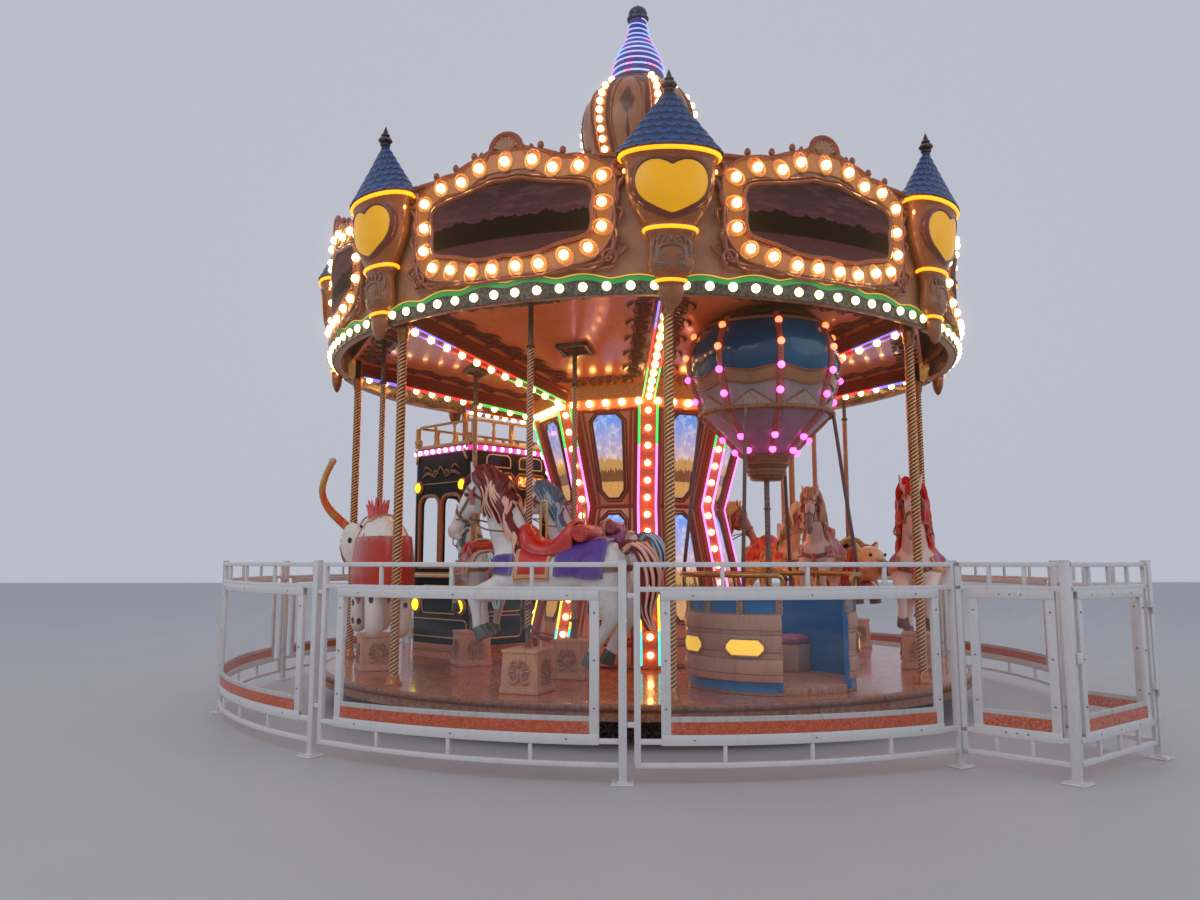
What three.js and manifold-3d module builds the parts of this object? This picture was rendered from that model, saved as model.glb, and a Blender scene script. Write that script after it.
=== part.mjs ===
// Fairground carousel with a round fence: eight bays, eight onion-roofed turrets, ten
// riding animals, a balloon gondola and a double-deck tram, all turning on one platform.
// Millimetres, +Z up, origin on the ground at the middle of the turntable.
// Plan angles are in degrees from -Y towards +X, so the nearest turret stands at angle 0.

import * as THREE from 'three';
import { mergeVertices } from 'three/addons/utils/BufferGeometryUtils.js';
import Module from 'manifold-3d';

const wasm = await Module();
wasm.setup();

// Gap left between pieces that rest on or against each other
const SEAT = 0.3;
const BAYS = 8;
const BAY_ANGLE = 360 / BAYS;

// Platform
const DECK_RADIUS = 2950;
const DECK_BOTTOM = 190;
const DECK_TOP = 300;
const DECK_SIDES = 48;

// Seats: the animals hang on rods in two rings
const OUTER_RING = 2520;
const INNER_RING = 1680;
const ROD_RADIUS = 19;
const ROD_SIDES = 8;
const ROD_BORE = ROD_RADIUS + 0.45;
const ROD_TOP = 3300;
const ROD_FOOT = 450;
const INNER_SCALE = 0.78;
const FIGURE_FACET = 12;

// Rod boxes that stand on the platform round each rod
const BOX_WIDTH = 300;
const BOX_HEIGHT = 300;
const BORE_FLOOR = 332;

// Centre column, an eight-sided waisted tower
const COLUMN_FOOT = 1060;
const COLUMN_WAIST = 790;
const COLUMN_TOP = 1030;
const COLUMN_TOP_Z = 2770;
const WAIST_Z = 1700;
const MAST_RADIUS = 460;

// Sloping ceiling, canopy frame and roof
const CEILING_RIM = 2850;
const CEILING_RIM_Z = 3186;
const CEILING_THICK = 30;
const RIB_WIDTH = 90;
const RIB_DEPTH = 150;
const SLOT_WIDTH = 170;
const SLOT_OUTWARD = 50;
const POLE_CIRCLE = 2783;
const POLE_RADIUS = 32;
const POLE_SIDES = 8;
const POLE_NOTCH = POLE_RADIUS + 6;
const BEAM_WIDTH = 65;
const BEAM_TOP = 3290;
const ROOF_EDGE_Z = 3860;
const ROOF_TOP_Z = 4880;
const ROOF_THICK = 40;
const ROOF_FLAT = 520;

// Rounding boards
const BOARD_INNER = 2862;
const ROOF_RADIUS = BOARD_INNER - 12;
const BOARD_THICK = 58;
const BOARD_BOTTOM = 2990;
const BOARD_TOP = 3952;
const BOARD_STEPS = 6;
const VALANCE_TOP = 3150;
const FRAME_THICK = 45;
// Right half of the picture frame's outline: distance from its middle, height
const FRAME_OUTLINE = [
  [0, 4205], [95, 4180], [145, 4100], [300, 4050], [420, 4000], [600, 3975], [720, 3962], [780, 3951],
  [870, 3940], [885, 3870], [820, 3720], [780, 3600], [790, 3380], [760, 3240], [680, 3165], [0, 3125],
];

// Turrets
const TURRET_BACK = 2952;
const TURRET_BEHIND = 78;
const TURRET_DEPTH = 0.52;
const TURRET_SIDES = 10;

// Dome, spire and finial on the roof
const DOME_FOOT = ROOF_TOP_Z + SEAT;
const DOME_NECK = 6190;
const SPIRE_TOP = 6815;
const FINIAL_TOP = 7010;

// Balloon gondola
const GONDOLA_ANGLE = 22.5;
const GONDOLA_CIRCLE = 2150;
const BASKET_RADIUS = 634;
const BASKET_FLOOR = 350;
const BASKET_TOP = 970;
const BASKET_WALL = 40;
const HOOP_Z = 2310;
const HOOP_RADIUS = 500;
const HAND_RAIL_Z = 1110;

// Tram
const TRAM_ANGLE = -135;
const TRAM_INNER = 1372;
const TRAM_OUTER = 2400;
const TRAM_HALF = 1000;
const TRAM_FLOOR = 60;
const TRAM_WALL = 40;
const TRAM_DECK_Z = 2400;
const TRAM_TOP_Z = 2680;

// Fence
const FENCE_RADIUS = 3720;
const FENCE_HEIGHT = 1200;
const FENCE_SPAN = 32;
const PORCH_SPAN = 20;
const PORCH_ANGLE = 36.35;
const PORCH_REACH = 4290;
const PORCH_HALF = 540;
const TUBE = 28;
const TIE = 22;
const BAY_TIES = 3;
const POST = 45;
const FOOT_PLATE = 130;
const FOOT_THICK = 10;
const PANEL_INSET = 112;
const FENCE_LEVELS = {
  bottomRail: [85, 113],
  panel: [210, 1035],
  secondRail: [1035, 1063],
  topRail: [1172, FENCE_HEIGHT],
};
const GATE_GAP = 6;
const PIN_RADIUS = 10;

const rad = THREE.MathUtils.degToRad;

const PAINT = {
  white: [0xd9d9d6, 0.35, 0.0],
  steel: [0x3a3633, 0.6, 0.6],
  deck: [0x9a5a34, 0.35, 0.0],
  brown: [0x96694b, 0.35, 0.0],
  orange: [0xb4552c, 0.3, 0.0],
  gold: [0xc98a3a, 0.25, 0.8],
  blue: [0x1d5f86, 0.25, 0.0],
  green: [0x123a2c, 0.3, 0.0],
  cream: [0xe6d8c4, 0.3, 0.0],
  peach: [0xc98d68, 0.4, 0.0],
  roof: [0x5c3a2a, 0.6, 0.0],
};

// Point on the plan at an angle and radius
function polar(angle, radius, z = 0) {
  return new THREE.Vector3(radius * Math.sin(rad(angle)), -radius * Math.cos(rad(angle)), z);
}

// Closed geometry to solid and back
function solid(geometry) {
  const bare = geometry.clone();
  bare.deleteAttribute('normal');
  bare.deleteAttribute('uv');
  const merged = mergeVertices(bare, 1e-3);
  const mesh = new wasm.Mesh({
    numProp: 3,
    vertProperties: new Float32Array(merged.attributes.position.array),
    triVerts: new Uint32Array(merged.index.array),
  });
  return new wasm.Manifold(mesh);
}

function geometryOf(body, tolerance = 0.02) {
  const mesh = body.asOriginal().simplify(tolerance).getMesh();
  const geometry = new THREE.BufferGeometry();
  geometry.setAttribute('position', new THREE.BufferAttribute(mesh.vertProperties, 3));
  geometry.setIndex(new THREE.BufferAttribute(mesh.triVerts, 1));
  geometry.computeVertexNormals();
  return geometry;
}

function join(geometries, tolerance) {
  return geometryOf(geometries.map(solid).reduce((sum, next) => sum.add(next)), tolerance);
}

function cut(geometry, tools) {
  return geometryOf(tools.map(solid).reduce((rest, tool) => rest.subtract(tool), solid(geometry)));
}

// Box from its lowest to its highest corner
function box(x, y, z) {
  const geometry = new THREE.BoxGeometry(x[1] - x[0], y[1] - y[0], z[1] - z[0]);
  geometry.translate((x[0] + x[1]) / 2, (y[0] + y[1]) / 2, (z[0] + z[1]) / 2);
  return geometry;
}

// Turned shape about a vertical axis, from [radius, height] pairs
function turned(profile, sides) {
  const points = profile.map(([radius, height]) => new THREE.Vector2(radius, height));
  return new THREE.LatheGeometry(points, sides).rotateX(Math.PI / 2);
}

// Round or tapered bar from one point to another
function bar(from, to, radius, sides = 6, endRadius = radius) {
  const start = new THREE.Vector3(...from);
  const along = new THREE.Vector3(...to).sub(start);
  const geometry = new THREE.CylinderGeometry(endRadius, radius, along.length(), sides);
  geometry.translate(0, along.length() / 2, 0);
  const up = new THREE.Vector3(0, 1, 0);
  geometry.applyQuaternion(new THREE.Quaternion().setFromUnitVectors(up, along.normalize()));
  return geometry.translate(start.x, start.y, start.z);
}

// Upright eight-sided rod whose flats match the bore that guides it
function rod(radius, z) {
  const geometry = new THREE.CylinderGeometry(radius, radius, z[1] - z[0], ROD_SIDES);
  return geometry.rotateX(Math.PI / 2).translate(0, 0, (z[0] + z[1]) / 2);
}

function ball(centre, radii, across = 8, down = 6) {
  const geometry = new THREE.SphereGeometry(1, across, down).rotateX(Math.PI / 2);
  return geometry.scale(...radii).translate(...centre);
}

// Upright plate drawn on its face: the outline holds [along, height] points
function plate(outline, thickness) {
  const shape = new THREE.Shape(outline.map(([u, v]) => new THREE.Vector2(u, v)));
  return new THREE.ExtrudeGeometry(shape, { depth: thickness, bevelEnabled: false });
}

// Upright slab drawn on its face, divided at the bend lines that cross it
function slab(u, v, thickness, bends = []) {
  const lines = [u[0], ...bends.filter((bend) => bend > u[0] + 1 && bend < u[1] - 1), u[1]];
  const steps = lines.length - 1;
  const geometry = new THREE.BoxGeometry(1, v[1] - v[0], thickness, steps, 1, 1);
  const place = geometry.attributes.position;
  for (let i = 0; i < place.count; i += 1) {
    place.setX(i, lines[Math.round((place.getX(i) + 0.5) * steps)]);
  }
  return geometry.translate(0, (v[0] + v[1]) / 2, thickness / 2);
}

// Lines that divide a length equally
function divide(from, to, steps) {
  return Array.from({ length: steps - 1 }, (_, i) => from + ((to - from) * (i + 1)) / steps);
}

// Bends a plate round the upright axis, its back at the given radius, flat between the bend lines
function wrapped(geometry, lines, radius, arcRadius = radius) {
  const place = geometry.attributes.position;
  for (let i = 0; i < place.count; i += 1) {
    const u = place.getX(i);
    const after = lines.findIndex((line) => line > u - 1e-3);
    const next = after < 0 ? lines.length - 1 : Math.max(after, 1);
    const reach = radius + place.getZ(i);
    const ends = [lines[next - 1], lines[next]];
    const [from, to] = ends.map((line) => polar(line / arcRadius / rad(1), reach));
    const spot = from.lerp(to, (u - lines[next - 1]) / (lines[next] - lines[next - 1]));
    place.setXYZ(i, spot.x, spot.y, place.getY(i));
  }
  return geometry;
}

// Plate drawn on its face, divided at the bend lines
function dividedPlate(outline, thickness, lines) {
  const whole = solid(plate(outline, thickness));
  const far = 1e4;
  const strips = lines.slice(1).map((line, i) => box([lines[i], line], [-far, far], [-far, far]));
  const parts = strips.map((strip) => whole.intersect(solid(strip)));
  return parts.filter((part) => !part.isEmpty()).map((part) => geometryOf(part));
}

// Stands a plate up flat, facing -Y, its back on the plane y = back
function upright(geometry, back) {
  return geometry.rotateX(Math.PI / 2).translate(0, back, 0);
}

const model = new THREE.Group();

function add(name, geometry, paint, parent = model) {
  const [color, roughness, metalness] = PAINT[paint];
  const material = new THREE.MeshStandardMaterial({ color, roughness, metalness });
  const mesh = new THREE.Mesh(geometry, material);
  mesh.name = name;
  parent.add(mesh);
  return mesh;
}

function turnedGroup(angle) {
  const group = new THREE.Group();
  group.rotation.z = rad(angle);
  model.add(group);
  return group;
}

// Ground frame: a ring and eight beams round the drum that carries the turntable
function baseFrame() {
  const beamTop = 120;
  const drum = turned([[0, 0], [450, 0], [450, DECK_BOTTOM - SEAT], [0, DECK_BOTTOM - SEAT]], 16);
  const ring = turned([[2400, 0], [2520, 0], [2520, beamTop], [2400, beamTop], [2400, 0]], 16);
  const pieces = [drum, ring];
  for (let i = 0; i < BAYS; i += 1) {
    pieces.push(box([-50, 50], [-2460, -300], [0, beamTop]).rotateZ(rad(i * BAY_ANGLE)));
  }
  return join(pieces);
}

const SEATS = [
  { name: 'white_horse', angle: -22.5, ring: OUTER_RING, kind: 'horse', lift: 1170 },
  { name: 'blue_maned_horse', angle: -22.5, ring: INNER_RING, kind: 'horse', lift: 1290 },
  { name: 'elephant', angle: -67.5, ring: OUTER_RING, kind: 'elephant', lift: 1290 },
  { name: 'grey_horse', angle: -67.5, ring: INNER_RING, kind: 'horse', lift: 1150 },
  { name: 'red_maned_horse', angle: 67.5, ring: OUTER_RING, kind: 'horse', lift: 1180 },
  { name: 'lilac_horse', angle: 67.5, ring: INNER_RING, kind: 'horse', lift: 1290 },
  { name: 'pig', angle: 112.5, ring: OUTER_RING, kind: 'pig', lift: 1130 },
  { name: 'cream_horse', angle: 112.5, ring: INNER_RING, kind: 'horse', lift: 1240 },
  { name: 'chestnut_horse', angle: 157.5, ring: OUTER_RING, kind: 'horse', lift: 1200 },
  { name: 'dapple_horse', angle: 157.5, ring: INNER_RING, kind: 'horse', lift: 1180 },
];

// Platform disc with a box round each rod, bored to guide it
function deck() {
  const disc = [[0, DECK_BOTTOM], [DECK_RADIUS, DECK_BOTTOM], [DECK_RADIUS, DECK_TOP], [0, DECK_TOP]];
  const half = BOX_WIDTH / 2;
  const boxes = [];
  const bores = [];
  for (const seat of SEATS) {
    const spot = polar(seat.angle, seat.ring);
    const stand = box([-half, half], [-half, half], [DECK_TOP - 5, DECK_TOP + BOX_HEIGHT]);
    boxes.push(stand.rotateZ(rad(seat.angle)).translate(spot.x, spot.y, 0));
    const bore = rod(ROD_BORE, [BORE_FLOOR, DECK_TOP + BOX_HEIGHT + 20]);
    bores.push(bore.rotateZ(rad(seat.angle + 180)).translate(spot.x, spot.y, 0));
  }
  return cut(join([turned(disc, DECK_SIDES), ...boxes]), bores);
}

function centreColumn() {
  const foot = DECK_TOP + SEAT;
  return turned([
    [0, foot], [COLUMN_FOOT, foot], [COLUMN_FOOT, 480], [865, 1150], [COLUMN_WAIST, WAIST_Z],
    [830, 2100], [930, 2400], [COLUMN_TOP, 2560], [COLUMN_TOP, COLUMN_TOP_Z],
    [MAST_RADIUS, COLUMN_TOP_Z], [MAST_RADIUS, roofUnderside(MAST_RADIUS) - 1], [0, roofUnderside(0)],
  ], BAYS);
}

function roofUnderside(radius) {
  const slope = (ROOF_TOP_Z - ROOF_EDGE_Z) / (ROOF_RADIUS - ROOF_FLAT);
  return ROOF_TOP_Z - ROOF_THICK - SEAT - Math.max(0, radius - ROOF_FLAT) * slope;
}

// Height of the ceiling's underside over a point of one bay, measured along the bay's middle
function ceilingZ(along) {
  const flat = Math.cos(rad(BAY_ANGLE / 2));
  const share = (along - COLUMN_TOP * flat) / ((CEILING_RIM - COLUMN_TOP) * flat);
  return COLUMN_TOP_Z + SEAT + share * (CEILING_RIM_Z - COLUMN_TOP_Z - SEAT);
}

// Eight sloping panels with a slot over each rod, deep ribs along their meeting lines, and a notch
// at the corners for the poles
function ceiling() {
  const inner = MAST_RADIUS + 20;
  const innerZ = COLUMN_TOP_Z + SEAT;
  const shell = turned([
    [inner, innerZ], [COLUMN_TOP, innerZ], [CEILING_RIM, CEILING_RIM_Z],
    [CEILING_RIM, CEILING_RIM_Z + CEILING_THICK], [COLUMN_TOP, innerZ + CEILING_THICK],
    [inner, innerZ + CEILING_THICK], [inner, innerZ],
  ], BAYS);
  const half = SLOT_WIDTH / 2;
  const height = [COLUMN_TOP_Z, BEAM_TOP];
  const slots = SEATS.map((seat) => {
    const slot = box([-half, half], [-seat.ring - SLOT_OUTWARD, -seat.ring + half], height);
    return slot.rotateZ(rad(seat.angle));
  });
  for (let i = 0; i < BAYS; i += 1) {
    const reach = [-CEILING_RIM - 50, -POLE_CIRCLE + POLE_NOTCH];
    slots.push(box([-POLE_NOTCH, POLE_NOTCH], reach, height).rotateZ(rad(i * BAY_ANGLE)));
  }
  const ribEnd = POLE_CIRCLE - POLE_NOTCH;
  const ribStart = COLUMN_TOP + SEAT;
  const [startZ, endZ] = [ribStart, ribEnd].map((radius) => ceilingZ(radius * Math.cos(rad(BAY_ANGLE / 2))));
  const rib = plate([
    [ribStart, startZ - RIB_DEPTH], [ribEnd, endZ - RIB_DEPTH], [ribEnd, endZ + 10], [ribStart, startZ + 10],
  ], RIB_WIDTH).translate(0, 0, -RIB_WIDTH / 2).rotateX(Math.PI / 2);
  const ribs = Array.from({ length: BAYS }, (_, i) => rib.clone().rotateZ(rad(i * BAY_ANGLE)));
  return join([cut(shell, slots), ...ribs]);
}

// Ring beam on the ceiling's rim with eight poles, and arms that carry the rounding boards
function canopyFrame() {
  const beamBottom = CEILING_RIM_Z + CEILING_THICK + SEAT;
  const beam = turned([
    [CEILING_RIM - BEAM_WIDTH, beamBottom], [CEILING_RIM, beamBottom], [CEILING_RIM, BEAM_TOP],
    [CEILING_RIM - BEAM_WIDTH, BEAM_TOP], [CEILING_RIM - BEAM_WIDTH, beamBottom],
  ], BAYS);
  const pieces = [beam];
  const cap = roofUnderside(POLE_CIRCLE + POLE_RADIUS);
  const armHalf = 50;
  const armEnd = BOARD_INNER - SEAT - armHalf * Math.tan(rad(BAY_ANGLE / BOARD_STEPS / 2));
  for (let i = 0; i < BAYS; i += 1) {
    const angle = rad(i * BAY_ANGLE);
    const height = cap - DECK_TOP - SEAT;
    const pole = new THREE.CylinderGeometry(POLE_RADIUS, POLE_RADIUS, height, POLE_SIDES);
    pole.rotateX(Math.PI / 2).translate(0, -POLE_CIRCLE, (cap + DECK_TOP + SEAT) / 2);
    pieces.push(pole.rotateZ(angle));
    const reach = [-armEnd, -CEILING_RIM + BEAM_WIDTH];
    pieces.push(box([-armHalf, armHalf], reach, [beamBottom + 5, BEAM_TOP - 5]).rotateZ(angle));
  }
  return join(pieces);
}

// One bay of rounding board with its raised picture frame and valance
function roundingBoard() {
  const half = (rad(BAY_ANGLE) * BOARD_INNER) / 2 - SEAT;
  const face = BOARD_INNER + BOARD_THICK - 10;
  const bends = divide(-half, half, BOARD_STEPS);
  const lines = [-half, ...bends, half];
  const mirrored = FRAME_OUTLINE.slice(1, -1).reverse().map(([u, z]) => [-u, z]);
  const board = slab([-half, half], [BOARD_BOTTOM, BOARD_TOP], BOARD_THICK, bends);
  const valance = slab([-half, half], [BOARD_BOTTOM, VALANCE_TOP], 30, bends);
  return join([
    wrapped(board, lines, BOARD_INNER),
    wrapped(valance, lines, face, BOARD_INNER),
    ...dividedPlate([...FRAME_OUTLINE, ...mirrored], FRAME_THICK, lines)
      .map((piece) => wrapped(piece, lines, face - 10, BOARD_INNER)),
  ]);
}

// Turret: pendant, carved neck, flared drum and tall scaled cone, about half as deep as wide and
// flat where it meets the boards
function turret() {
  const round = turned([
    [0, 2868], [58, 2890], [104, 2960], [104, 2985], [152, 3040], [160, 3200], [182, 3300], [186, 3330],
    [240, 3520], [338, 3880], [350, 3925], [368, 3945], [215, 4180], [62, 4400], [0, 4545],
  ], TURRET_SIDES).translate(0, -TURRET_BEHIND, 0).scale(1, TURRET_DEPTH, 1).translate(0, -TURRET_BACK, 0);
  const back = box([-500, 500], [-TURRET_BACK, -1500], [2800, BOARD_TOP + SEAT]);
  return cut(round, [back]);
}

function roofCone() {
  return turned([
    [0, ROOF_TOP_Z - ROOF_THICK], [ROOF_FLAT, ROOF_TOP_Z - ROOF_THICK],
    [ROOF_RADIUS, ROOF_EDGE_Z - ROOF_THICK], [ROOF_RADIUS, ROOF_EDGE_Z], [ROOF_FLAT, ROOF_TOP_Z],
    [0, ROOF_TOP_Z],
  ], 24);
}

function onionDome() {
  return turned([
    [0, DOME_FOOT], [500, DOME_FOOT], [455, 5090], [500, 5250], [565, 5500], [585, 5720],
    [545, 5940], [430, 6090], [285, 6165], [285, DOME_NECK], [0, DOME_NECK],
  ], 20);
}

function spire() {
  const foot = DOME_NECK + SEAT;
  return turned([[0, foot], [265, foot], [180, 6400], [105, SPIRE_TOP], [0, SPIRE_TOP]], 16);
}

function finial() {
  const foot = SPIRE_TOP + SEAT;
  return turned([
    [0, foot], [60, foot], [100, 6870], [88, 6930], [35, 6965], [0, FINIAL_TOP],
  ], 12);
}

// Balloon envelope, cut off along its top by the ceiling, on its post from the basket floor
function balloon() {
  const envelope = turned([
    [0, 1815], [125, 1815], [175, 1990], [330, 2170], [HOOP_RADIUS - 30, HOOP_Z - 25],
    [HOOP_RADIUS - 15, HOOP_Z + 10], [HOOP_RADIUS, 2400], [550, 2540], [578, 2680], [560, 2800],
    [520, 2900], [440, 3030], [370, 3125], [0, 3140],
  ], 16).translate(0, -GONDOLA_CIRCLE, 0);
  const slope = Math.atan2(ceilingZ(2000) - ceilingZ(1500), 500);
  const above = box([-900, 900], [-900, 900], [0, 900]).rotateX(-slope);
  above.translate(0, -GONDOLA_CIRCLE, ceilingZ(GONDOLA_CIRCLE) - SEAT);
  const post = bar([0, -GONDOLA_CIRCLE, BASKET_FLOOR + SEAT], [0, -GONDOLA_CIRCLE, 1900], 24, 8);
  return join([cut(envelope, [above]), post]);
}

// Round basket with a doorway facing outward and a bench across the back
function basket() {
  const floorZ = DECK_TOP + SEAT;
  const inner = BASKET_RADIUS - BASKET_WALL;
  const shell = turned([
    [0, floorZ], [BASKET_RADIUS - 70, floorZ], [BASKET_RADIUS, 440], [BASKET_RADIUS, BASKET_TOP],
    [inner, BASKET_TOP], [inner, 460], [inner - 60, BASKET_FLOOR], [0, BASKET_FLOOR],
  ], 20);
  const doorway = box([-290, 290], [-BASKET_RADIUS - 50, -200], [BASKET_FLOOR, BASKET_TOP + 50]);
  const bench = turned([[0, 340], [inner + 10, 470], [inner + 10, 640], [0, 640]], 20);
  const front = box([-700, 700], [-700, 170], [300, 700]);
  return join([cut(shell, [doorway]), cut(bench, [front])]).translate(0, -GONDOLA_CIRCLE, 0);
}

// Hoop, hand rail and the poles between the basket and the balloon
function gondolaFrame() {
  const hoop = turned([
    [HOOP_RADIUS + 14, HOOP_Z - 16], [HOOP_RADIUS + 46, HOOP_Z - 16], [HOOP_RADIUS + 46, HOOP_Z + 16],
    [HOOP_RADIUS + 14, HOOP_Z + 16], [HOOP_RADIUS + 14, HOOP_Z - 16],
  ], 16);
  const rail = turned([
    [BASKET_RADIUS - 2, HAND_RAIL_Z - 20], [BASKET_RADIUS + 38, HAND_RAIL_Z - 20],
    [BASKET_RADIUS + 38, HAND_RAIL_Z + 20], [BASKET_RADIUS - 2, HAND_RAIL_Z + 20],
    [BASKET_RADIUS - 2, HAND_RAIL_Z - 20],
  ], 16);
  const doorway = box([-290, 290], [-BASKET_RADIUS - 90, -200], [HAND_RAIL_Z - 60, HAND_RAIL_Z + 60]);
  const pieces = [hoop, cut(rail, [doorway])];
  const foot = BASKET_TOP + SEAT;
  const rail0 = BASKET_RADIUS + 8;
  const stem = BASKET_RADIUS - BASKET_WALL / 2;
  for (const angle of [50, 130, 230, 310]) {
    const low = polar(angle, stem, foot);
    const mid = polar(angle, rail0, HAND_RAIL_Z);
    const high = polar(angle, HOOP_RADIUS + 30, HOOP_Z);
    pieces.push(bar([low.x, low.y, low.z], [mid.x, mid.y, mid.z + 5], 16, 5));
    pieces.push(bar([mid.x, mid.y, mid.z], [high.x, high.y, high.z], 16, 5));
  }
  const seated = box([-900, 900], [-900, 900], [BASKET_TOP - 200, foot]);
  return cut(join(pieces), [seated]).translate(0, -GONDOLA_CIRCLE, 0);
}

// Lower saloon of the tram: walls, floor and ceiling, with windows and an outer doorway
function tramBody() {
  const low = DECK_TOP + SEAT;
  const inner = [-TRAM_OUTER + TRAM_WALL, -TRAM_INNER - TRAM_WALL];
  const shell = box([-TRAM_HALF, TRAM_HALF], [-TRAM_OUTER, -TRAM_INNER], [low, TRAM_DECK_Z]);
  const length = [-TRAM_HALF + TRAM_WALL, TRAM_HALF - TRAM_WALL];
  const room = box(length, inner, [low + TRAM_FLOOR, TRAM_DECK_Z - TRAM_FLOOR]);
  const through = [-TRAM_OUTER - 50, -TRAM_INNER + 50];
  const sideWindows = [[-900, -350], [350, 900]].map((x) => box(x, through, [1000, 1950]));
  const doorway = box([-290, 290], [-TRAM_OUTER - 50, -2000], [low + TRAM_FLOOR, 2150]);
  const innerWindow = box([-290, 290], [-1600, -TRAM_INNER + 50], [1000, 1950]);
  const middle = (TRAM_INNER + TRAM_OUTER) / 2;
  const ends = box([-TRAM_HALF - 50, TRAM_HALF + 50], [-middle - 330, -middle + 330], [1000, 1950]);
  return cut(shell, [room, ...sideWindows, doorway, innerWindow, ends]);
}

// Open upper deck of the tram: sill, posts and roof rail
function tramTop() {
  const foot = TRAM_DECK_Z + SEAT;
  const lowRail = [foot, foot + 45];
  const highRail = [TRAM_TOP_Z - 60, TRAM_TOP_Z];
  const hoops = [lowRail, highRail].map((z) => {
    const frame = (inset, height) => box(
      [-TRAM_HALF + inset, TRAM_HALF - inset], [-TRAM_OUTER + inset, -TRAM_INNER - inset], height,
    );
    return cut(frame(10, z), [frame(60, [z[0] - 10, z[1] + 10])]);
  });
  const posts = [];
  for (const y of [-TRAM_OUTER + 15, -TRAM_INNER - 55]) {
    for (const x of [-TRAM_HALF + 15, -480, 0, 440, TRAM_HALF - 55]) {
      posts.push(box([x, x + 40], [y, y + 40], [foot + 20, TRAM_TOP_Z - 30]));
    }
  }
  return join([...hoops, ...posts]);
}

// Riding animals: x forward from the rod, y outward, z from the middle of the barrel
function horseParts() {
  const parts = [
    ball([-250, 0, -40], [500, 195, 205], 8, 6),
    ball([-570, 0, 0], [190, 185, 190], 8, 6),
    bar([90, 0, 30], [370, 0, 560], 185, 6, 110),
    bar([370, 0, 600], [610, 0, 250], 100, 6, 55),
    bar([-660, 0, 120], [-880, 0, -380], 80, 5, 40),
  ];
  for (const side of [-105, 105]) {
    const swing = side > 0 ? 0 : -60;
    parts.push(bar([90, side, -80], [430 + swing, side, -235], 100, 4, 52));
    parts.push(bar([430 + swing, side, -210], [375 + swing, side, -500], 52, 4, 50));
    parts.push(bar([-590, side, -60], [-640 + swing, side, -390], 135, 4, 54));
    parts.push(bar([-640 + swing, side, -370], [-505 + swing, side, -660], 52, 4, 50));
  }
  return parts;
}

function elephantParts() {
  const parts = [
    ball([-220, 0, 0], [520, 275, 300], 8, 6),
    ball([300, 0, 90], [210, 190, 220], 8, 6),
    bar([420, 0, 60], [620, 90, 180], 85, 6, 62),
    bar([600, 80, 160], [640, 190, 520], 64, 6, 52),
    bar([640, 190, 500], [540, 200, 830], 52, 6, 40),
    bar([-700, 0, 80], [-770, 0, -250], 34, 5, 22),
    bar([250, 0, 100], [180, 330, 40], 150, 6, 110),
    bar([250, 0, 100], [180, -330, 40], 150, 6, 110),
  ];
  for (const side of [-135, 135]) {
    parts.push(bar([170, side, -120], [260, side, -640], 110, 6, 90));
    parts.push(bar([-500, side, -120], [-500, side, -640], 115, 6, 95));
  }
  return parts;
}

function pigParts() {
  const parts = [
    ball([-150, 0, 0], [450, 220, 240], 8, 6),
    ball([330, 0, 70], [190, 165, 175], 8, 6),
    bar([440, 0, 30], [600, 0, 0], 90, 7, 72),
    bar([-500, 0, 60], [-650, 0, 140], 30, 5, 20),
  ];
  for (const side of [-115, 115]) {
    parts.push(bar([90, side, -100], [260, side, -320], 82, 5, 50));
    parts.push(bar([-420, side, -90], [-500, side, -340], 92, 5, 50));
    parts.push(bar([280, side * 0.8, 190], [260, side * 1.25, 290], 55, 5, 22));
  }
  return parts;
}

const ANIMALS = { horse: horseParts, elephant: elephantParts, pig: pigParts };

function rider(seat) {
  const scale = seat.ring === INNER_RING ? INNER_SCALE : 1;
  const figure = join(ANIMALS[seat.kind](), FIGURE_FACET).scale(scale, scale, scale);
  return join([figure.translate(0, 0, seat.lift), rod(ROD_RADIUS, [ROD_FOOT, ROD_TOP])]);
}

// Upright tube frame and glazed panel of one fence panel, between the outer faces of its ends
function fencePanel(left, right, options) {
  const { bottomRail, panel, secondRail, topRail } = FENCE_LEVELS;
  const stileLeft = left + options.leftEnd + PANEL_INSET * options.inset;
  const stileRight = right - options.rightEnd - PANEL_INSET * options.inset;
  const bends = divide(left, right, options.ties + 1);
  const long = (v) => slab([left, right], v, TUBE, bends);
  const pieces = [long(topRail), long(secondRail), long([panel[0], panel[0] + TUBE]), long(bottomRail)];
  for (const u of bends) {
    for (const v of [[secondRail[1] - 5, topRail[0] + 5], [bottomRail[1] - 5, panel[0] + 5]]) {
      pieces.push(slab([u - TIE / 2, u + TIE / 2], v, TIE).translate(0, 0, (TUBE - TIE) / 2));
    }
  }
  pieces.push(slab([stileLeft, stileRight], [panel[0], secondRail[1]], TUBE, bends));
  for (const [from, width] of [[left, options.leftEnd], [right - options.rightEnd, options.rightEnd]]) {
    if (width > 0) {
      pieces.push(slab([from, from + width], [bottomRail[0], topRail[1]], TUBE));
    }
  }
  return pieces;
}

function post(x, y) {
  const half = POST / 2;
  const plateHalf = FOOT_PLATE / 2;
  return join([
    box([x - half, x + half], [y - half, y + half], [FOOT_THICK / 2, FENCE_HEIGHT + 12]),
    box([x - plateHalf, x + plateHalf], [y - plateHalf, y + plateHalf], [0, FOOT_THICK]),
  ]);
}

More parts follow.
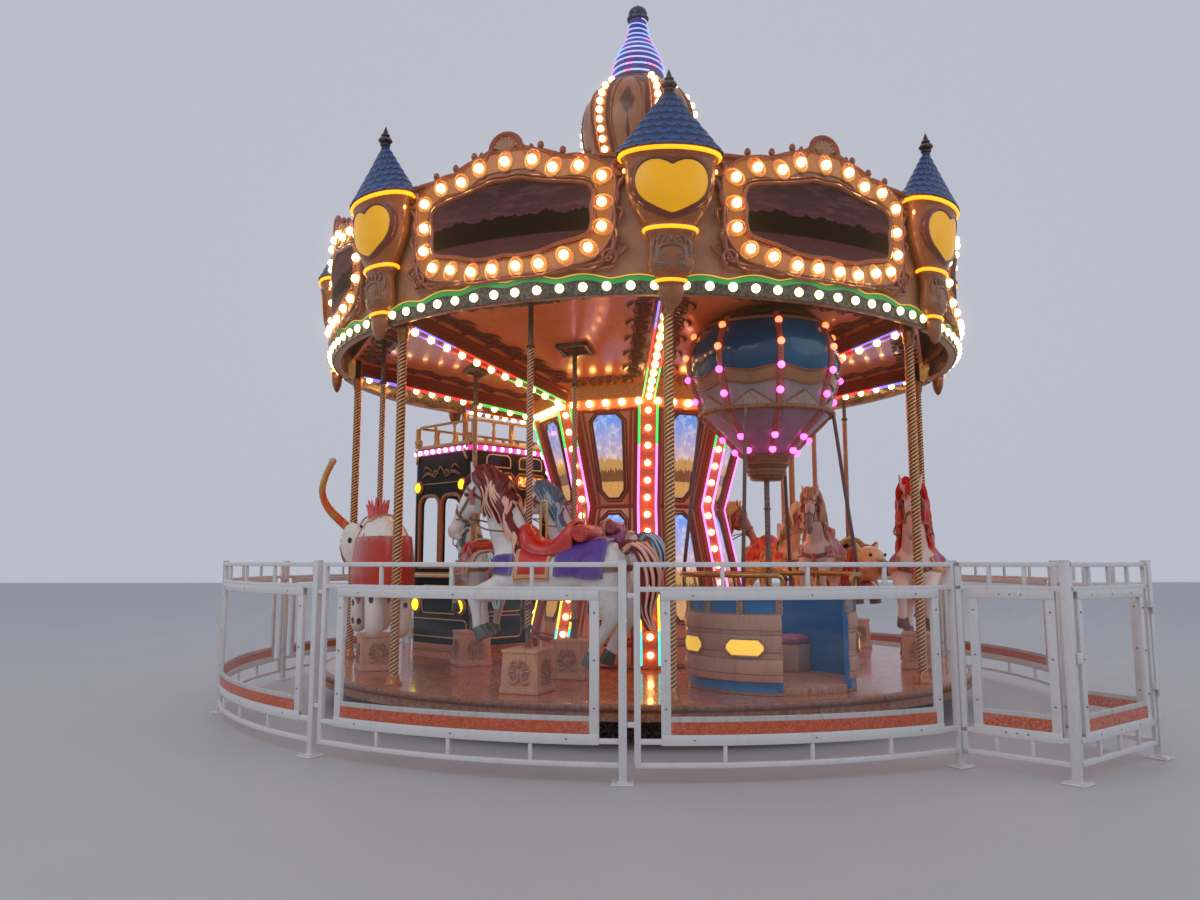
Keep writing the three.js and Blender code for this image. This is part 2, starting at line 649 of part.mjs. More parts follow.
// Curved bay of fence: its own post at the right end, lugs to the post on its left
function fenceBay() {
  const half = (rad(FENCE_SPAN) * FENCE_RADIUS) / 2;
  const left = -half + POST / 2 + 40;
  const back = FENCE_RADIUS - TUBE / 2;
  const right = half - POST / 2 + 4;
  const panel = fencePanel(left, right, { leftEnd: 37, rightEnd: 0, inset: 1, ties: BAY_TIES });
  for (const z of [300, 1000]) {
    panel.push(slab([-half + POST / 2 + SEAT, left + 8], [z, z + TUBE], TUBE));
  }
  const lines = [left, ...divide(left, right, BAY_TIES + 1), right];
  const bent = panel.map((piece) => wrapped(piece, lines, back, FENCE_RADIUS));
  return join([...bent, post(0, -FENCE_RADIUS).rotateZ(rad(FENCE_SPAN / 2))]);
}

// Porch corners in the porch's own frame, which looks along -Y
const RING_POST = polar(PORCH_SPAN / 2, FENCE_RADIUS);
const FRONT_POST = new THREE.Vector3(PORCH_HALF, -PORCH_REACH, 0);

function porchWall(side) {
  const start = new THREE.Vector3(side * RING_POST.x, RING_POST.y, 0);
  const end = new THREE.Vector3(side * FRONT_POST.x, FRONT_POST.y, 0);
  const along = end.clone().sub(start);
  const length = along.length();
  const ends = { leftEnd: 34, rightEnd: 0, inset: 0.35, ties: 2 };
  const panel = fencePanel(POST / 2 - 4, length - POST / 2 + 4, ends);
  const turn = Math.atan2(along.y, along.x);
  const stood = panel.map((piece) => upright(piece, TUBE / 2).rotateZ(turn).translate(start.x, start.y, 0));
  return [...stood, post(end.x, end.y)];
}

// Left wall stops at the fence's own post, right wall brings its ring post along
function porchLeft() {
  const wall = porchWall(-1);
  const reach = POST / 2 + SEAT;
  const ringPost = box([-reach, reach], [-FENCE_RADIUS - reach, -FENCE_RADIUS + reach], [-10, 1300]);
  const foot = FOOT_PLATE / 2 + SEAT;
  const ringFoot = box([-foot, foot], [-FENCE_RADIUS - foot, -FENCE_RADIUS + foot], [-10, 30]);
  const turn = rad(-PORCH_SPAN / 2);
  return withKnuckles(cut(join(wall), [ringPost.rotateZ(turn), ringFoot.rotateZ(turn)]), -1);
}

function porchRight() {
  const wall = porchWall(1);
  const ringPost = post(0, -FENCE_RADIUS).rotateZ(rad(PORCH_SPAN / 2));
  return withKnuckles(join([...wall, ringPost]), 1);
}

const HINGE = { x: PORCH_HALF - POST / 2 - GATE_GAP / 2, y: -PORCH_REACH - POST / 2 - PIN_RADIUS - 2 };
const HINGE_LEVELS = [380, 880];
const KNUCKLE = 40;

// Post halves of the gate hinges, on the right-hand front post only
function withKnuckles(wall, side) {
  if (side < 0) {
    return wall;
  }
  const face = -PORCH_REACH - POST / 2;
  const pieces = HINGE_LEVELS.flatMap((z) => [
    bar([HINGE.x, HINGE.y, z], [HINGE.x, HINGE.y, z + KNUCKLE], PIN_RADIUS, 8),
    box([HINGE.x, HINGE.x + 24], [HINGE.y - 5, face + 4], [z, z + KNUCKLE]),
  ]);
  return join([wall, ...pieces]);
}

// Gate leaf between the front posts, with its hinge halves and latch block
function gate() {
  const right = PORCH_HALF - POST / 2 - GATE_GAP;
  const panel = fencePanel(-right, right, { leftEnd: TUBE, rightEnd: TUBE, inset: 0.4, ties: 3 });
  const pieces = [
    ...panel.map((piece) => upright(piece, -PORCH_REACH + TUBE / 2)),
    box([-right, -right + 60], [-PORCH_REACH - TUBE / 2 - 22, -PORCH_REACH], [640, 700]),
  ];
  const leafFace = -PORCH_REACH - TUBE / 2;
  for (const z of HINGE_LEVELS) {
    const low = z + KNUCKLE + SEAT;
    pieces.push(bar([HINGE.x, HINGE.y, low], [HINGE.x, HINGE.y, low + KNUCKLE], PIN_RADIUS, 8));
    pieces.push(box([HINGE.x - 40, HINGE.x], [HINGE.y - 5, leafFace + 4], [low, low + KNUCKLE]));
  }
  return join(pieces);
}

add('base_frame', baseFrame(), 'steel');
add('platform', deck(), 'deck');
add('centre_column', centreColumn(), 'orange');
add('ceiling', ceiling(), 'orange');
add('canopy_frame', canopyFrame(), 'gold');
add('roof', roofCone(), 'roof');
add('onion_dome', onionDome(), 'brown');
add('spire', spire(), 'blue');
add('finial', finial(), 'blue');

const boardGeometry = roundingBoard();
const turretGeometry = turret();
for (let i = 0; i < BAYS; i += 1) {
  add(`turret_${i + 1}`, turretGeometry, 'brown', turnedGroup(i * BAY_ANGLE));
  add(`rounding_board_${i + 1}`, boardGeometry, 'brown', turnedGroup((i + 0.5) * BAY_ANGLE));
}

const gondola = turnedGroup(GONDOLA_ANGLE);
add('balloon', balloon(), 'blue', gondola);
add('gondola_basket', basket(), 'peach', gondola);
add('gondola_frame', gondolaFrame(), 'gold', gondola);

const tram = turnedGroup(TRAM_ANGLE);
add('tram_saloon', tramBody(), 'green', tram);
add('tram_top_deck', tramTop(), 'gold', tram);

for (const seat of SEATS) {
  const mesh = add(seat.name, rider(seat), 'cream');
  mesh.position.copy(polar(seat.angle, seat.ring));
  mesh.rotation.z = rad(seat.angle + 180);
}

const bayGeometry = fenceBay();
const porches = [['entrance', PORCH_ANGLE, 1], ['exit', PORCH_ANGLE + 180, 6]];
for (const [name, angle, first] of porches) {
  const porch = turnedGroup(angle);
  add(`${name}_wall_left`, porchLeft(), 'white', porch);
  add(`${name}_wall_right`, porchRight(), 'white', porch);
  add(`${name}_gate`, gate(), 'white', porch);
  for (let i = 0; i < 5; i += 1) {
    const at = angle + PORCH_SPAN / 2 + (i + 0.5) * FENCE_SPAN;
    add(`fence_bay_${first + i}`, bayGeometry, 'white', turnedGroup(at));
  }
}

export default model;
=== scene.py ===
"""Looks of a fairground carousel with its ring fence, laid out as a Blender add-on and run as a script."""

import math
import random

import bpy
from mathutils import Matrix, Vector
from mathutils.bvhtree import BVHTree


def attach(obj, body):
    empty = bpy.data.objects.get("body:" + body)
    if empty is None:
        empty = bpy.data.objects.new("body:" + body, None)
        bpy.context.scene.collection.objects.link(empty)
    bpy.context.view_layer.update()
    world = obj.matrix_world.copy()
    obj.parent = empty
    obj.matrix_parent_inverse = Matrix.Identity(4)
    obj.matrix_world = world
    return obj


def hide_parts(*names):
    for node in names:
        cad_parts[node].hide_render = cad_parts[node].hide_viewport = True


bl_info = {
    "name": "Fairground Carousel",
    "version": (1, 0, 0),
    "blender": (4, 5, 0),
    "location": "3D View > Sidebar > Carousel",
    "description": "Builds the looks of a fairground carousel around its construction model",
    "category": "Add Mesh",
}

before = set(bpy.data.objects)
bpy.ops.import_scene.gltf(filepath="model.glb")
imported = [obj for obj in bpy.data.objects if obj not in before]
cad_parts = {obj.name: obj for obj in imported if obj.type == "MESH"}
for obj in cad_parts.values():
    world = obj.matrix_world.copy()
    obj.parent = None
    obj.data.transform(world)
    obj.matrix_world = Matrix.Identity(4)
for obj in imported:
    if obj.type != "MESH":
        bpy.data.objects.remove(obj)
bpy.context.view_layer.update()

# Sizes shared with the construction model, in metres and degrees
BAYS = 8
BAY_ANGLE = 360 / BAYS
HALF_BAY = math.radians(BAY_ANGLE / 2)
CORNERS = [i * BAY_ANGLE for i in range(BAYS)]
BAY_MIDDLES = [(i + 0.5) * BAY_ANGLE for i in range(BAYS)]
BOARD_INNER = 2.862
BOARD_OUTER = 2.920
BOARD_BOTTOM = 2.990
BOARD_TOP = 3.952
TURRET_BACK = 2.952
TURRET_BEHIND = 0.078
TURRET_DEPTH = 0.52
COLUMN_TOP = 1.030
COLUMN_TOP_Z = 2.770
CEILING_RIM = 2.850
CEILING_RIM_Z = 3.186
POLE_CIRCLE = 2.783
FENCE_RADIUS = 3.720
FENCE_SPAN = 32.0
PORCH_SPAN = 20.0
PORCH_ANGLE = 36.35
PORCH_REACH = 4.290
PORCH_HALF = 0.540
GONDOLA_ANGLE = 22.5
GONDOLA_CIRCLE = 2.150
TRAM_ANGLE = -135.0
TRAM_INNER = 1.372
TRAM_OUTER = 2.400
TRAM_HALF = 1.000
OUTER_RING = 2.520
INNER_RING = 1.680
ROD_ANGLES = [-22.5, -67.5, 67.5, 112.5, 157.5]
# What stands on the deck begins a hair above its top
ON_DECK = 0.3003


# Working on meshes

def clear():
    """Leaves nothing selected."""
    bpy.ops.object.select_all(action="DESELECT")


def only(obj):
    clear()
    obj.select_set(True)
    bpy.context.view_layer.objects.active = obj
    return obj


def linked(name, data):
    """A new object in the scene."""
    obj = bpy.data.objects.new(name, data)
    bpy.context.collection.objects.link(obj)
    return obj


def settle(obj):
    """Puts an object's place, turn and size into its mesh."""
    only(obj)
    bpy.ops.object.transform_apply(location=True, rotation=True, scale=True)
    return obj


def modified(obj, kind, **values):
    """Adds a modifier and applies it."""
    only(obj)
    modifier = obj.modifiers.new(kind.title(), kind)
    for key, value in values.items():
        setattr(modifier, key, value)
    bpy.ops.object.modifier_apply(modifier=modifier.name)
    return obj


def rounded(obj, width, segments=2):
    return modified(obj, "BEVEL", width=width, segments=segments, limit_method="ANGLE", harden_normals=False)


def joined(objects):
    """Joins several objects into the first."""
    objects = list(objects)
    if len(objects) > 1:
        clear()
        for obj in objects:
            obj.select_set(True)
        bpy.context.view_layer.objects.active = objects[0]
        bpy.ops.object.join()
    return objects[0]


def moved(obj, matrix):
    obj.data.transform(matrix)
    return obj


def turn_z(degrees):
    return Matrix.Rotation(math.radians(degrees), 4, "Z")


def shift(x, y, z):
    return Matrix.Translation((x, y, z))


def polar(angle, radius, z=0.0):
    """Point at a plan angle, counted from -Y towards +X."""
    return Vector((radius * math.sin(math.radians(angle)), -radius * math.cos(math.radians(angle)), z))


def plan_angle(place):
    """Plan angle of a place, in degrees."""
    return math.degrees(math.atan2(place.x, -place.y))


def reshaped(obj, place):
    """Moves each point of a mesh to where a function puts it."""
    for vertex in obj.data.vertices:
        vertex.co = place(vertex.co)
    return obj


def twin_of(obj):
    twin = obj.copy()
    twin.data = obj.data.copy()
    bpy.context.collection.objects.link(twin)
    return twin


def copies(obj, matrices):
    """A copy of an object with its own mesh for each matrix; the original is dropped."""
    made = [moved(twin_of(obj), matrix) for matrix in matrices]
    bpy.data.objects.remove(obj)
    return made


def copied(obj, matrices):
    """Joins a copy of an object for each matrix."""
    return joined(copies(obj, matrices))


def turned_copies(obj, angles):
    """A copy of an object at each plan angle."""
    return copies(obj, [turn_z(angle) for angle in angles])


def spread(obj, angles):
    """Joins a copy of an object at each plan angle."""
    return joined(turned_copies(obj, angles))


# Shapes

def block(x, y, z, bevel=0.0, segments=2):
    """Box between two corners, with rounded edges."""
    clear()
    middle = [(pair[0] + pair[1]) / 2 for pair in (x, y, z)]
    bpy.ops.mesh.primitive_cube_add(size=1, location=middle)
    obj = bpy.context.object
    obj.scale = [abs(pair[1] - pair[0]) for pair in (x, y, z)]
    settle(obj)
    return rounded(obj, bevel, segments) if bevel else obj


def ball(centre, radii, segments=16, rings=10):
    clear()
    bpy.ops.mesh.primitive_uv_sphere_add(segments=segments, ring_count=rings, radius=1, location=centre)
    obj = bpy.context.object
    obj.scale = radii if hasattr(radii, "__len__") else (radii,) * 3
    return settle(obj)


def bar(start, end, radius, end_radius=None, sides=12):
    """Round bar between two points, tapered where its end radius differs."""
    clear()
    start, end = Vector(start), Vector(end)
    along = end - start
    bpy.ops.mesh.primitive_cone_add(
        vertices=sides, radius1=radius, radius2=radius if end_radius is None else end_radius,
        depth=along.length, location=(start + end) / 2)
    obj = bpy.context.object
    obj.rotation_mode = "QUATERNION"
    obj.rotation_quaternion = Vector((0, 0, 1)).rotation_difference(along)
    return settle(obj)


def ring(centre, radius, thickness, major=48, minor=8):
    clear()
    bpy.ops.mesh.primitive_torus_add(
        location=centre, major_radius=radius, minor_radius=thickness, major_segments=major,
        minor_segments=minor)
    return settle(bpy.context.object)


def loop_faces(count):
    """Faces between two closed rows of points, the one listed after the other."""
    return [(i, (i + 1) % count, (i + 1) % count + count, i + count) for i in range(count)]


def from_points(points, edges=(), faces=()):
    mesh = bpy.data.meshes.new("shape")
    mesh.from_pydata([tuple(p) for p in points], edges, faces)
    return only(linked("shape", mesh))


def in_edit(obj, *steps):
    """Runs edit-mode steps on everything in an object."""
    only(obj)
    bpy.ops.object.mode_set(mode="EDIT")
    bpy.ops.mesh.select_all(action="SELECT")
    for step in steps:
        step()
    bpy.ops.object.mode_set(mode="OBJECT")
    return obj


def outward(obj):
    """Merges doubles, then turns all faces outward."""
    return in_edit(
        obj,
        lambda: bpy.ops.mesh.remove_doubles(threshold=1e-5),
        lambda: bpy.ops.mesh.dissolve_degenerate(threshold=1e-6),
        lambda: bpy.ops.mesh.normals_make_consistent(inside=False),
    )


def extruded(obj, along):
    """Draws an open shape out along a vector."""
    in_edit(obj, lambda: bpy.ops.mesh.extrude_region_move(TRANSFORM_OT_translate={"value": along}))
    return outward(obj)


def radius_at(line, height):
    """Radius at a height, read from [radius, height] pairs in rising order."""
    for (r0, z0), (r1, z1) in zip(line, line[1:]):
        if height <= z1:
            return r0 + (r1 - r0) * max(0.0, (height - z0) / (z1 - z0))
    return line[-1][0]


def spun(profile, steps=32, centre=(0.0, 0.0)):
    """Turned shape about an upright axis, from [radius, height] pairs that start and end on it."""
    points = [(r, 0, z) for r, z in profile]
    obj = from_points(points, [(i, i + 1) for i in range(len(points) - 1)])
    in_edit(obj, lambda: bpy.ops.mesh.spin(
        steps=steps, angle=2 * math.pi, center=(0, 0, 0), axis=(0, 0, 1)))
    outward(obj)
    return moved(obj, shift(centre[0], centre[1], 0))


def curve_points(points, steps=6, closed=False):
    """Smooth curve through the given points."""
    points = [Vector(p) for p in points]
    count = len(points)
    made = []
    for i in range(count if closed else count - 1):
        near = [points[(i + k) % count] if closed else points[min(max(i + k, 0), count - 1)]
                for k in (-1, 0, 1, 2)]
        for step in range(steps):
            t = step / steps
            made.append(0.5 * (
                2 * near[1] + (near[2] - near[0]) * t
                + (2 * near[0] - 5 * near[1] + 4 * near[2] - near[3]) * t * t
                + (3 * near[1] - near[0] - 3 * near[2] + near[3]) * t ** 3))
    if not closed:
        made.append(points[-1])
    return made


def tube(points, radius, closed=False, sides=8, radii=None):
    """Round tube along a line of points, made from a curve and turned into a mesh."""
    curve = bpy.data.curves.new("tube", "CURVE")
    curve.dimensions = "3D"
    curve.bevel_depth = radius
    curve.bevel_resolution = max(0, sides // 2 - 2)
    curve.use_fill_caps = not closed
    spline = curve.splines.new("POLY")
    spline.points.add(len(points) - 1)
    for i, point in enumerate(points):
        spline.points[i].co = (*point, 1)
        spline.points[i].radius = radii[i] if radii else 1
    spline.use_cyclic_u = closed
    only(linked("tube", curve))
    bpy.ops.object.convert(target="MESH")
    return bpy.context.object


def plate(outline, thickness, bevel=0.0):
    """Upright plate from an outline of [along, height] points, its face towards -Y and its back on y = 0."""
    points = [(u, 0, z) for u, z in outline]
    obj = from_points(points, faces=[list(range(len(points)))])
    extruded(obj, (0, -thickness, 0))
    return rounded(obj, bevel, 1) if bevel else obj


def bisected(obj, lines, axis=0):
    """Cuts edges across an object where it meets planes square to one axis."""
    normal = [float(i == axis) for i in range(3)]

    def cut(line):
        bpy.ops.mesh.select_all(action="SELECT")
        bpy.ops.mesh.bisect(plane_co=[line * n for n in normal], plane_no=normal)

    return in_edit(obj, *[lambda line=line: cut(line) for line in lines])


def bent(obj, radius, lines=0):
    """Wraps an upright plate round the carousel's axis: its back, y = 0, goes to the given radius."""
    if lines:
        low = min(v.co.x for v in obj.data.vertices)
        high = max(v.co.x for v in obj.data.vertices)
        bisected(obj, [low + (high - low) * (i + 1) / (lines + 1) for i in range(lines)])
    return reshaped(obj, lambda co: polar(math.degrees(co.x / radius), radius - co.y, co.z))


def piece(obj, name, material, slot, body="turntable", replaces=(), smooth=35.0):
    """Names, finishes and hands over a finished piece."""
    only(obj)
    obj.name = name
    obj.data.name = name
    obj.data.materials.clear()
    obj.data.materials.append(material)
    for polygon in obj.data.polygons:
        polygon.material_index = 0
    bpy.ops.object.shade_smooth_by_angle(angle=math.radians(smooth))
    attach(obj, body)
    if replaces:
        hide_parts(*replaces)
    return obj


# Materials

def paint(code, alpha=1.0):
    """Linear colour from a six-figure sRGB code, or from a colour setting, which is linear already."""
    if not isinstance(code, str):
        return (*code, alpha)
    values = [int(code[i:i + 2], 16) / 255 for i in (0, 2, 4)]
    return (*[v / 12.92 if v <= 0.04045 else ((v + 0.055) / 1.055) ** 2.4 for v in values], alpha)


def chosen(setting):
    """Value that the user has set for a size or a colour."""
    return getattr(bpy.context.scene.carousel, setting)


class Net:
    """Adds nodes to a tree and links them; each call gives back one output socket."""

    def __init__(self, tree):
        self.tree = tree

    def add(self, kind, inputs=None, output=0, **settings):
        node = self.tree.nodes.new(kind)
        for key, value in settings.items():
            setattr(node, key, value)
        for key, value in (inputs or {}).items():
            self.put(node.inputs[key], value)
        return node.outputs[output]

    def put(self, socket, value):
        if isinstance(value, bpy.types.NodeSocket):
            self.tree.links.new(value, socket)
        else:
            socket.default_value = value

    def math(self, operation, a, b=0.0, c=0.0):
        return self.add("ShaderNodeMath", {0: a, 1: b, 2: c}, operation=operation)

    def mix(self, factor, a, b, blend="MIX"):
        return self.add("ShaderNodeMix", {0: factor, 6: a, 7: b}, 2, data_type="RGBA", blend_type=blend)

    def noise(self, vector, scale, detail=3.0, roughness=0.55, distortion=0.0):
        values = {"Vector": vector, "Scale": scale, "Detail": detail, "Roughness": roughness,
                  "Distortion": distortion}
        return self.add("ShaderNodeTexNoise", values)

    def steps(self, value, low, high):
        """0 below one value and 1 above another, straight between them."""
        return self.add("ShaderNodeMapRange", {"Value": value, "From Min": low, "From Max": high})

    def ramp(self, value, stops, interpolation="LINEAR"):
        node = self.tree.nodes.new("ShaderNodeValToRGB")
        node.color_ramp.interpolation = interpolation
        elements = node.color_ramp.elements
        while len(elements) < len(stops):
            elements.new(0.5)
        for element, (place, colour) in zip(elements, stops):
            element.position = place
            element.color = colour
        self.put(node.inputs[0], value)
        return node.outputs[0]

    def place(self):
        return self.add("ShaderNodeTexCoord", output=3)

    def chart(self):
        return self.add("ShaderNodeUVMap", uv_map="chart")

    def parts(self, vector):
        node = self.tree.nodes.new("ShaderNodeSeparateXYZ")
        self.put(node.inputs[0], vector)
        return node.outputs[0], node.outputs[1], node.outputs[2]

    def scaled(self, vector, scale):
        return self.add("ShaderNodeMapping", {"Vector": vector, "Scale": scale})


def shared_group(name, inputs, outputs, wire):
    """Builds a node group with named inputs and outputs."""
    tree = bpy.data.node_groups.new(name, "ShaderNodeTree")
    for label, kind, default in inputs:
        socket = tree.interface.new_socket(label, in_out="INPUT", socket_type=kind)
        socket.default_value = default
    for label, kind in outputs:
        tree.interface.new_socket(label, in_out="OUTPUT", socket_type=kind)
    source = tree.nodes.new("NodeGroupInput")
    sink = tree.nodes.new("NodeGroupOutput")
    net = Net(tree)
    for label, socket in wire(net, source.outputs).items():
        net.put(sink.inputs[label], socket)
    return tree


def wire_wear(net, source):
    """Uneven colour, small scuffs and grime, and the fine texture of the coat."""
    place = net.place()
    broad = net.noise(place, source["Scale"], 4.0)
    fine = net.noise(place, net.math("MULTIPLY", source["Scale"], 14.0), 5.0, 0.65)
    streaks = net.noise(net.scaled(place, (9.0, 9.0, 1.6)), source["Scale"], 3.0)
    shade = net.math("MULTIPLY_ADD", broad, source["Variation"],
                     net.math("MULTIPLY_ADD", source["Variation"], -0.5, 1.0))
    even = net.add("ShaderNodeHueSaturation", {"Value": shade, "Color": source["Colour"]})
    grime = net.math("MULTIPLY", net.steps(streaks, 0.52, 0.74), source["Grime Amount"])
    stained = net.mix(grime, even, source["Grime"])
    point = net.add("ShaderNodeNewGeometry", output=7)
    edge = net.math("MULTIPLY", net.steps(point, 0.515, 0.60), source["Edge Amount"])
    chipped = net.math("MULTIPLY", edge, net.steps(fine, 0.40, 0.62))
    colour = net.mix(chipped, stained, source["Edge"])
    # Hollows, where pointiness falls below that of a flat face, are darkened with the grime colour: painted
    # shade, with some grime
    hollow = net.math("MULTIPLY", net.steps(point, 0.49, 0.42), source["Grime Amount"])
    colour = net.mix(hollow, colour, source["Grime"])
    rough = net.math("MULTIPLY_ADD", fine, source["Roughness Change"], source["Roughness"])
    rough = net.math("MULTIPLY_ADD", grime, 0.25, rough)
    return {"Colour": colour, "Roughness": rough, "Height": fine}


def wire_planks(net, source):
    """Boards side by side along a chart: their own shades, and the gaps between them."""
    across, along, _ = net.parts(source["Chart"])
    spot = net.math("MULTIPLY", across, source["Boards"])
    number = net.math("FLOOR", spot)
    inside = net.math("FRACT", spot)
    edge = net.math("MINIMUM", inside, net.math("SUBTRACT", 1.0, inside))
    gap = net.steps(edge, 0.03, 0.0)
    own = net.add("ShaderNodeTexWhiteNoise", {"W": number}, noise_dimensions="1D")
    grain_place = net.add("ShaderNodeCombineXYZ", {0: net.math("MULTIPLY", spot, 6.0), 1: along, 2: number})
    grain = net.noise(grain_place, source["Grain"], 6.0, 0.6, 0.4)
    shade = net.math("ADD", net.math("MULTIPLY_ADD", own, 0.22, 0.78), net.math("MULTIPLY", grain, 0.25))
    colour = net.add("ShaderNodeHueSaturation", {"Value": shade, "Color": source["Colour"]})
    colour = net.mix(gap, colour, source["Gap"])
    height = net.math("SUBTRACT", net.math("MULTIPLY", grain, 0.15), gap)
    return {"Colour": colour, "Height": height}


def wire_landscape(net, source):
    """A generic view for a picture panel: sky with clouds, hills and still water."""
    across, up, _ = net.parts(source["Chart"])
    spread = net.add("ShaderNodeCombineXYZ", {0: net.math("MULTIPLY", across, 1.6), 1: up})
    clouds = net.noise(net.scaled(spread, (1.2, 3.6, 1.0)), 2.6, 6.0, 0.6, 0.3)
    sky = net.mix(up, source["Low Sky"], source["High Sky"])
    sky = net.mix(net.math("MULTIPLY", net.steps(clouds, 0.48, 0.72), 0.55), sky, source["Cloud"])
    line = net.noise(net.scaled(spread, (2.4, 0.0, 0.0)), 2.0, 5.0, 0.6)
    far = net.math("MULTIPLY_ADD", line, 0.35, source["Horizon"])
    near = net.math("MULTIPLY_ADD", net.noise(net.scaled(spread, (3.7, 0.0, 0.0)), 3.0, 5.0), 0.26,
                    net.math("SUBTRACT", source["Horizon"], 0.09))
    view = net.mix(net.steps(net.math("SUBTRACT", far, up), 0.0, 0.012), sky, source["Far Hill"])
    view = net.mix(net.steps(net.math("SUBTRACT", near, up), 0.0, 0.012), view, source["Near Hill"])
    shore = net.math("SUBTRACT", source["Horizon"], 0.10)
    ripple = net.noise(net.scaled(spread, (2.0, 26.0, 1.0)), 4.0, 3.0)
    water = net.mix(ripple, source["Near Hill"], source["Low Sky"])
    return {"Colour": net.mix(net.steps(net.math("SUBTRACT", shore, up), 0.0, 0.01), view, water)}


def wire_damask(net, source):
    """A traditional repeat of curls and diamonds over a chart."""
    across, up, _ = net.parts(source["Chart"])
    a = net.math("MULTIPLY", across, source["Repeat"])
    b = net.math("MULTIPLY", up, source["Repeat"])
    wave = net.math("SINE", net.math("MULTIPLY_ADD", net.math("SINE", b), 1.3, a))
    weft = net.math("SINE", net.math("MULTIPLY_ADD", net.math("SINE", a), 1.3, b))
    both = net.math("MULTIPLY", wave, weft)
    fine = net.math("SINE", net.math("MULTIPLY", both, 7.0))
    return {"Mask": net.steps(net.math("MULTIPLY_ADD", fine, 0.5, both), 0.15, 0.35)}


COLOUR, NUMBER, VECTOR = "NodeSocketColor", "NodeSocketFloat", "NodeSocketVector"


def build_groups():
    wear_inputs = [
        ("Colour", COLOUR, (0.5, 0.5, 0.5, 1)),
        ("Grime", COLOUR, (0.05, 0.04, 0.03, 1)),
        ("Edge", COLOUR, (0.8, 0.75, 0.7, 1)),
        ("Scale", NUMBER, 4.0),
        ("Variation", NUMBER, 0.25),
        ("Grime Amount", NUMBER, 0.3),
        ("Edge Amount", NUMBER, 0.5),
        ("Roughness", NUMBER, 0.35),
        ("Roughness Change", NUMBER, 0.2),
    ]
    wear_outputs = [("Colour", COLOUR), ("Roughness", NUMBER), ("Height", NUMBER)]
    chart = ("Chart", VECTOR, (0, 0, 0))
    colours = [(label, COLOUR, (0.5, 0.5, 0.5, 1))
               for label in ("Low Sky", "High Sky", "Cloud", "Far Hill", "Near Hill")]
    return {
        "wear": shared_group("Worn Coat", wear_inputs, wear_outputs, wire_wear),
        "planks": shared_group(
            "Planks",
            [chart, ("Colour", COLOUR, (0.5, 0.3, 0.2, 1)), ("Gap", COLOUR, (0.02, 0.01, 0.01, 1)),
             ("Boards", NUMBER, 1.0), ("Grain", NUMBER, 4.0)],
            [("Colour", COLOUR), ("Height", NUMBER)], wire_planks),
        "landscape": shared_group(
            "Landscape", [chart, ("Horizon", NUMBER, 0.2), *colours],
            [("Colour", COLOUR)], wire_landscape),
        "damask": shared_group(
            "Damask", [chart, ("Repeat", NUMBER, 12.0)], [("Mask", NUMBER)], wire_damask),
    }


GROUPS = {}
MATERIALS = {}
LAMPS = {}


def grouped(net, name, values, outputs):
    """Places a shared group in a tree; gives back its named outputs."""
    node = net.tree.nodes.new("ShaderNodeGroup")
    node.node_tree = GROUPS[name]
    for key, value in values.items():
        net.put(node.inputs[key], value)
    return [node.outputs[label] for label in outputs]


def new_material(name):
    """Begins a material: itself, the net of its tree and its main shader."""
    material = MATERIALS[name] = bpy.data.materials.new(name)
    material.use_nodes = True
    return material, Net(material.node_tree), material.node_tree.nodes["Principled BSDF"]


def coat(name, colour, roughness=0.35, metallic=0.0, gloss=0.0, scale=4.0, variation=0.25, grime=0.25,
         edge=0.35, grime_colour="2a1a12", edge_colour="d9c9b4", bump=0.15, depth=0.002, pattern=None,
         glow=None, glow_strength=0.0, change=0.2, alpha=None, specular=0.3):
    """A finish with uneven colour, wear and a fine texture.

    A pattern gives the colour, and a height or None.
    """
    if name in MATERIALS:
        return MATERIALS[name]
    material, net, shader = new_material(name)
    base, relief = pattern(net) if pattern else (paint(colour), None)
    worn = {"Colour": base, "Grime": paint(grime_colour), "Edge": paint(edge_colour), "Scale": scale,
            "Variation": variation, "Grime Amount": grime, "Edge Amount": edge, "Roughness": roughness,
            "Roughness Change": change}
    tint, rough, height = grouped(net, "wear", worn, ("Colour", "Roughness", "Height"))
    if relief:
        height = net.math("MULTIPLY_ADD", height, 0.12, relief)
    net.put(shader.inputs["Base Color"], tint)
    net.put(shader.inputs["Roughness"], rough)
    shader.inputs["Metallic"].default_value = metallic
    shader.inputs["Coat Weight"].default_value = gloss
    shader.inputs["Coat Roughness"].default_value = 0.08
    shader.inputs["Specular IOR Level"].default_value = specular
    bumped = net.add("ShaderNodeBump", {"Height": height, "Strength": bump, "Distance": depth})
    net.put(shader.inputs["Normal"], bumped)
    # A glow is painted light: emission on a part that is no lamp
    if glow:
        net.put(shader.inputs["Emission Color"], tint if glow == "self" else paint(glow))
        shader.inputs["Emission Strength"].default_value = glow_strength
    if alpha is not None:
        net.put(shader.inputs["Alpha"], alpha(net))
    return material


def lamp(name, colour, strength):
    """A lit lamp cover: its light differs a little from lamp to lamp."""
    if name in MATERIALS:
        return MATERIALS[name]
    material, net, shader = new_material(name)
    own = net.noise(net.place(), 9.0, 0.0)
    warm = net.add("ShaderNodeHueSaturation",
                   {"Value": net.math("MULTIPLY_ADD", own, 0.5, 0.75), "Color": paint(colour)})
    net.put(shader.inputs["Base Color"], net.mix(own, paint("ffffff"), paint(colour)))
    net.put(shader.inputs["Emission Color"], warm)
    shader.inputs["Emission Strength"].default_value = strength
    shader.inputs["Roughness"].default_value = 0.25
    return material


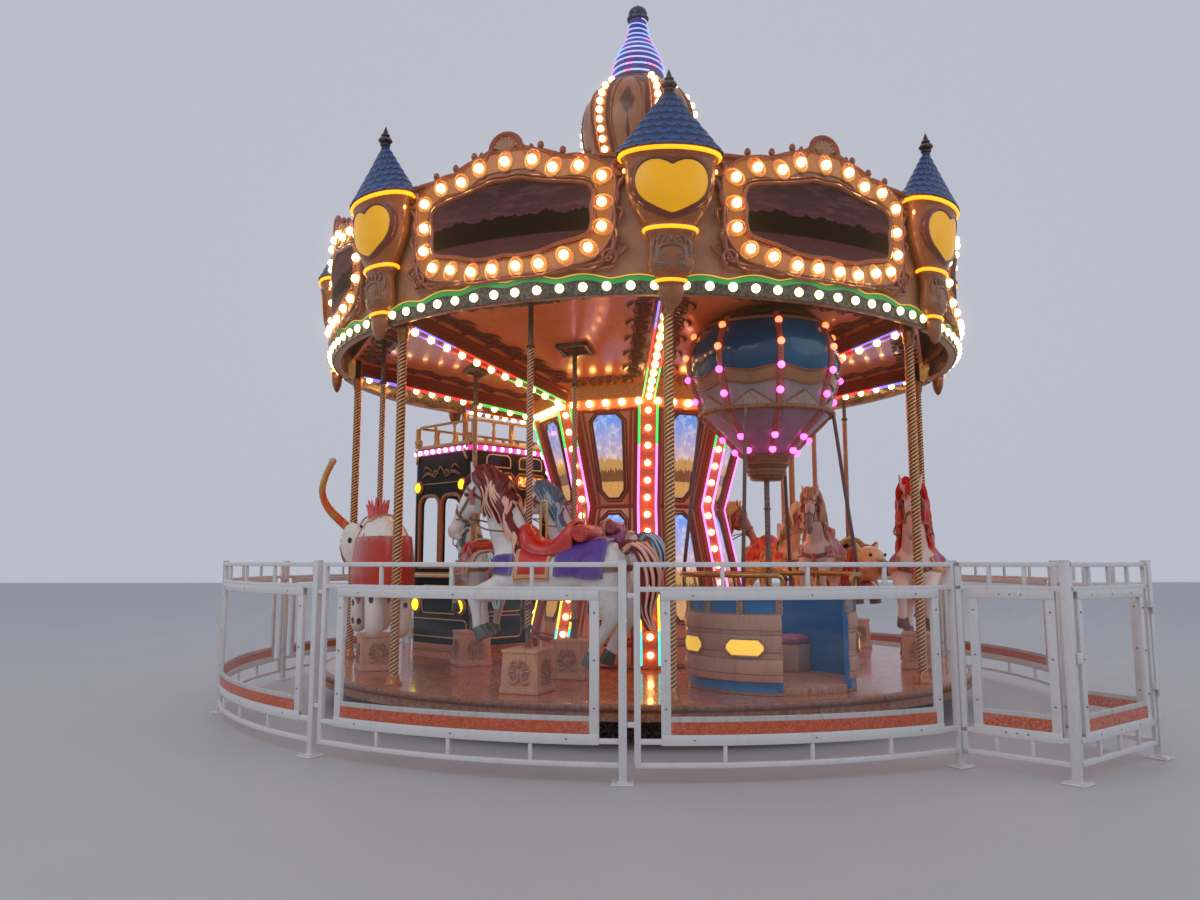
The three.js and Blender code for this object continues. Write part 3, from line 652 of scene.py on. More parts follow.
def charted(obj, chart):
    """Gives a mesh its chart, a UV map from a function of a place and its face's direction."""
    mesh = obj.data
    layer = mesh.uv_layers.get("chart") or mesh.uv_layers.new(name="chart")
    for polygon in mesh.polygons:
        for loop in polygon.loop_indices:
            layer.data[loop].uv = chart(mesh.vertices[mesh.loops[loop].vertex_index].co, polygon)
    return obj


def led(name, colour, strength, wire=None):
    """Softly lit tube or panel; its light wavers a little along it."""
    if name in MATERIALS:
        return MATERIALS[name]
    material, net, shader = new_material(name)
    base = wire(net) if wire else paint(colour)
    waver = net.noise(net.place(), 3.0, 2.0)
    lit = net.add("ShaderNodeHueSaturation",
                  {"Value": net.math("MULTIPLY_ADD", waver, 0.5, 0.75), "Color": base})
    net.put(shader.inputs["Base Color"], lit)
    net.put(shader.inputs["Emission Color"], lit)
    net.put(shader.inputs["Roughness"], net.math("MULTIPLY_ADD", waver, 0.2, 0.2))
    shader.inputs["Emission Strength"].default_value = strength
    return material


PICTURES = {
    "dusk": ["7a444c", "33242e", "8e5e5c", "0c0809", "030203"],
    "day": ["f0b868", "3a88e0", "f4ece0", "b08a50", "6a4426"],
}


def picture_finish(name, kind, horizon=0.26, shine=0.0, roughness=0.12, gloss=0.8, specular=0.3):
    """Glossy panel with a generic landscape on its chart."""
    if name in MATERIALS:
        return MATERIALS[name]
    low, high, cloud, far, near = [paint(code) for code in PICTURES[kind]]

    def view(net):
        colours = {"Chart": net.chart(), "Horizon": horizon, "Low Sky": low, "High Sky": high, "Cloud": cloud,
                   "Far Hill": far, "Near Hill": near}
        colour, = grouped(net, "landscape", colours, ("Colour",))
        return colour, None

    return coat(name, "000000", roughness, gloss=gloss, scale=3, variation=0.2, grime=0.15, edge=0.0, bump=0.05,
                pattern=view, change=0.08, glow="self" if shine else None, glow_strength=shine,
                specular=specular)


def dress(node, material):
    """Gives a construction node that stays in view its finish."""
    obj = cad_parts[node]
    if not obj.material_slots:
        obj.data.materials.append(material)
    for entry in obj.material_slots:
        entry.link = "OBJECT"
        entry.material = material


# Rounding boards

FRAME_EDGE = [
    (0, 4.200), (0.09, 4.172), (0.135, 4.11), (0.20, 4.085), (0.30, 4.05), (0.42, 4.0), (0.55, 3.985),
    (0.66, 3.985), (0.78, 3.985), (0.86, 3.945), (0.885, 3.88), (0.86, 3.80), (0.81, 3.72), (0.785, 3.62),
    (0.775, 3.50), (0.785, 3.42), (0.79, 3.33), (0.76, 3.25), (0.68, 3.185), (0.5, 3.165), (0.3, 3.15),
    (0.1, 3.145), (0, 3.14),
]
PICTURE_EDGE = [
    (0, 3.86), (0.1, 3.865), (0.2, 3.84), (0.35, 3.81), (0.5, 3.79), (0.6, 3.76), (0.635, 3.68), (0.62, 3.6),
    (0.625, 3.5), (0.60, 3.42), (0.52, 3.385), (0.4, 3.36), (0.25, 3.315), (0.1, 3.305), (0, 3.315),
]
FRAME_LAMPS = [
    (0, 3.995), (0.205, 3.98), (0.352, 3.905), (0.537, 3.90), (0.692, 3.815), (0.692, 3.63), (0.692, 3.457),
    (0.6, 3.313), (0.435, 3.27), (0.258, 3.225), (0.09, 3.225),
]
BOARD_HALF = HALF_BAY * BOARD_INNER - 0.0003


def mirrored(half):
    """Whole closed outline from its right half; places on the middle line aren't doubled."""
    return list(half) + [(-u, z) for u, z in reversed(half) if u > 1e-6]


def smooth_loop(half, steps=5):
    return [(p.x, p.z) for p in curve_points([(u, 0, z) for u, z in mirrored(half)], steps, closed=True)]


def offset_loop(loop, distance):
    """Moves a closed outline outward by a distance, or inward where that is negative."""
    made = []
    count = len(loop)
    turn = sum(loop[i][0] * loop[(i + 1) % count][1] - loop[(i + 1) % count][0] * loop[i][1]
               for i in range(count))
    for i in range(count):
        before, after = loop[i - 1], loop[(i + 1) % count]
        along = Vector((after[0] - before[0], after[1] - before[1])).normalized()
        out = Vector((along.y, -along.x)) * (1 if turn > 0 else -1)
        made.append((loop[i][0] + out.x * distance, loop[i][1] + out.y * distance))
    return made


def band_plate(outer, inner, thickness, bevel=0.0):
    """Flat ring between two outlines with the same number of places."""
    points = [(u, 0, z) for u, z in list(outer) + list(inner)]
    obj = extruded(from_points(points, faces=loop_faces(len(outer))), (0, -thickness, 0))
    return rounded(obj, bevel, 1) if bevel else obj


def lamp_row(radii, places, segments=12, rings=8):
    """A round lamp at each place."""
    return copied(ball((0, 0, 0), radii, segments, rings), [shift(*place) for place in places])


def loop_tube(loop, radius, out, sides=8):
    return tube([(u, -out, z) for u, z in loop], radius, closed=True, sides=sides)


def scroll(centre, radius, turns, start, out, thickness, flip=1, sides=7):
    """Flat spiral of carved roll, thinning towards its eye."""
    steps = int(14 * turns)
    points, radii = [], []
    for i in range(steps + 1):
        share = i / steps
        reach = radius * (1 - 0.80 * share)
        angle = math.radians(start + flip * 360 * turns * share)
        points.append((centre[0] + reach * math.cos(angle), -out - 0.006 * share,
                       centre[1] + reach * math.sin(angle)))
        radii.append(1 - 0.45 * share)
    return tube(points, thickness, sides=sides, radii=radii)


def leaf(start, bend, end, out, thickness, sides=6):
    """Carved leaf: a curved roll, thick in the middle and thin at its ends."""
    path = curve_points([(start[0], -out, start[1]), (bend[0], -out - 0.008, bend[1]), (end[0], -out, end[1])],
                        5)
    count = len(path) - 1
    return tube(path, thickness, sides=sides,
                radii=[0.25 + 0.75 * math.sin(math.pi * i / count) for i in range(count + 1)])


def both_sides(obj):
    """Joins an upright flat shape with its mirror image about the middle line."""
    return outward(joined([obj, moved(twin_of(obj), Matrix.Scale(-1, 4, (1, 0, 0)))]))


def board_frame():
    """Carved border round the picture: back plate, rolls, scrolls, leaves and top balls."""
    edge = smooth_loop(FRAME_EDGE)
    back = plate(offset_loop(edge, -0.006), 0.030, 0.006)
    lamps = smooth_loop(FRAME_LAMPS, 6)
    rolls = [
        loop_tube(offset_loop(edge, -0.018), 0.020, 0.030),
        loop_tube(offset_loop(lamps, 0.083), 0.013, 0.040),
        loop_tube(smooth_loop(PICTURE_EDGE), 0.017, 0.040),
        loop_tube(offset_loop(smooth_loop(PICTURE_EDGE), 0.030), 0.008, 0.040, 6),
    ]
    side = [
        scroll((0.815, 3.885), 0.085, 1.6, 110, 0.040, 0.021, -1),
        scroll((0.735, 3.245), 0.060, 1.5, -60, 0.038, 0.016, 1),
        scroll((0.165, 4.060), 0.045, 1.2, 60, 0.036, 0.013, -1),
        leaf((0.78, 3.76), (0.80, 3.66), (0.76, 3.58), 0.036, 0.020),
        leaf((0.775, 3.60), (0.835, 3.56), (0.80, 3.48), 0.034, 0.015),
        leaf((0.77, 3.46), (0.80, 3.40), (0.775, 3.33), 0.036, 0.018),
        leaf((0.79, 3.36), (0.86, 3.32), (0.80, 3.24), 0.030, 0.015),
        leaf((0.70, 3.20), (0.60, 3.155), (0.47, 3.185), 0.034, 0.016),
        leaf((0.80, 3.23), (0.76, 3.17), (0.66, 3.165), 0.030, 0.014),
        leaf((0.48, 3.175), (0.38, 3.150), (0.27, 3.175), 0.034, 0.013),
        leaf((0.66, 3.97), (0.55, 3.975), (0.45, 3.995), 0.036, 0.015),
        leaf((0.42, 4.00), (0.34, 4.02), (0.26, 4.06), 0.036, 0.014),
        ball((0.26, -0.030, 4.088), (0.024, 0.022, 0.030), 10, 7),
        ball((0.42, -0.030, 4.032), (0.024, 0.022, 0.030), 10, 7),
        ball((0.60, -0.030, 4.012), (0.024, 0.022, 0.030), 10, 7),
    ]
    rim = [(0.112 * math.cos(math.radians(a)), -0.040, 4.095 + 0.105 * math.sin(math.radians(a)))
           for a in range(-10, 191, 10)]
    return joined([back, *rolls, both_sides(joined(side)), tube(rim, 0.022, sides=8)])


def board_shell():
    """Fluted shell in the crest."""
    ribs = []
    for i in range(9):
        angle = math.radians(18 + i * 18)
        end = (0.092 * math.cos(angle), -0.034, 4.095 + 0.088 * math.sin(angle))
        ribs.append(bar((0, -0.034, 4.075), end, 0.006, 0.017, 8))
    ribs.append(ball((0, -0.036, 4.072), (0.026, 0.022, 0.022), 12, 8))
    return joined(ribs)


def board_channel():
    """Lit channel that carries the lamps round the picture."""
    lamps = smooth_loop(FRAME_LAMPS, 6)
    ring_plate = band_plate(offset_loop(lamps, 0.078), offset_loop(lamps, -0.062), 0.012, 0.003)
    return moved(ring_plate, shift(0, -0.0295, 0))


def board_cups():
    """Petal cup round each lamp of the frame."""
    spots = mirrored(FRAME_LAMPS)
    clear()
    bpy.ops.mesh.primitive_torus_add(major_radius=0.060, minor_radius=0.0075, major_segments=18,
                                     minor_segments=6, rotation=(math.pi / 2, 0, 0))
    cup = settle(bpy.context.object)
    middle = (0, 3.6)
    placed = []
    for u, z in spots:
        out = math.degrees(math.atan2(z - middle[1], (u - middle[0]) * 0.55))
        stretch = Matrix.Diagonal((1.22, 1, 0.92, 1))
        placed.append(shift(u, -0.044, z) @ Matrix.Rotation(-math.radians(out), 4, "Y") @ shift(0.006, 0, 0)
                      @ stretch)
    return copied(cup, placed)


def board_lamps():
    return lamp_row(0.032, [(u, -0.056, z) for u, z in mirrored(FRAME_LAMPS)])


def board_picture():
    """Glossy picture panel with a chart from its corners."""
    obj = plate(smooth_loop(PICTURE_EDGE), 0.008)
    moved(obj, shift(0, -0.0295, 0))
    return charted(obj, lambda co, face: ((co.x + 0.64) / 1.28, (co.z - 3.30) / 0.56))


WAVES = 6


def valance_wave(u):
    """Height of the valance's wavy top edge."""
    share = (u + BOARD_HALF) / (2 * BOARD_HALF) * WAVES
    swing = share - math.floor(share)
    crest = math.sin(math.pi * swing) ** 1.4
    return 3.108 + 0.030 * crest + 0.018 * math.cos(math.pi * u / BOARD_HALF)


def valance_places(count=72):
    return [-BOARD_HALF + 2 * BOARD_HALF * i / count for i in range(count + 1)]


def valance_band():
    places = valance_places()
    outline = [(u, 2.990) for u in (-BOARD_HALF, BOARD_HALF)]
    outline += [(u, valance_wave(u)) for u in reversed(places)]
    return plate(outline, 0.014, 0.003)


def valance_glow():
    """Lit strip below the wavy edge."""
    places = valance_places()
    low = [(u, valance_wave(u) - 0.040) for u in places]
    high = [(u, valance_wave(u) - 0.006) for u in places]
    obj = plate(low + list(reversed(high)), 0.006)
    return moved(obj, shift(0, -0.0135, 0))


def valance_line():
    return tube([(u, -0.012, valance_wave(u) + 0.004) for u in valance_places()], chosen("valance_line_radius"),
                sides=6)


def valance_lamps():
    """Lamps of the valance, and the cups that they stand in."""
    count, height = 14, 3.043
    spots = [-BOARD_HALF + 2 * BOARD_HALF * (i + 0.5) / count for i in range(count)]
    cup = bar((0, 0.022, 0), (0, -0.002, 0), 0.036, 0.033)
    return (lamp_row((0.031, 0.026, 0.031), [(u, -0.034, height) for u in spots]),
            copied(cup, [shift(u, -0.024, height) for u in spots]))


def fascia_back():
    """Inner side of the boards, with a scalloped lower edge."""
    count = 60
    places = [-BOARD_HALF + 2 * BOARD_HALF * i / count for i in range(count + 1)]
    low = [(u, 2.992 + 0.026 * abs(math.sin(math.pi * 5 * (u + BOARD_HALF) / (2 * BOARD_HALF))))
           for u in places]
    return plate(low + [(BOARD_HALF, 3.170), (-BOARD_HALF, 3.170)], 0.006)


def board_body():
    """One curved rounding board."""
    obj = plate([(-BOARD_HALF, BOARD_BOTTOM), (BOARD_HALF, BOARD_BOTTOM), (BOARD_HALF, BOARD_TOP),
                 (-BOARD_HALF, BOARD_TOP)],
                0.056)
    moved(obj, shift(0, 0.056, 0))
    bisected(obj, [0], axis=2)
    obj = bent(obj, BOARD_OUTER, 23)
    return rounded(obj, 0.005, 2)


def build_boards():
    angles = BAY_MIDDLES
    tan = coat("board_coat", chosen("board_colour"), 0.32, gloss=0.25, scale=1.4, variation=0.22, grime=0.35,
               grime_colour="5b3520", edge=0.25)
    trim = coat("carved_trim", "8a3f22", 0.26, gloss=0.5, scale=5.0, variation=0.4, grime=0.5,
                grime_colour="2c0f0b", edge=0.5, edge_colour="b5705a", bump=0.3)
    for number, obj in enumerate(turned_copies(board_body(), angles), 1):
        piece(obj, f"rounding_board_panel_{number}", tan, "canopy_tan", replaces=[f"rounding_board_{number}"])
    groups = [
        (board_frame, "board_frames", trim, "picture_gloss", 22),
        (board_shell, "board_crest_shells", coat("shell_coat", "a86a44", 0.3, gloss=0.4, scale=8, grime=0.5),
         "canopy_tan", 0),
        # Painted lamp light: the lamp channels and the cups round the lamps glow, though they are no lamps
        (board_channel, "board_lamp_channels",
         coat("lit_channel", "8c4c18", 0.3, gloss=0.2, scale=9, variation=0.35, grime=0.4,
              grime_colour="5a2c10", glow="d07c24", glow_strength=0.22), "trim_peach", 22),
        (board_cups, "board_lamp_cups",
         coat("cup_coat", "a06a34", 0.3, gloss=0.3, scale=12, grime=0.4, grime_colour="4a2410", glow="c87c28",
              glow_strength=0.25), "trim_peach", 0),
        (board_lamps, "board_lamps", LAMPS["warm"], "lamp_warm", 0),
        (board_picture, "board_pictures",
         picture_finish("evening_picture", "dusk", 0.36, roughness=0.5, gloss=0.0, specular=0.05),
         "picture_gloss", 20),
        (valance_band, "valance_bands",
         coat("slate_coat", "26363a", 0.35, gloss=0.1, scale=3, grime=0.3, specular=0.15), "navy_gloss", 22),
        (valance_glow, "valance_glow_strips", led("led_valance_green", "18803c", 0.6), "led_green", 22),
        (valance_line, "valance_edge_lines", led("led_valance_line", "e0a840", 0.9), "led_yellow", 0),
    ]
    for make, name, material, slot, lines in groups:
        obj = bent(make(), BOARD_OUTER, lines)
        piece(spread(obj, angles), name, material, slot)
    lamps, cups = valance_lamps()
    piece(spread(bent(lamps, BOARD_OUTER), angles), "valance_lamps", LAMPS["white"], "lamp_warm")
    piece(spread(bent(cups, BOARD_OUTER), angles), "valance_lamp_cups",
          coat("lamp_cup_grey", "8d8780", 0.35, metallic=0.6, scale=9), "frame_steel")
    back = bent(fascia_back(), BOARD_INNER - 0.001, 22)
    for_inside = spread(back, angles)
    piece(for_inside, "fascia_inner_bands", coat("navy_coat", "161c3c", 0.25, gloss=0.5, scale=3, grime=0.2),
          "navy_gloss")


# Turrets

TURRET_ROWS = 9
TURRET_SCALES = 18
NECK_RADIUS = 0.152
# A turret is turned round an upright line, flattened against the boards and set at plan angle 0
TURRET_PLACE = (
    shift(0, -TURRET_BACK, 0) @ Matrix.Diagonal((1, TURRET_DEPTH, 1, 1)) @ shift(0, -TURRET_BEHIND, 0))


def turret_cup():
    """Pendant, carved neck and flared drum of a turret, before its place."""
    return spun([
        (0, 2.858), (0.020, 2.862), (0.046, 2.886), (0.072, 2.925), (0.086, 2.970), (0.088, 3.005),
        (0.084, 3.024), (0.094, 3.034), (0.098, 3.042), (0.098, 3.068), (0.092, 3.076), (0.104, 3.088),
        (0.128, 3.104), (0.150, 3.128), (0.160, 3.155), (0.159, 3.20), (0.150, 3.26), (0.146, 3.32),
        (0.150, 3.350), (0.166, 3.372), (0.174, 3.388), (0.174, 3.424), (0.170, 3.432), (0.186, 3.450),
        (0.210, 3.490), (0.243, 3.545), (0.272, 3.600), (0.292, 3.660), (0.301, 3.720), (0.306, 3.780),
        (0.310, 3.840), (0.314, 3.865), (0.320, 3.882), (0.330, 3.893), (0.336, 3.904), (0.336, 3.930),
        (0.342, 3.938), (0.342, 3.948), (0.30, 3.955), (0, 3.955),
    ], 48)


def neck_carving():
    """Arched bracket with curled ends below a row of leaves, on a turret's neck."""
    arch = [(-0.088, 3.185), (-0.086, 3.235), (-0.064, 3.276), (0, 3.290), (0.064, 3.276), (0.086, 3.235),
            (0.088, 3.185)]
    half = [
        scroll((0.058, 3.205), 0.031, 1.4, 10, 0.002, 0.010, -1),
        leaf((0.100, 3.170), (0.052, 3.150), (0.0, 3.178), 0.0, 0.013),
        leaf((0.118, 3.335), (0.138, 3.270), (0.128, 3.190), 0.0, 0.014),
        leaf((0.034, 3.345), (0.050, 3.325), (0.044, 3.298), 0.0, 0.010),
        leaf((0.072, 3.350), (0.094, 3.320), (0.086, 3.288), 0.0, 0.012),
        leaf((0.105, 3.345), (0.075, 3.352), (0.050, 3.340), 0.0, 0.009),
    ]
    made = joined([
        tube(curve_points([(u, -0.004, z) for u, z in arch], 4), 0.0105, sides=7),
        leaf((0, 3.348), (0, 3.325), (0, 3.304), 0.0, 0.011),
        both_sides(joined(half)),
    ])
    return bent(made, NECK_RADIUS)


# Radius and height of the drum where the heart lies on it
DRUM_LINE = [(0.172, 3.432), (0.210, 3.49), (0.243, 3.545), (0.272, 3.60), (0.292, 3.66), (0.301, 3.72),
             (0.306, 3.78), (0.310, 3.84)]
HEART = [
    (0, 3.808), (0.035, 3.826), (0.095, 3.844), (0.160, 3.840), (0.215, 3.808), (0.245, 3.755), (0.248, 3.695),
    (0.228, 3.630), (0.186, 3.578), (0.132, 3.542), (0.075, 3.512), (0.030, 3.494), (0, 3.487),
]


def on_drum(obj, lift):
    """Lays an upright flat shape on the drum's outer face."""
    def place(co):
        reach = radius_at(DRUM_LINE, co.z) + lift - co.y
        return polar(math.degrees(math.asin(max(-0.98, min(0.98, co.x / reach)))), reach, co.z)

    return reshaped(obj, place)


def heart_panel():
    obj = plate(smooth_loop(HEART, 4), 0.010)
    bisected(obj, [-0.23 + 0.46 * i / 16 for i in range(17)])
    bisected(obj, [3.50 + 0.03 * i for i in range(12)], axis=2)
    return on_drum(obj, -0.002)


def heart_border():
    loop = smooth_loop(HEART, 4)
    rolls = [loop_tube(offset_loop(loop, 0.010), 0.017, 0.004, 9),
             loop_tube(offset_loop(loop, 0.030), 0.010, -0.004, 7)]
    return on_drum(joined(rolls), 0.0)


def scaled_cone():
    """Rows of scales over the turret's slightly bell-shaped cone."""
    profile = [(0.368, 3.945), (0.333, 3.985), (0.286, 4.045), (0.240, 4.105), (0.195, 4.165), (0.150, 4.225),
               (0.107, 4.285), (0.068, 4.338), (0.038, 4.378), (0.024, 4.398)]
    rows = []
    for row in range(TURRET_ROWS):
        (low_r, low_z), (high_r, high_z) = profile[row], profile[row + 1]
        clear()
        bpy.ops.mesh.primitive_cone_add(vertices=TURRET_SCALES * 6, radius1=1, radius2=1, depth=2,
                                        end_fill_type="NOTHING")
        obj = bpy.context.object
        in_edit(obj, lambda: bpy.ops.mesh.subdivide(number_cuts=1))
        half_turn = 0.5 * (row % 2)
        phases = []
        for vertex in obj.data.vertices:
            share = plan_angle(vertex.co) / 360 * TURRET_SCALES + half_turn
            inside = share - math.floor(share)
            droop = math.sin(math.pi * inside) ** 0.7
            level = (vertex.co.z + 1) / 2
            drop = (high_z - low_z) * (0.42 * droop - 0.12)
            z = (low_z - drop) * (1 - level) + (high_z + 0.012) * level
            reach = low_r + (high_r - low_r) * (z - low_z) / (high_z - low_z)
            reach += 0.010 * (1 - level) * (0.55 + 0.45 * droop)
            flat = Vector((vertex.co.x, vertex.co.y, 0)).normalized() * min(reach, 0.372)
            vertex.co = (flat.x, flat.y, max(z, 3.94))
            phases.append((inside, level))
        layer = obj.data.uv_layers.new(name="chart")
        for loop in obj.data.loops:
            layer.data[loop.index].uv = phases[loop.vertex_index]
        modified(obj, "SOLIDIFY", thickness=0.005, offset=-1)
        rows.append(obj)
    return joined(rows)


def scale_colours(net):
    """Lighter lower tips; shade where the next row lies over a scale and between neighbours."""
    _, up, _ = net.parts(net.chart())
    # Each scale darkens from its lower tip towards its top: painted shade where the next row lies over it
    return net.mix(net.steps(up, 0.10, 0.55), paint("25508c"), paint("0a1830")), None


def turret_core():
    """Cone below the scales."""
    return spun([(0, 3.944), (0.350, 3.944), (0.350, 3.950), (0.265, 4.045), (0.175, 4.165), (0.088, 4.290),
                 (0.022, 4.385), (0, 4.390)], 24)


def turret_spike():
    """Turned spike on top of the cone, as deep as wide."""
    spike = spun([
        (0, 4.380), (0.030, 4.380), (0.026, 4.392), (0.038, 4.400), (0.040, 4.410), (0.028, 4.418),
        (0.044, 4.427), (0.055, 4.440), (0.051, 4.455), (0.032, 4.464), (0.026, 4.472), (0.034, 4.481),
        (0.034, 4.489), (0.023, 4.496), (0.019, 4.512), (0.010, 4.538), (0.004, 4.556), (0, 4.560),
    ], 24)
    return moved(spike, shift(0, -TURRET_BACK - TURRET_BEHIND * TURRET_DEPTH, 0))


def turret_rings():
    """Lit rings round the flattened turret; their ends run into the boards behind it."""
    made = []
    for height, reach, thickness, end in ((3.917, 0.341, 0.0155, 112), (3.406, 0.178, 0.0140, 125),
                                          (3.055, 0.101, 0.0125, 150)):
        path = [TURRET_PLACE @ Vector(polar(end * i / 24, reach, height)) for i in range(-24, 25)]
        made.append(tube(path, thickness, sides=8))
    return joined(made)


def turret_studs():
    """Small lamps on the drum's sides beside the heart."""
    height = 3.815
    spots = [polar(angle, radius_at(DRUM_LINE, height) + 0.006, height) for angle in (-84, 84)]
    return lamp_row((0.012, 0.020, 0.018), spots, 8, 6)


def build_turrets():
    body = coat("turret_coat", chosen("turret_colour"), 0.26, gloss=0.4, scale=3.0, variation=0.3, grime=0.45,
                grime_colour="4a2717", edge=0.4)
    for number, obj in enumerate(turned_copies(moved(turret_cup(), TURRET_PLACE), CORNERS), 1):
        piece(obj, f"turret_body_{number}", body, "canopy_tan", replaces=[f"turret_{number}"], smooth=50)
    blue = coat("scale_coat", "1f4676", 0.36, gloss=0.08, scale=5.0, variation=0.5, grime=0.3,
                grime_colour="0f2040", pattern=scale_colours,
                edge=0.45, edge_colour="5f8cb8", bump=0.25)
    dark = coat("turret_spike_coat", "332634", 0.25, metallic=0.3, gloss=0.4, scale=9, grime=0.3)
    heart = led("heart_panel_glow", "e0a000", 0.42)
    border = coat("heart_border_coat", "6a2c18", 0.25, gloss=0.5, scale=6, grime=0.4, edge=0.4,
                  edge_colour="a0583a")
    groups = [
        (neck_carving, "turret_neck_carvings",
         coat("neck_carving_coat", "6a3c26", 0.3, gloss=0.3, scale=10, grime=0.6), "canopy_tan"),
        (heart_panel, "turret_heart_panels", heart, "heart_yellow"),
        (heart_border, "turret_heart_borders", border, "picture_gloss"),
        (scaled_cone, "turret_scales", blue, "scale_blue"),
        (turret_core, "turret_cone_cores", dark, "navy_gloss"),
        (turret_studs, "turret_side_lamps", led("side_lamp_glow", "ffc070", 2.5), "lamp_warm"),
    ]
    for make, name, material, slot in groups:
        piece(spread(moved(make(), TURRET_PLACE), CORNERS), name, material, slot, smooth=50)
    piece(spread(turret_spike(), CORNERS), "turret_spikes", dark, "navy_gloss", smooth=50)
    piece(spread(turret_rings(), CORNERS), "turret_lit_rings", led("led_ring_yellow", "f59a10", 1.9),
          "led_yellow", smooth=50)


# Roof, dome, spire and finial

DOME_RIBS = 6
DOME_START = 15.0
DOME_ANGLES = [DOME_START + 360 / DOME_RIBS * k for k in range(DOME_RIBS)]
DOME_PROFILE = [
    (0.500, 4.882), (0.470, 4.95), (0.452, 5.03), (0.456, 5.10), (0.478, 5.18), (0.512, 5.28), (0.545, 5.38),
    (0.568, 5.48), (0.577, 5.58), (0.572, 5.68), (0.552, 5.78), (0.515, 5.87), (0.458, 5.945), (0.390, 6.005),
    (0.325, 6.045), (0.288, 6.062),
]
DOME_TOP = 6.078


def dome_path(share, angle, lift=0.0):
    """Place on the dome at a share of its height and a plan angle."""
    z = 4.90 + (6.055 - 4.90) * share
    return polar(angle, radius_at(DOME_PROFILE, z) + lift, z)


def dome_body():
    obj = spun([(0, 4.8805), (0.500, 4.8805),
                *[(p.x, p.z) for p in curve_points([(r, 0, z) for r, z in DOME_PROFILE], 3)], (0.284, 6.070),
                (0.284, DOME_TOP), (0, DOME_TOP)], 96)

    def chart(co, face):
        middle = plan_angle(face.center)
        off = (plan_angle(co) - middle + 180) % 360 - 180
        return (middle - DOME_START) / 60 % 1 + off / 60, (co.z - 4.88) / 1.2

    return charted(obj, chart)


def dome_trim():
    """Ribs that carry the lamps, panel borders, the wavy foot and the neck mouldings."""
    made = []
    for angle in DOME_ANGLES:
        for side in (-7.0, 7.0):
            path = [dome_path(i / 22, angle + side * (1 + 0.25 * abs(2 * i / 22 - 1)), 0.006)
                    for i in range(23)]
            made.append(tube(path, 0.012, sides=7))
        for side in (-1, 1):
            middle = angle + 30
            path = [dome_path(0.10 + 0.80 * i / 22,
                              middle + side * 17 * math.sin(math.pi * (0.12 + 0.76 * i / 22)) ** 0.6, 0.006)
                              for i in range(23)]
            made.append(tube(path, 0.010, sides=7))
    wave = [polar(a, 0.505 + 0.012 * math.cos(math.radians(12 * a)),
                  4.935 + 0.028 * abs(math.sin(math.radians(3 * a * 2))))
            for a in range(0, 360, 3)]
    made.append(tube(wave, 0.022, closed=True, sides=8))
    made.append(ring((0, 0, 4.905), 0.512, 0.020, 64, 8))
    made.append(ring((0, 0, 6.066), 0.292, 0.014, 48, 8))
    return joined(made)


def dome_lamps():
    places = [dome_path((i + 0.5) / 12, angle, 0.016) for angle in DOME_ANGLES for i in range(12)]
    return lamp_row(0.031, places + [polar(i * 20, 0.530, 4.925) for i in range(18)], 10, 7)


SPIRE_LINE = [(0.268, 6.078), (0.275, 6.16), (0.268, 6.258), (0.256, 6.32), (0.236, 6.38), (0.203, 6.455),
              (0.163, 6.534), (0.130, 6.614), (0.108, 6.693), (0.096, 6.774), (0.094, 6.816)]


def spire_body():
    levels = [DOME_TOP + 0.0005 + (6.8147 - DOME_TOP) * i / 40 for i in range(41)]
    obj = spun([(0, levels[0]), *[(radius_at(SPIRE_LINE, z) - 0.006, z) for z in levels], (0, levels[-1])], 64)
    return charted(obj, lambda co, face: (
        plan_angle(face.center) / 360, (co.z - DOME_TOP) / 0.735))


def spire_coil(turns, start, radius, lift=0.0):
    steps = int(turns * 40)
    points, radii = [], []
    for i in range(steps + 1):
        share = i / steps
        z = 6.128 + (6.800 - 6.128) * share ** 0.95
        points.append(polar(start - 360 * turns * share, radius_at(SPIRE_LINE, z) + lift, z))
        radii.append(1.0 - 0.35 * share)
    return tube(points, radius, sides=7, radii=radii)


def finial_body():
    return spun([
        (0, 6.8155), (0.092, 6.8155), (0.112, 6.828), (0.116, 6.842), (0.108, 6.852), (0.090, 6.858),
        (0.096, 6.872), (0.100, 6.892), (0.098, 6.912), (0.088, 6.934), (0.068, 6.954), (0.044, 6.968),
        (0.026, 6.978), (0.014, 6.992), (0.008, 7.002), (0, 7.010),
    ], 40)


def roof_seams():
    """Battens over the roof's joints."""
    made = []
    for i in range(BAYS):
        for step in (0.0, 15.0, 30.0):
            angle = i * BAY_ANGLE + step
            made.append(bar(polar(angle, 2.820, 3.878), polar(angle, 0.530, 4.884),
                            0.022 if step == 0 else 0.011, sides=8))
    made.append(ring((0, 0, 4.884), 0.545, 0.024, 64, 8))
    return joined(made)


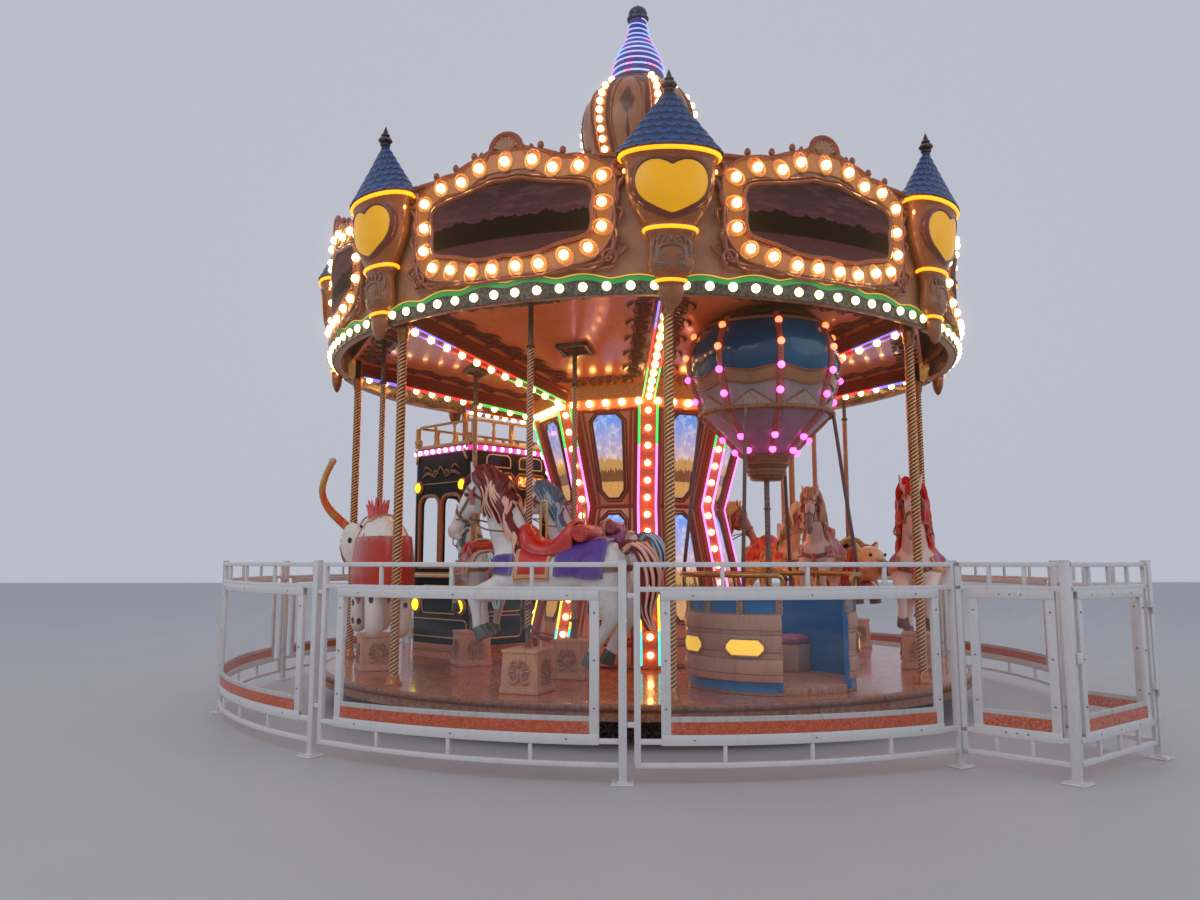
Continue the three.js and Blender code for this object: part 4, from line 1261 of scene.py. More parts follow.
def dome_pattern(net):
    """Panel colour with a darker traditional motif up its middle."""
    across, up, _ = net.parts(net.chart())
    middle = net.math("ABSOLUTE", net.math("SUBTRACT", across, 0.5))
    cloudy = net.math("MULTIPLY_ADD", net.noise(net.scaled(net.chart(), (14.0, 12.0, 1.0)), 1.0, 5.0), 0.7,
                      -0.35)
    arch = net.math("MINIMUM", net.math("MINIMUM", net.math("MULTIPLY_ADD", up, -2.2, 2.05),
                                        net.math("MULTIPLY_ADD", up, 2.0, -0.06)), 0.29)
    panel = net.steps(net.math("SUBTRACT", middle, arch), 0.015, -0.015)
    lozenge = net.math("ADD", net.math("ABSOLUTE", net.math("MULTIPLY_ADD", up, 6.0, -3.9)),
                       net.math("MULTIPLY", middle, 6.5))
    stem = net.math("ADD", net.math("ABSOLUTE", net.math("MULTIPLY_ADD", up, 5.0, -2.0)),
                    net.math("MULTIPLY", middle, 26.0))
    motif = net.steps(net.math("ADD", net.math("MINIMUM", lozenge, stem), cloudy), 1.0, 0.7)
    shade = net.mix(panel, paint("6a3626"),
                    net.mix(net.math("MULTIPLY_ADD", cloudy, 1.2, 0.4), paint("b8805c"), paint("96583a")))
    return net.mix(net.math("MULTIPLY", motif, 0.85), shade, paint("552a20")), None


def spire_pattern(net):
    """Blue, violet and pink glow that changes along the winding."""
    spots = net.noise(net.place(), 5.5, 2.0)
    colour = net.ramp(spots,
                      [(0.30, paint("3c4a80")), (0.45, paint("4a5088")), (0.55, paint("5c4a80")),
                       (0.66, paint("704880"))])
    return colour, None


def coil_glow(net):
    spots = net.noise(net.place(), 7.0, 1.0)
    return net.ramp(spots,
                    [(0.30, paint("a8c4ff")), (0.54, paint("9ab0ff")), (0.61, paint("d8a8f8")),
                     (0.66, paint("ff5aa0")),
                            (0.70, paint("7fe0b0"))])


def build_roof():
    dome = coat("dome_coat", "b0744c", 0.26, gloss=0.4, scale=3.0, variation=0.25, grime=0.3,
                pattern=dome_pattern)
    piece(dome_body(), "onion_dome_panels", dome, "canopy_tan", replaces=["onion_dome"], smooth=60)
    piece(dome_trim(), "onion_dome_ribs", MATERIALS["carved_trim"], "picture_gloss", smooth=60)
    piece(dome_lamps(), "onion_dome_lamps", LAMPS["warm"], "lamp_warm")
    # The spire cone's faint emission is painted light on a part that is no lamp
    body = coat("spire_coat", "5560c8", 0.3, gloss=0.3, scale=5, variation=0.3, grime=0.1,
                pattern=spire_pattern, glow="4a50c0", glow_strength=0.06)
    piece(spire_body(), "spire_cone", body, "spire_blue", replaces=["spire"], smooth=60)
    piece(spire_coil(chosen("coil_turns"), 20, chosen("coil_radius"), 0.002), "spire_lit_coil",
          led("led_coil", "9ab0ff", 0.9, wire=coil_glow), "led_blue", smooth=60)
    piece(ring((0, 0, 6.100), 0.266, 0.020, 64, 10), "spire_foot_ring", MATERIALS["turret_spike_coat"],
          "navy_gloss")
    piece(finial_body(), "finial_cap",
          coat("finial_coat", "25314c", 0.22, metallic=0.2, gloss=0.6, scale=8, grime=0.2), "navy_gloss",
          replaces=["finial"], smooth=40)
    piece(roof_seams(), "roof_battens", coat("roof_batten_coat", "6a4a3a", 0.5, scale=4, grime=0.5),
          "roof_skin")
    dress("roof", coat("roof_coat", "8a6048", 0.55, scale=1.2, variation=0.35, grime=0.6, bump=0.3))


# Centre column

COLUMN_LINE = [(1.052, 0.300), (1.060, 0.480), (0.790, 1.700), (1.030, 2.560), (1.030, 2.770)]
COLUMN_BENDS = (0.480, 1.700, 2.560)
FACE_SHARE = math.cos(HALF_BAY)
STRIP_HALF = 0.075
STRIP_LOW, STRIP_HIGH = 0.305, 2.575


def strip_plate(left, right, thickness, bevel):
    """Upright plate as high as a lamp strip."""
    return plate([(left, STRIP_LOW), (right, STRIP_LOW), (right, STRIP_HIGH), (left, STRIP_HIGH)], thickness,
                 bevel)


def column_corner(z):
    """Corner radius of the column at a height."""
    return radius_at(COLUMN_LINE, z)


def on_column(obj, share=1.0, back=0.0):
    """Lays an upright flat shape at plan angle 0 on the column's corner radius, or on a share of it."""
    heights = [v.co.z for v in obj.data.vertices]
    lines = [z for z in COLUMN_BENDS if min(heights) + 0.01 < z < max(heights) - 0.01]
    if lines:
        bisected(obj, lines, axis=2)
    return reshaped(obj, lambda co: (co.x, co.y - (column_corner(co.z) * share - back), co.z))


def on_face(obj):
    """Lays an upright flat shape against the column's face at plan angle 0."""
    return on_column(obj, FACE_SHARE)


def column_body():
    """Eight-sided waisted tower."""
    points = [(0, ON_DECK), *[(r - 0.004, max(z, ON_DECK)) for r, z in COLUMN_LINE], (0, COLUMN_TOP_Z)]
    obj = spun(points, 8)
    rounded(obj, 0.012, 2)
    return charted(obj, lambda co, face: (plan_angle(face.center) / 45, co.z))


def window_outline(low, high, half_low, half_high, cut=0.055):
    """Picture window with cut corners, narrower at its foot."""
    return [(-half_low + cut, low), (half_low - cut, low), (half_low, low + cut * 1.3), (half_high, high - cut),
            (half_high - cut, high), (-half_high + cut, high), (-half_high, high - cut),
            (-half_low, low + cut * 1.3)]


COLUMN_WINDOWS = [(1.775, 2.505, 0.104, 0.140), (0.700, 1.625, 0.150, 0.104)]


def column_pictures():
    made = []
    for low, high, half_low, half_high in COLUMN_WINDOWS:
        outline = window_outline(low, high, half_low, half_high)
        obj = plate(outline, 0.006)
        charted(obj, lambda co, face, low=low, high=high: (0.5 + co.x / 0.3, (co.z - low) / (high - low)))
        made.append(on_face(obj))
    return joined(made)


def column_window_frames():
    made = []
    for low, high, half_low, half_high in COLUMN_WINDOWS:
        outline = window_outline(low, high, half_low, half_high)
        for distance, radius, out in ((0.007, 0.013, 0.006), (0.036, 0.007, 0.003)):
            made.append(on_face(loop_tube(offset_loop(outline, distance), radius, out, 6)))
    return joined(made)


def column_mouldings():
    """Raised borders of the faces, sills and rolls beside the lamp strips."""
    made = []
    for side in (-1, 1):
        for share, radius in ((0.115, 0.016), (0.160, 0.010)):
            points = []
            for z in (0.32, 0.48, 1.09, 1.70, 2.13, 2.56):
                half = column_corner(z) * math.sin(HALF_BAY) - share
                points.append((side * half, -column_corner(z) * FACE_SHARE - 0.004, z))
            made.append(tube(points, radius, sides=7))
    for z, radius in ((0.315, 0.022), (0.50, 0.020), (0.545, 0.010), (1.70, 0.016), (2.545, 0.016)):
        half = column_corner(z) * math.sin(HALF_BAY) - 0.10
        y = -column_corner(z) * FACE_SHARE - 0.004
        made.append(bar((-half, y, z), (half, y, z), radius, sides=8))
    return joined(made)


def column_strips():
    """Channels at the corners that carry the lamps."""
    floor = strip_plate(-STRIP_HALF, STRIP_HALF, 0.030, 0.003)
    on_column(floor, back=0.030)
    walls = []
    for side in (-1, 1):
        edge = side * (STRIP_HALF + 0.004)
        wall = strip_plate(edge - 0.008, edge + 0.008, 0.056, 0.002)
        walls.append(on_column(wall, back=0.044))
    return joined([floor, *walls])


def strip_lamps():
    places = [z for z in (0.42 + 0.150 * i for i in range(15)) if z < 2.56]
    return lamp_row((0.026, 0.024, 0.026), [(0, -column_corner(z) - 0.012, z) for z in places])


def strip_tubes(low, high):
    """The pair of light tubes beside a corner's lamps, between two heights."""
    made = []
    levels = [low] + [z for z in (0.48, 1.70, 2.56) if low < z < high] + [high]
    for side in (-1, 1):
        points = [(side * (STRIP_HALF + 0.004), -column_corner(z) - 0.016, z) for z in levels]
        made.append(tube(points, 0.0105, sides=8))
    return joined(made)


COLUMN_LIGHTS = [
    (0.335, 0.62, "cyan", "3fd8d0", 1.6), (0.62, 0.95, "yellow", "f0d24a", 1.6),
    (0.95, 2.23, "magenta", "d77ae6", 2.0), (2.23, STRIP_HIGH, "green", "1fc860", 1.5),
]


def cove_panels():
    """Gold cove above the lamp row."""
    half = COLUMN_TOP * math.sin(HALF_BAY) - 0.004
    cove = plate([(-half, 2.645), (half, 2.645), (half, 2.768), (-half, 2.768)], 0.012, 0.003)
    shelf = block((-half, half), (-0.030, 0.0), (2.635, 2.652), 0.004)
    return on_face(joined([cove, shelf]))


def cove_lamps():
    return lamp_row(0.029, [(-0.31 + 0.155 * i, -COLUMN_TOP * FACE_SHARE - 0.022, 2.605) for i in range(5)])


def build_column():
    # The column's panels glow faintly: painted light on a part that is no lamp
    body = coat("column_coat", chosen("column_colour"), 0.20, gloss=0.6, scale=2.4, variation=0.3, grime=0.25,
                grime_colour="6a2a14", edge=0.4, edge_colour="e0a070", glow="b05c40", glow_strength=0.16)
    trim = coat("column_trim_coat", "963420", 0.22, gloss=0.5, scale=5, variation=0.35, grime=0.4,
                grime_colour="3c0f0a", edge=0.4, edge_colour="c96a4a")
    frame_coat = coat("window_frame_coat", "5c2418", 0.25, gloss=0.5, scale=7, grime=0.4, edge=0.4,
                      edge_colour="a8603c")
    piece(column_body(), "column_body", body, "column_panel", replaces=["centre_column"], smooth=25)
    piece(spread(column_mouldings(), BAY_MIDDLES), "column_mouldings", trim, "column_panel")
    piece(spread(column_window_frames(), BAY_MIDDLES), "column_window_frames", frame_coat, "picture_gloss")
    # The column's pictures glow with painted light, though they are no lamps
    piece(spread(column_pictures(), BAY_MIDDLES), "column_pictures",
          picture_finish("day_picture", "day", 0.30, 0.9), "picture_gloss")
    # The lamp strips glow with painted lamp light
    piece(spread(column_strips(), CORNERS), "column_lamp_strips",
          coat("strip_coat", "b03a22", 0.3, gloss=0.4, scale=6, variation=0.3, grime=0.3, glow="a02a10",
               glow_strength=0.25),
          "column_panel")
    piece(spread(strip_lamps(), CORNERS), "column_strip_lamps", LAMPS["warm"], "lamp_warm")
    for low, high, name, colour, strength in COLUMN_LIGHTS:
        piece(spread(strip_tubes(low, high), CORNERS), f"column_tubes_{name}",
              led(f"led_{name}", colour, strength), f"led_{name}")
    # The gold cove glows with painted lamp light
    gold = coat("cove_coat", "b86a30", 0.3, metallic=0.4, gloss=0.4, scale=5, grime=0.4, glow="e08a30",
                glow_strength=0.15)
    piece(spread(cove_panels(), BAY_MIDDLES), "column_cove", gold, "gold_metal")
    piece(spread(cove_lamps(), BAY_MIDDLES), "column_cove_lamps", LAMPS["warm"], "lamp_warm")


# Ceiling

CEILING_IN = COLUMN_TOP * FACE_SHARE
CEILING_OUT = CEILING_RIM * FACE_SHARE
CEILING_SLOPE = (CEILING_RIM_Z - COLUMN_TOP_Z) / (CEILING_OUT - CEILING_IN)


def ceiling_height(along):
    """Lower side of a ceiling panel at a distance from the axis, square to the panel's middle line."""
    return COLUMN_TOP_Z + (along - CEILING_IN) * CEILING_SLOPE


def on_panel(obj):
    """Lays a flat shape on the underside at plan angle 0: x runs across, z outward, -y down from it."""
    return reshaped(obj, lambda co: (co.x, -co.z, ceiling_height(co.z) + co.y))


def rib_height(along, drop):
    """Height below the ceiling's corner line, where a rib runs."""
    share = (along - COLUMN_TOP) / (CEILING_RIM - COLUMN_TOP)
    return COLUMN_TOP_Z + share * (CEILING_RIM_Z - COLUMN_TOP_Z) - drop


def rib_run(start, end, across, drop, radius, sides=8):
    return tube([(across, -along, rib_height(along, drop)) for along in (start, end)], radius, sides=sides)


RIB_IN = 1.050
RIB_OUT = 2.735


def rib_cover():
    """Moulded beam under a ceiling corner, at plan angle 0."""
    section = [(-0.060, 0.028), (-0.060, 0.052), (-0.050, 0.060), (-0.050, 0.120), (-0.058, 0.130),
               (-0.058, 0.146), (-0.046, 0.1535), (0.046, 0.1535), (0.058, 0.146), (0.058, 0.130),
               (0.050, 0.120), (0.050, 0.060), (0.060, 0.052), (0.060, 0.028)]
    count = len(section)
    points = [(x, -along, rib_height(along, drop)) for along in (RIB_IN, RIB_OUT) for x, drop in section]
    faces = [*loop_faces(count), tuple(range(count)), tuple(reversed(range(count, 2 * count)))]
    return outward(from_points(points, faces=faces))


def rib_lamps():
    places = [RIB_IN + 0.08 + (RIB_OUT - RIB_IN - 0.14) * i / 10 for i in range(11)]
    return lamp_row(0.028, [(0, -along, rib_height(along, 0.166)) for along in places])


RIB_LIGHTS = [(0.0, 0.36, "green"), (0.36, 0.76, "red"), (0.76, 1.0, "blue")]


def rib_tubes(low, high):
    start, end = (RIB_IN + 0.03 + (RIB_OUT - RIB_IN - 0.05) * share for share in (low, high))
    return joined([rib_run(start, end, side * 0.050, 0.150, 0.0085, 7) for side in (-1, 1)])


FAR_BAYS = [angle for angle in BAY_MIDDLES if 90 < angle < 270]


def edge_lamps():
    """Lamps along the ceiling's straight outer edge, fitted over the far half only."""
    along = 2.590
    return lamp_row(0.026, [(-0.96 + 0.16 * i, -along, ceiling_height(along) - 0.020) for i in range(13)])


def ceiling_sprig():
    """One motif of the carved ceiling border, before its place."""
    return joined([
        scroll((0.0, 0.0), 0.055, 1.3, 200, 0.006, 0.0085, 1, 5),
        scroll((0.075, 0.045), 0.034, 1.2, 20, 0.006, 0.007, -1, 5),
        leaf((0.02, -0.05), (0.075, -0.045), (0.12, 0.0), 0.006, 0.012, 5),
        leaf((0.0, 0.055), (0.035, 0.085), (0.085, 0.085), 0.006, 0.011, 5),
    ])


def ceiling_border():
    """Carved scrolls along the edges of one ceiling panel."""
    places = []
    tan_half = math.tan(HALF_BAY)
    for i in range(12):
        along = 1.15 + i * 0.121
        half = along * tan_half - 0.150
        for side in (-1, 1):
            mirror = Matrix.Scale(side, 4, (1, 0, 0))
            tilt = Matrix.Rotation(math.radians(-side * (22.5 + 180 * (i % 2))), 4, "Y")
            size = 1.05 + 0.25 * (i / 11)
            places.append(shift(side * half, 0, along) @ tilt @ mirror @ Matrix.Diagonal((size, 1, size, 1)))
    for along, count, size in ((1.09, 4, 0.9), (2.46, 9, 1.2)):
        half = along * tan_half - 0.22
        for k in range(count):
            x = -half + 2 * half * k / (count - 1)
            side = 1 if k < count / 2 else -1
            places.append(shift(x, 0, along) @ Matrix.Scale(side, 4, (1, 0, 0))
                          @ Matrix.Rotation(math.radians(90 if along < 2 else -90), 4, "Y")
                          @ Matrix.Diagonal((size, 1, size, 1)))
    return on_panel(outward(copied(ceiling_sprig(), places)))


def ceiling_ribbon():
    """Wavy-edged carved band under the sprigs, along all four edges of one ceiling panel."""
    tan_half = math.tan(HALF_BAY)
    steps = 48
    made = []
    for side in (-1, 1):
        outer = [(side * (along * tan_half - 0.075), along)
                 for along in (1.07 + 1.44 * i / steps for i in range(steps + 1))]
        inner = [(u - side * (0.105 + 0.030 * abs(math.sin(i * math.pi / 4))), z)
                 for i, (u, z) in enumerate(outer)]
        made.append(plate(outer + list(reversed(inner)), 0.006))
    for low, high, wave in ((1.060, 1.115, 0.030), (2.515, 2.430, -0.040)):
        half = low * tan_half - 0.10
        edge = [(-half + 2 * half * i / steps, low) for i in range(steps + 1)]
        wavy = [(u, high + wave * abs(math.sin(i * math.pi / 4))) for i, (u, _) in enumerate(edge)]
        made.append(plate(edge + list(reversed(wavy)), 0.006))
    return on_panel(outward(joined(made)))


def slot_frames(ring_radius):
    """Raised dark frame round the slot of each rod in one ring, for the panel at plan angle 0."""
    made = []
    for x, z in (((-0.14, 0.14), (-0.092, -0.062)), ((-0.14, 0.14), (0.062, 0.092)),
                 ((-0.14, -0.102), (-0.092, 0.092)), ((0.102, 0.14), (-0.092, 0.092))):
        made.append(block(x, (-0.034, 0.0), (z[0] + ring_radius, z[1] + ring_radius), 0.006, 1))
    return on_panel(joined(made))


def build_ceiling():
    # The ceiling panels glow faintly: painted light from the lamps
    panel = coat("ceiling_coat", chosen("ceiling_colour"), 0.15, gloss=0.5, scale=1.6, variation=0.3, grime=0.2,
                 grime_colour="6a2a14", edge=0.2, bump=0.06, change=0.12, glow="b8481c", glow_strength=0.07,
                 specular=0.5)
    dress("ceiling", panel)
    red = coat("rib_coat", "98241c", 0.25, gloss=0.5, scale=4, variation=0.35, grime=0.35,
               grime_colour="2a0806", edge=0.3, edge_colour="b8503c")
    piece(spread(rib_cover(), CORNERS), "ceiling_ribs", red, "ceiling_panel", smooth=40)
    piece(spread(rib_lamps(), CORNERS), "ceiling_rib_lamps", LAMPS["warm"], "lamp_warm")
    colours = {"green": ("led_green", "28c860", 1.5), "red": ("led_magenta", "e02c30", 1.5),
               "blue": ("led_blue", "6a6cf0", 1.8)}
    for low, high, name in RIB_LIGHTS:
        slot, colour, strength = colours[name]
        piece(spread(rib_tubes(low, high), CORNERS), f"ceiling_rib_tubes_{name}",
              led(f"led_rib_{name}", colour, strength), slot)
    piece(spread(edge_lamps(), FAR_BAYS), "ceiling_edge_lamps", LAMPS["warm"], "lamp_warm")
    piece(spread(ceiling_border(), BAY_MIDDLES), "ceiling_carvings",
          coat("ceiling_carving_coat", "6c2014", 0.3, gloss=0.4, scale=9, variation=0.4, grime=0.4, edge=0.4,
               edge_colour="a85038"), "ceiling_panel")
    piece(spread(ceiling_ribbon(), BAY_MIDDLES), "ceiling_border_bands",
          coat("ceiling_band_coat", "842c16", 0.3, gloss=0.4, scale=11, variation=0.5, grime=0.5,
               grime_colour="4a140a"),
          "ceiling_panel")
    dark = coat("slot_frame_coat", "38221c", 0.35, gloss=0.3, scale=9, grime=0.3)
    for name, ring_radius in (("outer", OUTER_RING), ("inner", INNER_RING)):
        piece(spread(slot_frames(ring_radius), ROD_ANGLES), f"slot_frames_{name}", dark, "ceiling_panel")


# Canopy frame and twisted poles

def twisted(radius, low, high, turns_per_metre, lobes, depth, sides, step):
    """Twisted pole round an upright line."""
    clear()
    levels = int((high - low) / step)
    bpy.ops.mesh.primitive_cone_add(vertices=sides, radius1=1, radius2=1, depth=1, end_fill_type="NOTHING")
    obj = bpy.context.object
    low_ring = [v.co.copy() for v in obj.data.vertices if v.co.z < 0]
    bpy.data.objects.remove(obj)
    low_ring.sort(key=lambda co: math.atan2(co.y, co.x))
    points, faces, phases = [], [], []
    for level in range(levels + 1):
        z = low + (high - low) * level / levels
        turn = 2 * math.pi * turns_per_metre * (z - low)
        for co in low_ring:
            angle = math.atan2(co.y, co.x)
            phase = 0.5 - 0.5 * math.cos(lobes * (angle - turn))
            reach = radius * (1 - depth * phase)
            points.append((reach * math.cos(angle), reach * math.sin(angle), z))
            phases.append(phase)
    for level in range(levels):
        for k in range(sides):
            a, b = level * sides + k, level * sides + (k + 1) % sides
            faces.append((a, b, b + sides, a + sides))
    faces.append(tuple(reversed(range(sides))))
    faces.append(tuple(range(levels * sides, (levels + 1) * sides)))
    obj = outward(from_points(points, faces=faces))
    # The chart holds the groove phase round the pole and the height; finishes read the phase for painted
    # highlight and shade
    layer = obj.data.uv_layers.new(name="chart")
    for loop in obj.data.loops:
        layer.data[loop.index].uv = (phases[loop.vertex_index], obj.data.vertices[loop.vertex_index].co.z)
    return obj


def twist_colours(ridge, groove):
    """Bright ridges and dark grooves along a twisted pole."""
    def colours(net):
        phase, _, _ = net.parts(net.chart())
        return net.mix(net.steps(phase, 0.30, 0.70), paint(ridge), paint(groove)), None

    return colours


def pole_collars():
    """Turned foot and top collars of a rim pole."""
    foot = spun([(0.033, 0.3005), (0.062, 0.3005), (0.062, 0.316), (0.048, 0.330), (0.044, 0.352),
                 (0.039, 0.372), (0.033, 0.380)], 24)
    top = spun([(0.033, 2.880), (0.040, 2.886), (0.046, 2.912), (0.042, 2.940), (0.050, 2.962), (0.050, 2.990),
                (0.033, 3.000)], 24)
    return joined([foot, top])


def build_poles():
    # Painted highlight on the ridges and painted shade in the grooves of the sleeves
    gold = coat("twisted_pole_coat", "b4703c", 0.24, metallic=0.5, gloss=0.3, scale=12, variation=0.3,
                grime=0.2, grime_colour="3a1c10", edge=0.2, edge_colour="e8b878", bump=0.1,
                pattern=twist_colours("f0b070", "281008"))
    plain = coat("pole_collar_coat", "b4703c", 0.24, metallic=0.65, gloss=0.3, scale=12, grime=0.4, edge=0.4)
    out = shift(0, -POLE_CIRCLE, 0)
    sleeve = moved(twisted(0.0378, 0.375, 2.885, chosen("pole_twist"), 4, 0.30, 20, 0.0085), out)
    piece(spread(sleeve, CORNERS), "rim_pole_sleeves", gold, "gold_metal", smooth=70)
    piece(spread(moved(pole_collars(), out), CORNERS), "rim_pole_collars", plain, "gold_metal", smooth=40)
    dress("canopy_frame", coat("canopy_frame_coat", "4a3a34", 0.45, metallic=0.5, scale=5, grime=0.4))


# Balloon gondola, made round its own upright axis with its doorway towards -Y

BALLOON_LINE = [
    (0.484, 2.300), (0.486, 2.330), (0.503, 2.420), (0.528, 2.490), (0.552, 2.560), (0.570, 2.640),
    (0.577, 2.710), (0.568, 2.780), (0.548, 2.850), (0.512, 2.925), (0.462, 2.995), (0.405, 3.050),
    (0.340, 3.095),
]
CONE_LINE = [(0.176, 1.998), (0.245, 2.070), (0.330, 2.155), (0.415, 2.235), (0.470, 2.290)]
# A rib each 45 degrees, half of that away from the doorway's middle
BALLOON_RIBS = [22.5 + 45 * k for k in range(8)]
HOOP_HEIGHT = 2.310
BASKET_BANDS = [(0.392, 0.540), (0.544, 0.702), (0.706, 0.838)]
DOOR_EDGE = math.degrees(math.asin(0.29 / 0.634))
DOOR_SPAN = (DOOR_EDGE, 360 - DOOR_EDGE)
POLE_ANGLES = (50, 130, 230, 310)


def gondola_placed(obj):
    return moved(obj, turn_z(GONDOLA_ANGLE) @ shift(0, -GONDOLA_CIRCLE, 0))


def under_ceiling(obj):
    """Keeps a shape below the sloping ceiling over the gondola."""
    return reshaped(obj, lambda co: (co.x, co.y, min(co.z, ceiling_height(GONDOLA_CIRCLE - co.y) - 0.012)))


def balloon_skin():
    """Envelope and lower cone, pulled in a little between the ribs."""
    line = [(0.176, 1.998)] + CONE_LINE[1:] + BALLOON_LINE
    dense = [(p.x, p.z) for p in curve_points([(r, 0, z) for r, z in line], 3)]
    obj = spun([(0, 1.996), *dense, (0.330, 3.100), (0, 3.102)], 96)
    for vertex in obj.data.vertices:
        near = abs(plan_angle(vertex.co) % 45 - 22.5) / 22.5
        pull = 1 - 0.020 * near ** 2
        vertex.co.x *= pull
        vertex.co.y *= pull
    charted(obj, lambda co, face: (plan_angle(face.center) / 45, co.z))
    return under_ceiling(obj)


def balloon_ribs():
    made = []
    for angle in BALLOON_RIBS:
        path = [polar(angle, r + 0.004, z) for r, z in BALLOON_LINE if z < 3.03]
        made.append(tube(curve_points(path, 3), 0.024, sides=8))
        path = [polar(angle, r + 0.003, z) for r, z in CONE_LINE]
        made.append(tube(path, 0.022, sides=8))
    return under_ceiling(joined(made))


def balloon_trim():
    """Dark lines of the wavy band, the zigzag above the hoop and the crown."""
    made = []
    for level, swing, radius in ((2.585, 0.016, 0.007), (2.490, 0.014, 0.007)):
        points = []
        for i in range(96):
            angle = i * 3.75
            z = level + swing * math.cos(math.radians(8 * (angle - 22.5)))
            points.append(polar(angle, radius_at(BALLOON_LINE, z) + 0.003, z))
        made.append(tube(points, radius, closed=True, sides=6))
    for k in range(8):
        for side in (-1, 1):
            points = []
            for i in range(7):
                share = i / 6
                angle = BALLOON_RIBS[k] + side * (2.5 + 20 * share)
                z = 2.325 + 0.105 * share
                points.append(polar(angle, radius_at(BALLOON_LINE, z) + 0.004, z))
            made.append(tube(points, 0.0075, sides=6))
    made.append(ring((0, 0, 2.972), 0.486, 0.014, 64, 8))
    return under_ceiling(joined(made))


def zigzag_trim():
    """Tan pennant band between the zigzag and the hoop."""
    steps = 96
    points = []
    for i in range(steps):
        angle = i * 360 / steps
        share = abs((angle - 22.5) / 22.5 % 2 - 1)
        high = 2.322 + 0.105 * (1 - share)
        for z in (2.305, high):
            points.append(polar(angle, radius_at(BALLOON_LINE, z) + 0.005, z))
    faces = [(2 * i, 2 * (i + 1) % (2 * steps), 2 * (i + 1) % (2 * steps) + 1, 2 * i + 1) for i in range(steps)]
    return modified(outward(from_points(points, faces=faces)), "SOLIDIFY", thickness=0.008, offset=0)


def crown_cap():
    """Dark crown under the ceiling."""
    obj = spun([(0, 3.016), (0.440, 3.016), (0.425, 3.040), (0.395, 3.066), (0.345, 3.100), (0, 3.104)], 64)
    return under_ceiling(obj)


def hoop_and_cup():
    """Brown hoop, and the two-stepped cup below the cone."""
    cup = spun([
        (0, 1.816), (0.112, 1.816), (0.124, 1.824), (0.128, 1.842), (0.148, 1.876), (0.150, 1.892),
        (0.146, 1.900), (0.160, 1.918), (0.172, 1.955), (0.176, 1.975), (0.180, 1.985), (0.180, 1.998),
        (0.150, 2.004), (0, 2.006),
    ], 40)
    rings = [ring((0, 0, z), r, 0.006, 48, 6) for z, r in ((1.858, 0.140), (1.935, 0.168), (1.992, 0.182))]
    hoop = ring((0, 0, HOOP_HEIGHT), 0.506, 0.0165, 80, 8)
    twine = [ball(polar(k * 10, 0.506, HOOP_HEIGHT), 0.021, 8, 6) for k in range(36)]
    return joined([cup, *rings, hoop, *twine])


def balloon_lamps(levels):
    return lamp_row(0.027, [
        polar(angle, radius_at(BALLOON_LINE if z > 2.3 else CONE_LINE, z) + 0.030, z)
        for z in levels for angle in BALLOON_RIBS])


def arc_sheet(radius, low, high, start, end, thickness, steps=48, bulge=0.0, slices=1):
    """Curved upright sheet between two angles; it may bulge outward between its edges."""
    points, faces = [], []
    for i in range(steps + 1):
        angle = start + (end - start) * i / steps
        for k in range(slices + 1):
            share = k / slices
            points.append(polar(angle, radius + bulge * math.sin(math.pi * share), low + (high - low) * share))
    for i in range(steps):
        for k in range(slices):
            a = i * (slices + 1) + k
            b = a + slices + 1
            faces.append((a, b, b + 1, a + 1))
    obj = outward(from_points(points, faces=faces))
    return modified(obj, "SOLIDIFY", thickness=thickness, offset=0)


def basket_planks():
    """Three bowed plank courses with grooves between them."""
    made = []
    for low, high in BASKET_BANDS:
        made.append(arc_sheet(0.617, low, high, *DOOR_SPAN, 0.020, 72, 0.010, 5))
    obj = rounded(joined(made), 0.003, 1)
    return charted(obj, lambda co, face: (co.z * 6.8, plan_angle(co) / 20))


def basket_blue():
    """Blue base band, the window band's panes, the lining and the bench back."""
    made = [
        arc_sheet(0.606, 0.322, 0.392, *DOOR_SPAN, 0.018, 72, -0.004, 3),
        arc_sheet(0.600, 0.842, 0.946, *DOOR_SPAN, 0.012, 72),
        arc_sheet(0.586, 0.352, 0.955, *DOOR_SPAN, 0.014, 72),
    ]
    for side in (-1, 1):
        edge = polar(side * (DOOR_EDGE + 1.6), 0.603)
        made.append(bar((edge.x, edge.y, 0.33), (edge.x, edge.y, 0.958), 0.021, sides=10))
    return joined(made)


def basket_posts():
    """Brown rim, sill and posts of the window band, grooves and the dark foot."""
    made = [
        arc_sheet(0.606, 0.946, 0.968, *DOOR_SPAN, 0.040, 72),
        arc_sheet(0.612, 0.836, 0.850, *DOOR_SPAN, 0.026, 72),
        arc_sheet(0.598, 0.302, 0.324, *DOOR_SPAN, 0.030, 72),
        arc_sheet(0.604, 0.386, 0.712, *DOOR_SPAN, 0.012, 72),
    ]
    span = DOOR_SPAN[1] - DOOR_SPAN[0]
    count = 12
    for i in range(count + 1):
        angle = DOOR_SPAN[0] + 1.2 + (span - 2.4) * i / count
        made.append(arc_sheet(0.612, 0.845, 0.950, angle - 2.2, angle + 2.2, 0.026, 3))
    return rounded(joined(made), 0.002, 1)


def basket_floor():
    obj = spun([(0, 0.3005), (0.590, 0.3005), (0.596, 0.320), (0.596, 0.3505), (0, 0.3505)], 64)
    return charted(obj, lambda co, face: (co.x * 10, co.y))


def basket_seat():
    """Bench across the back, without its cushion."""
    return rounded(arc_sheet(0.470, 0.352, 0.560, 112, 248, 0.200, 40), 0.008, 2)


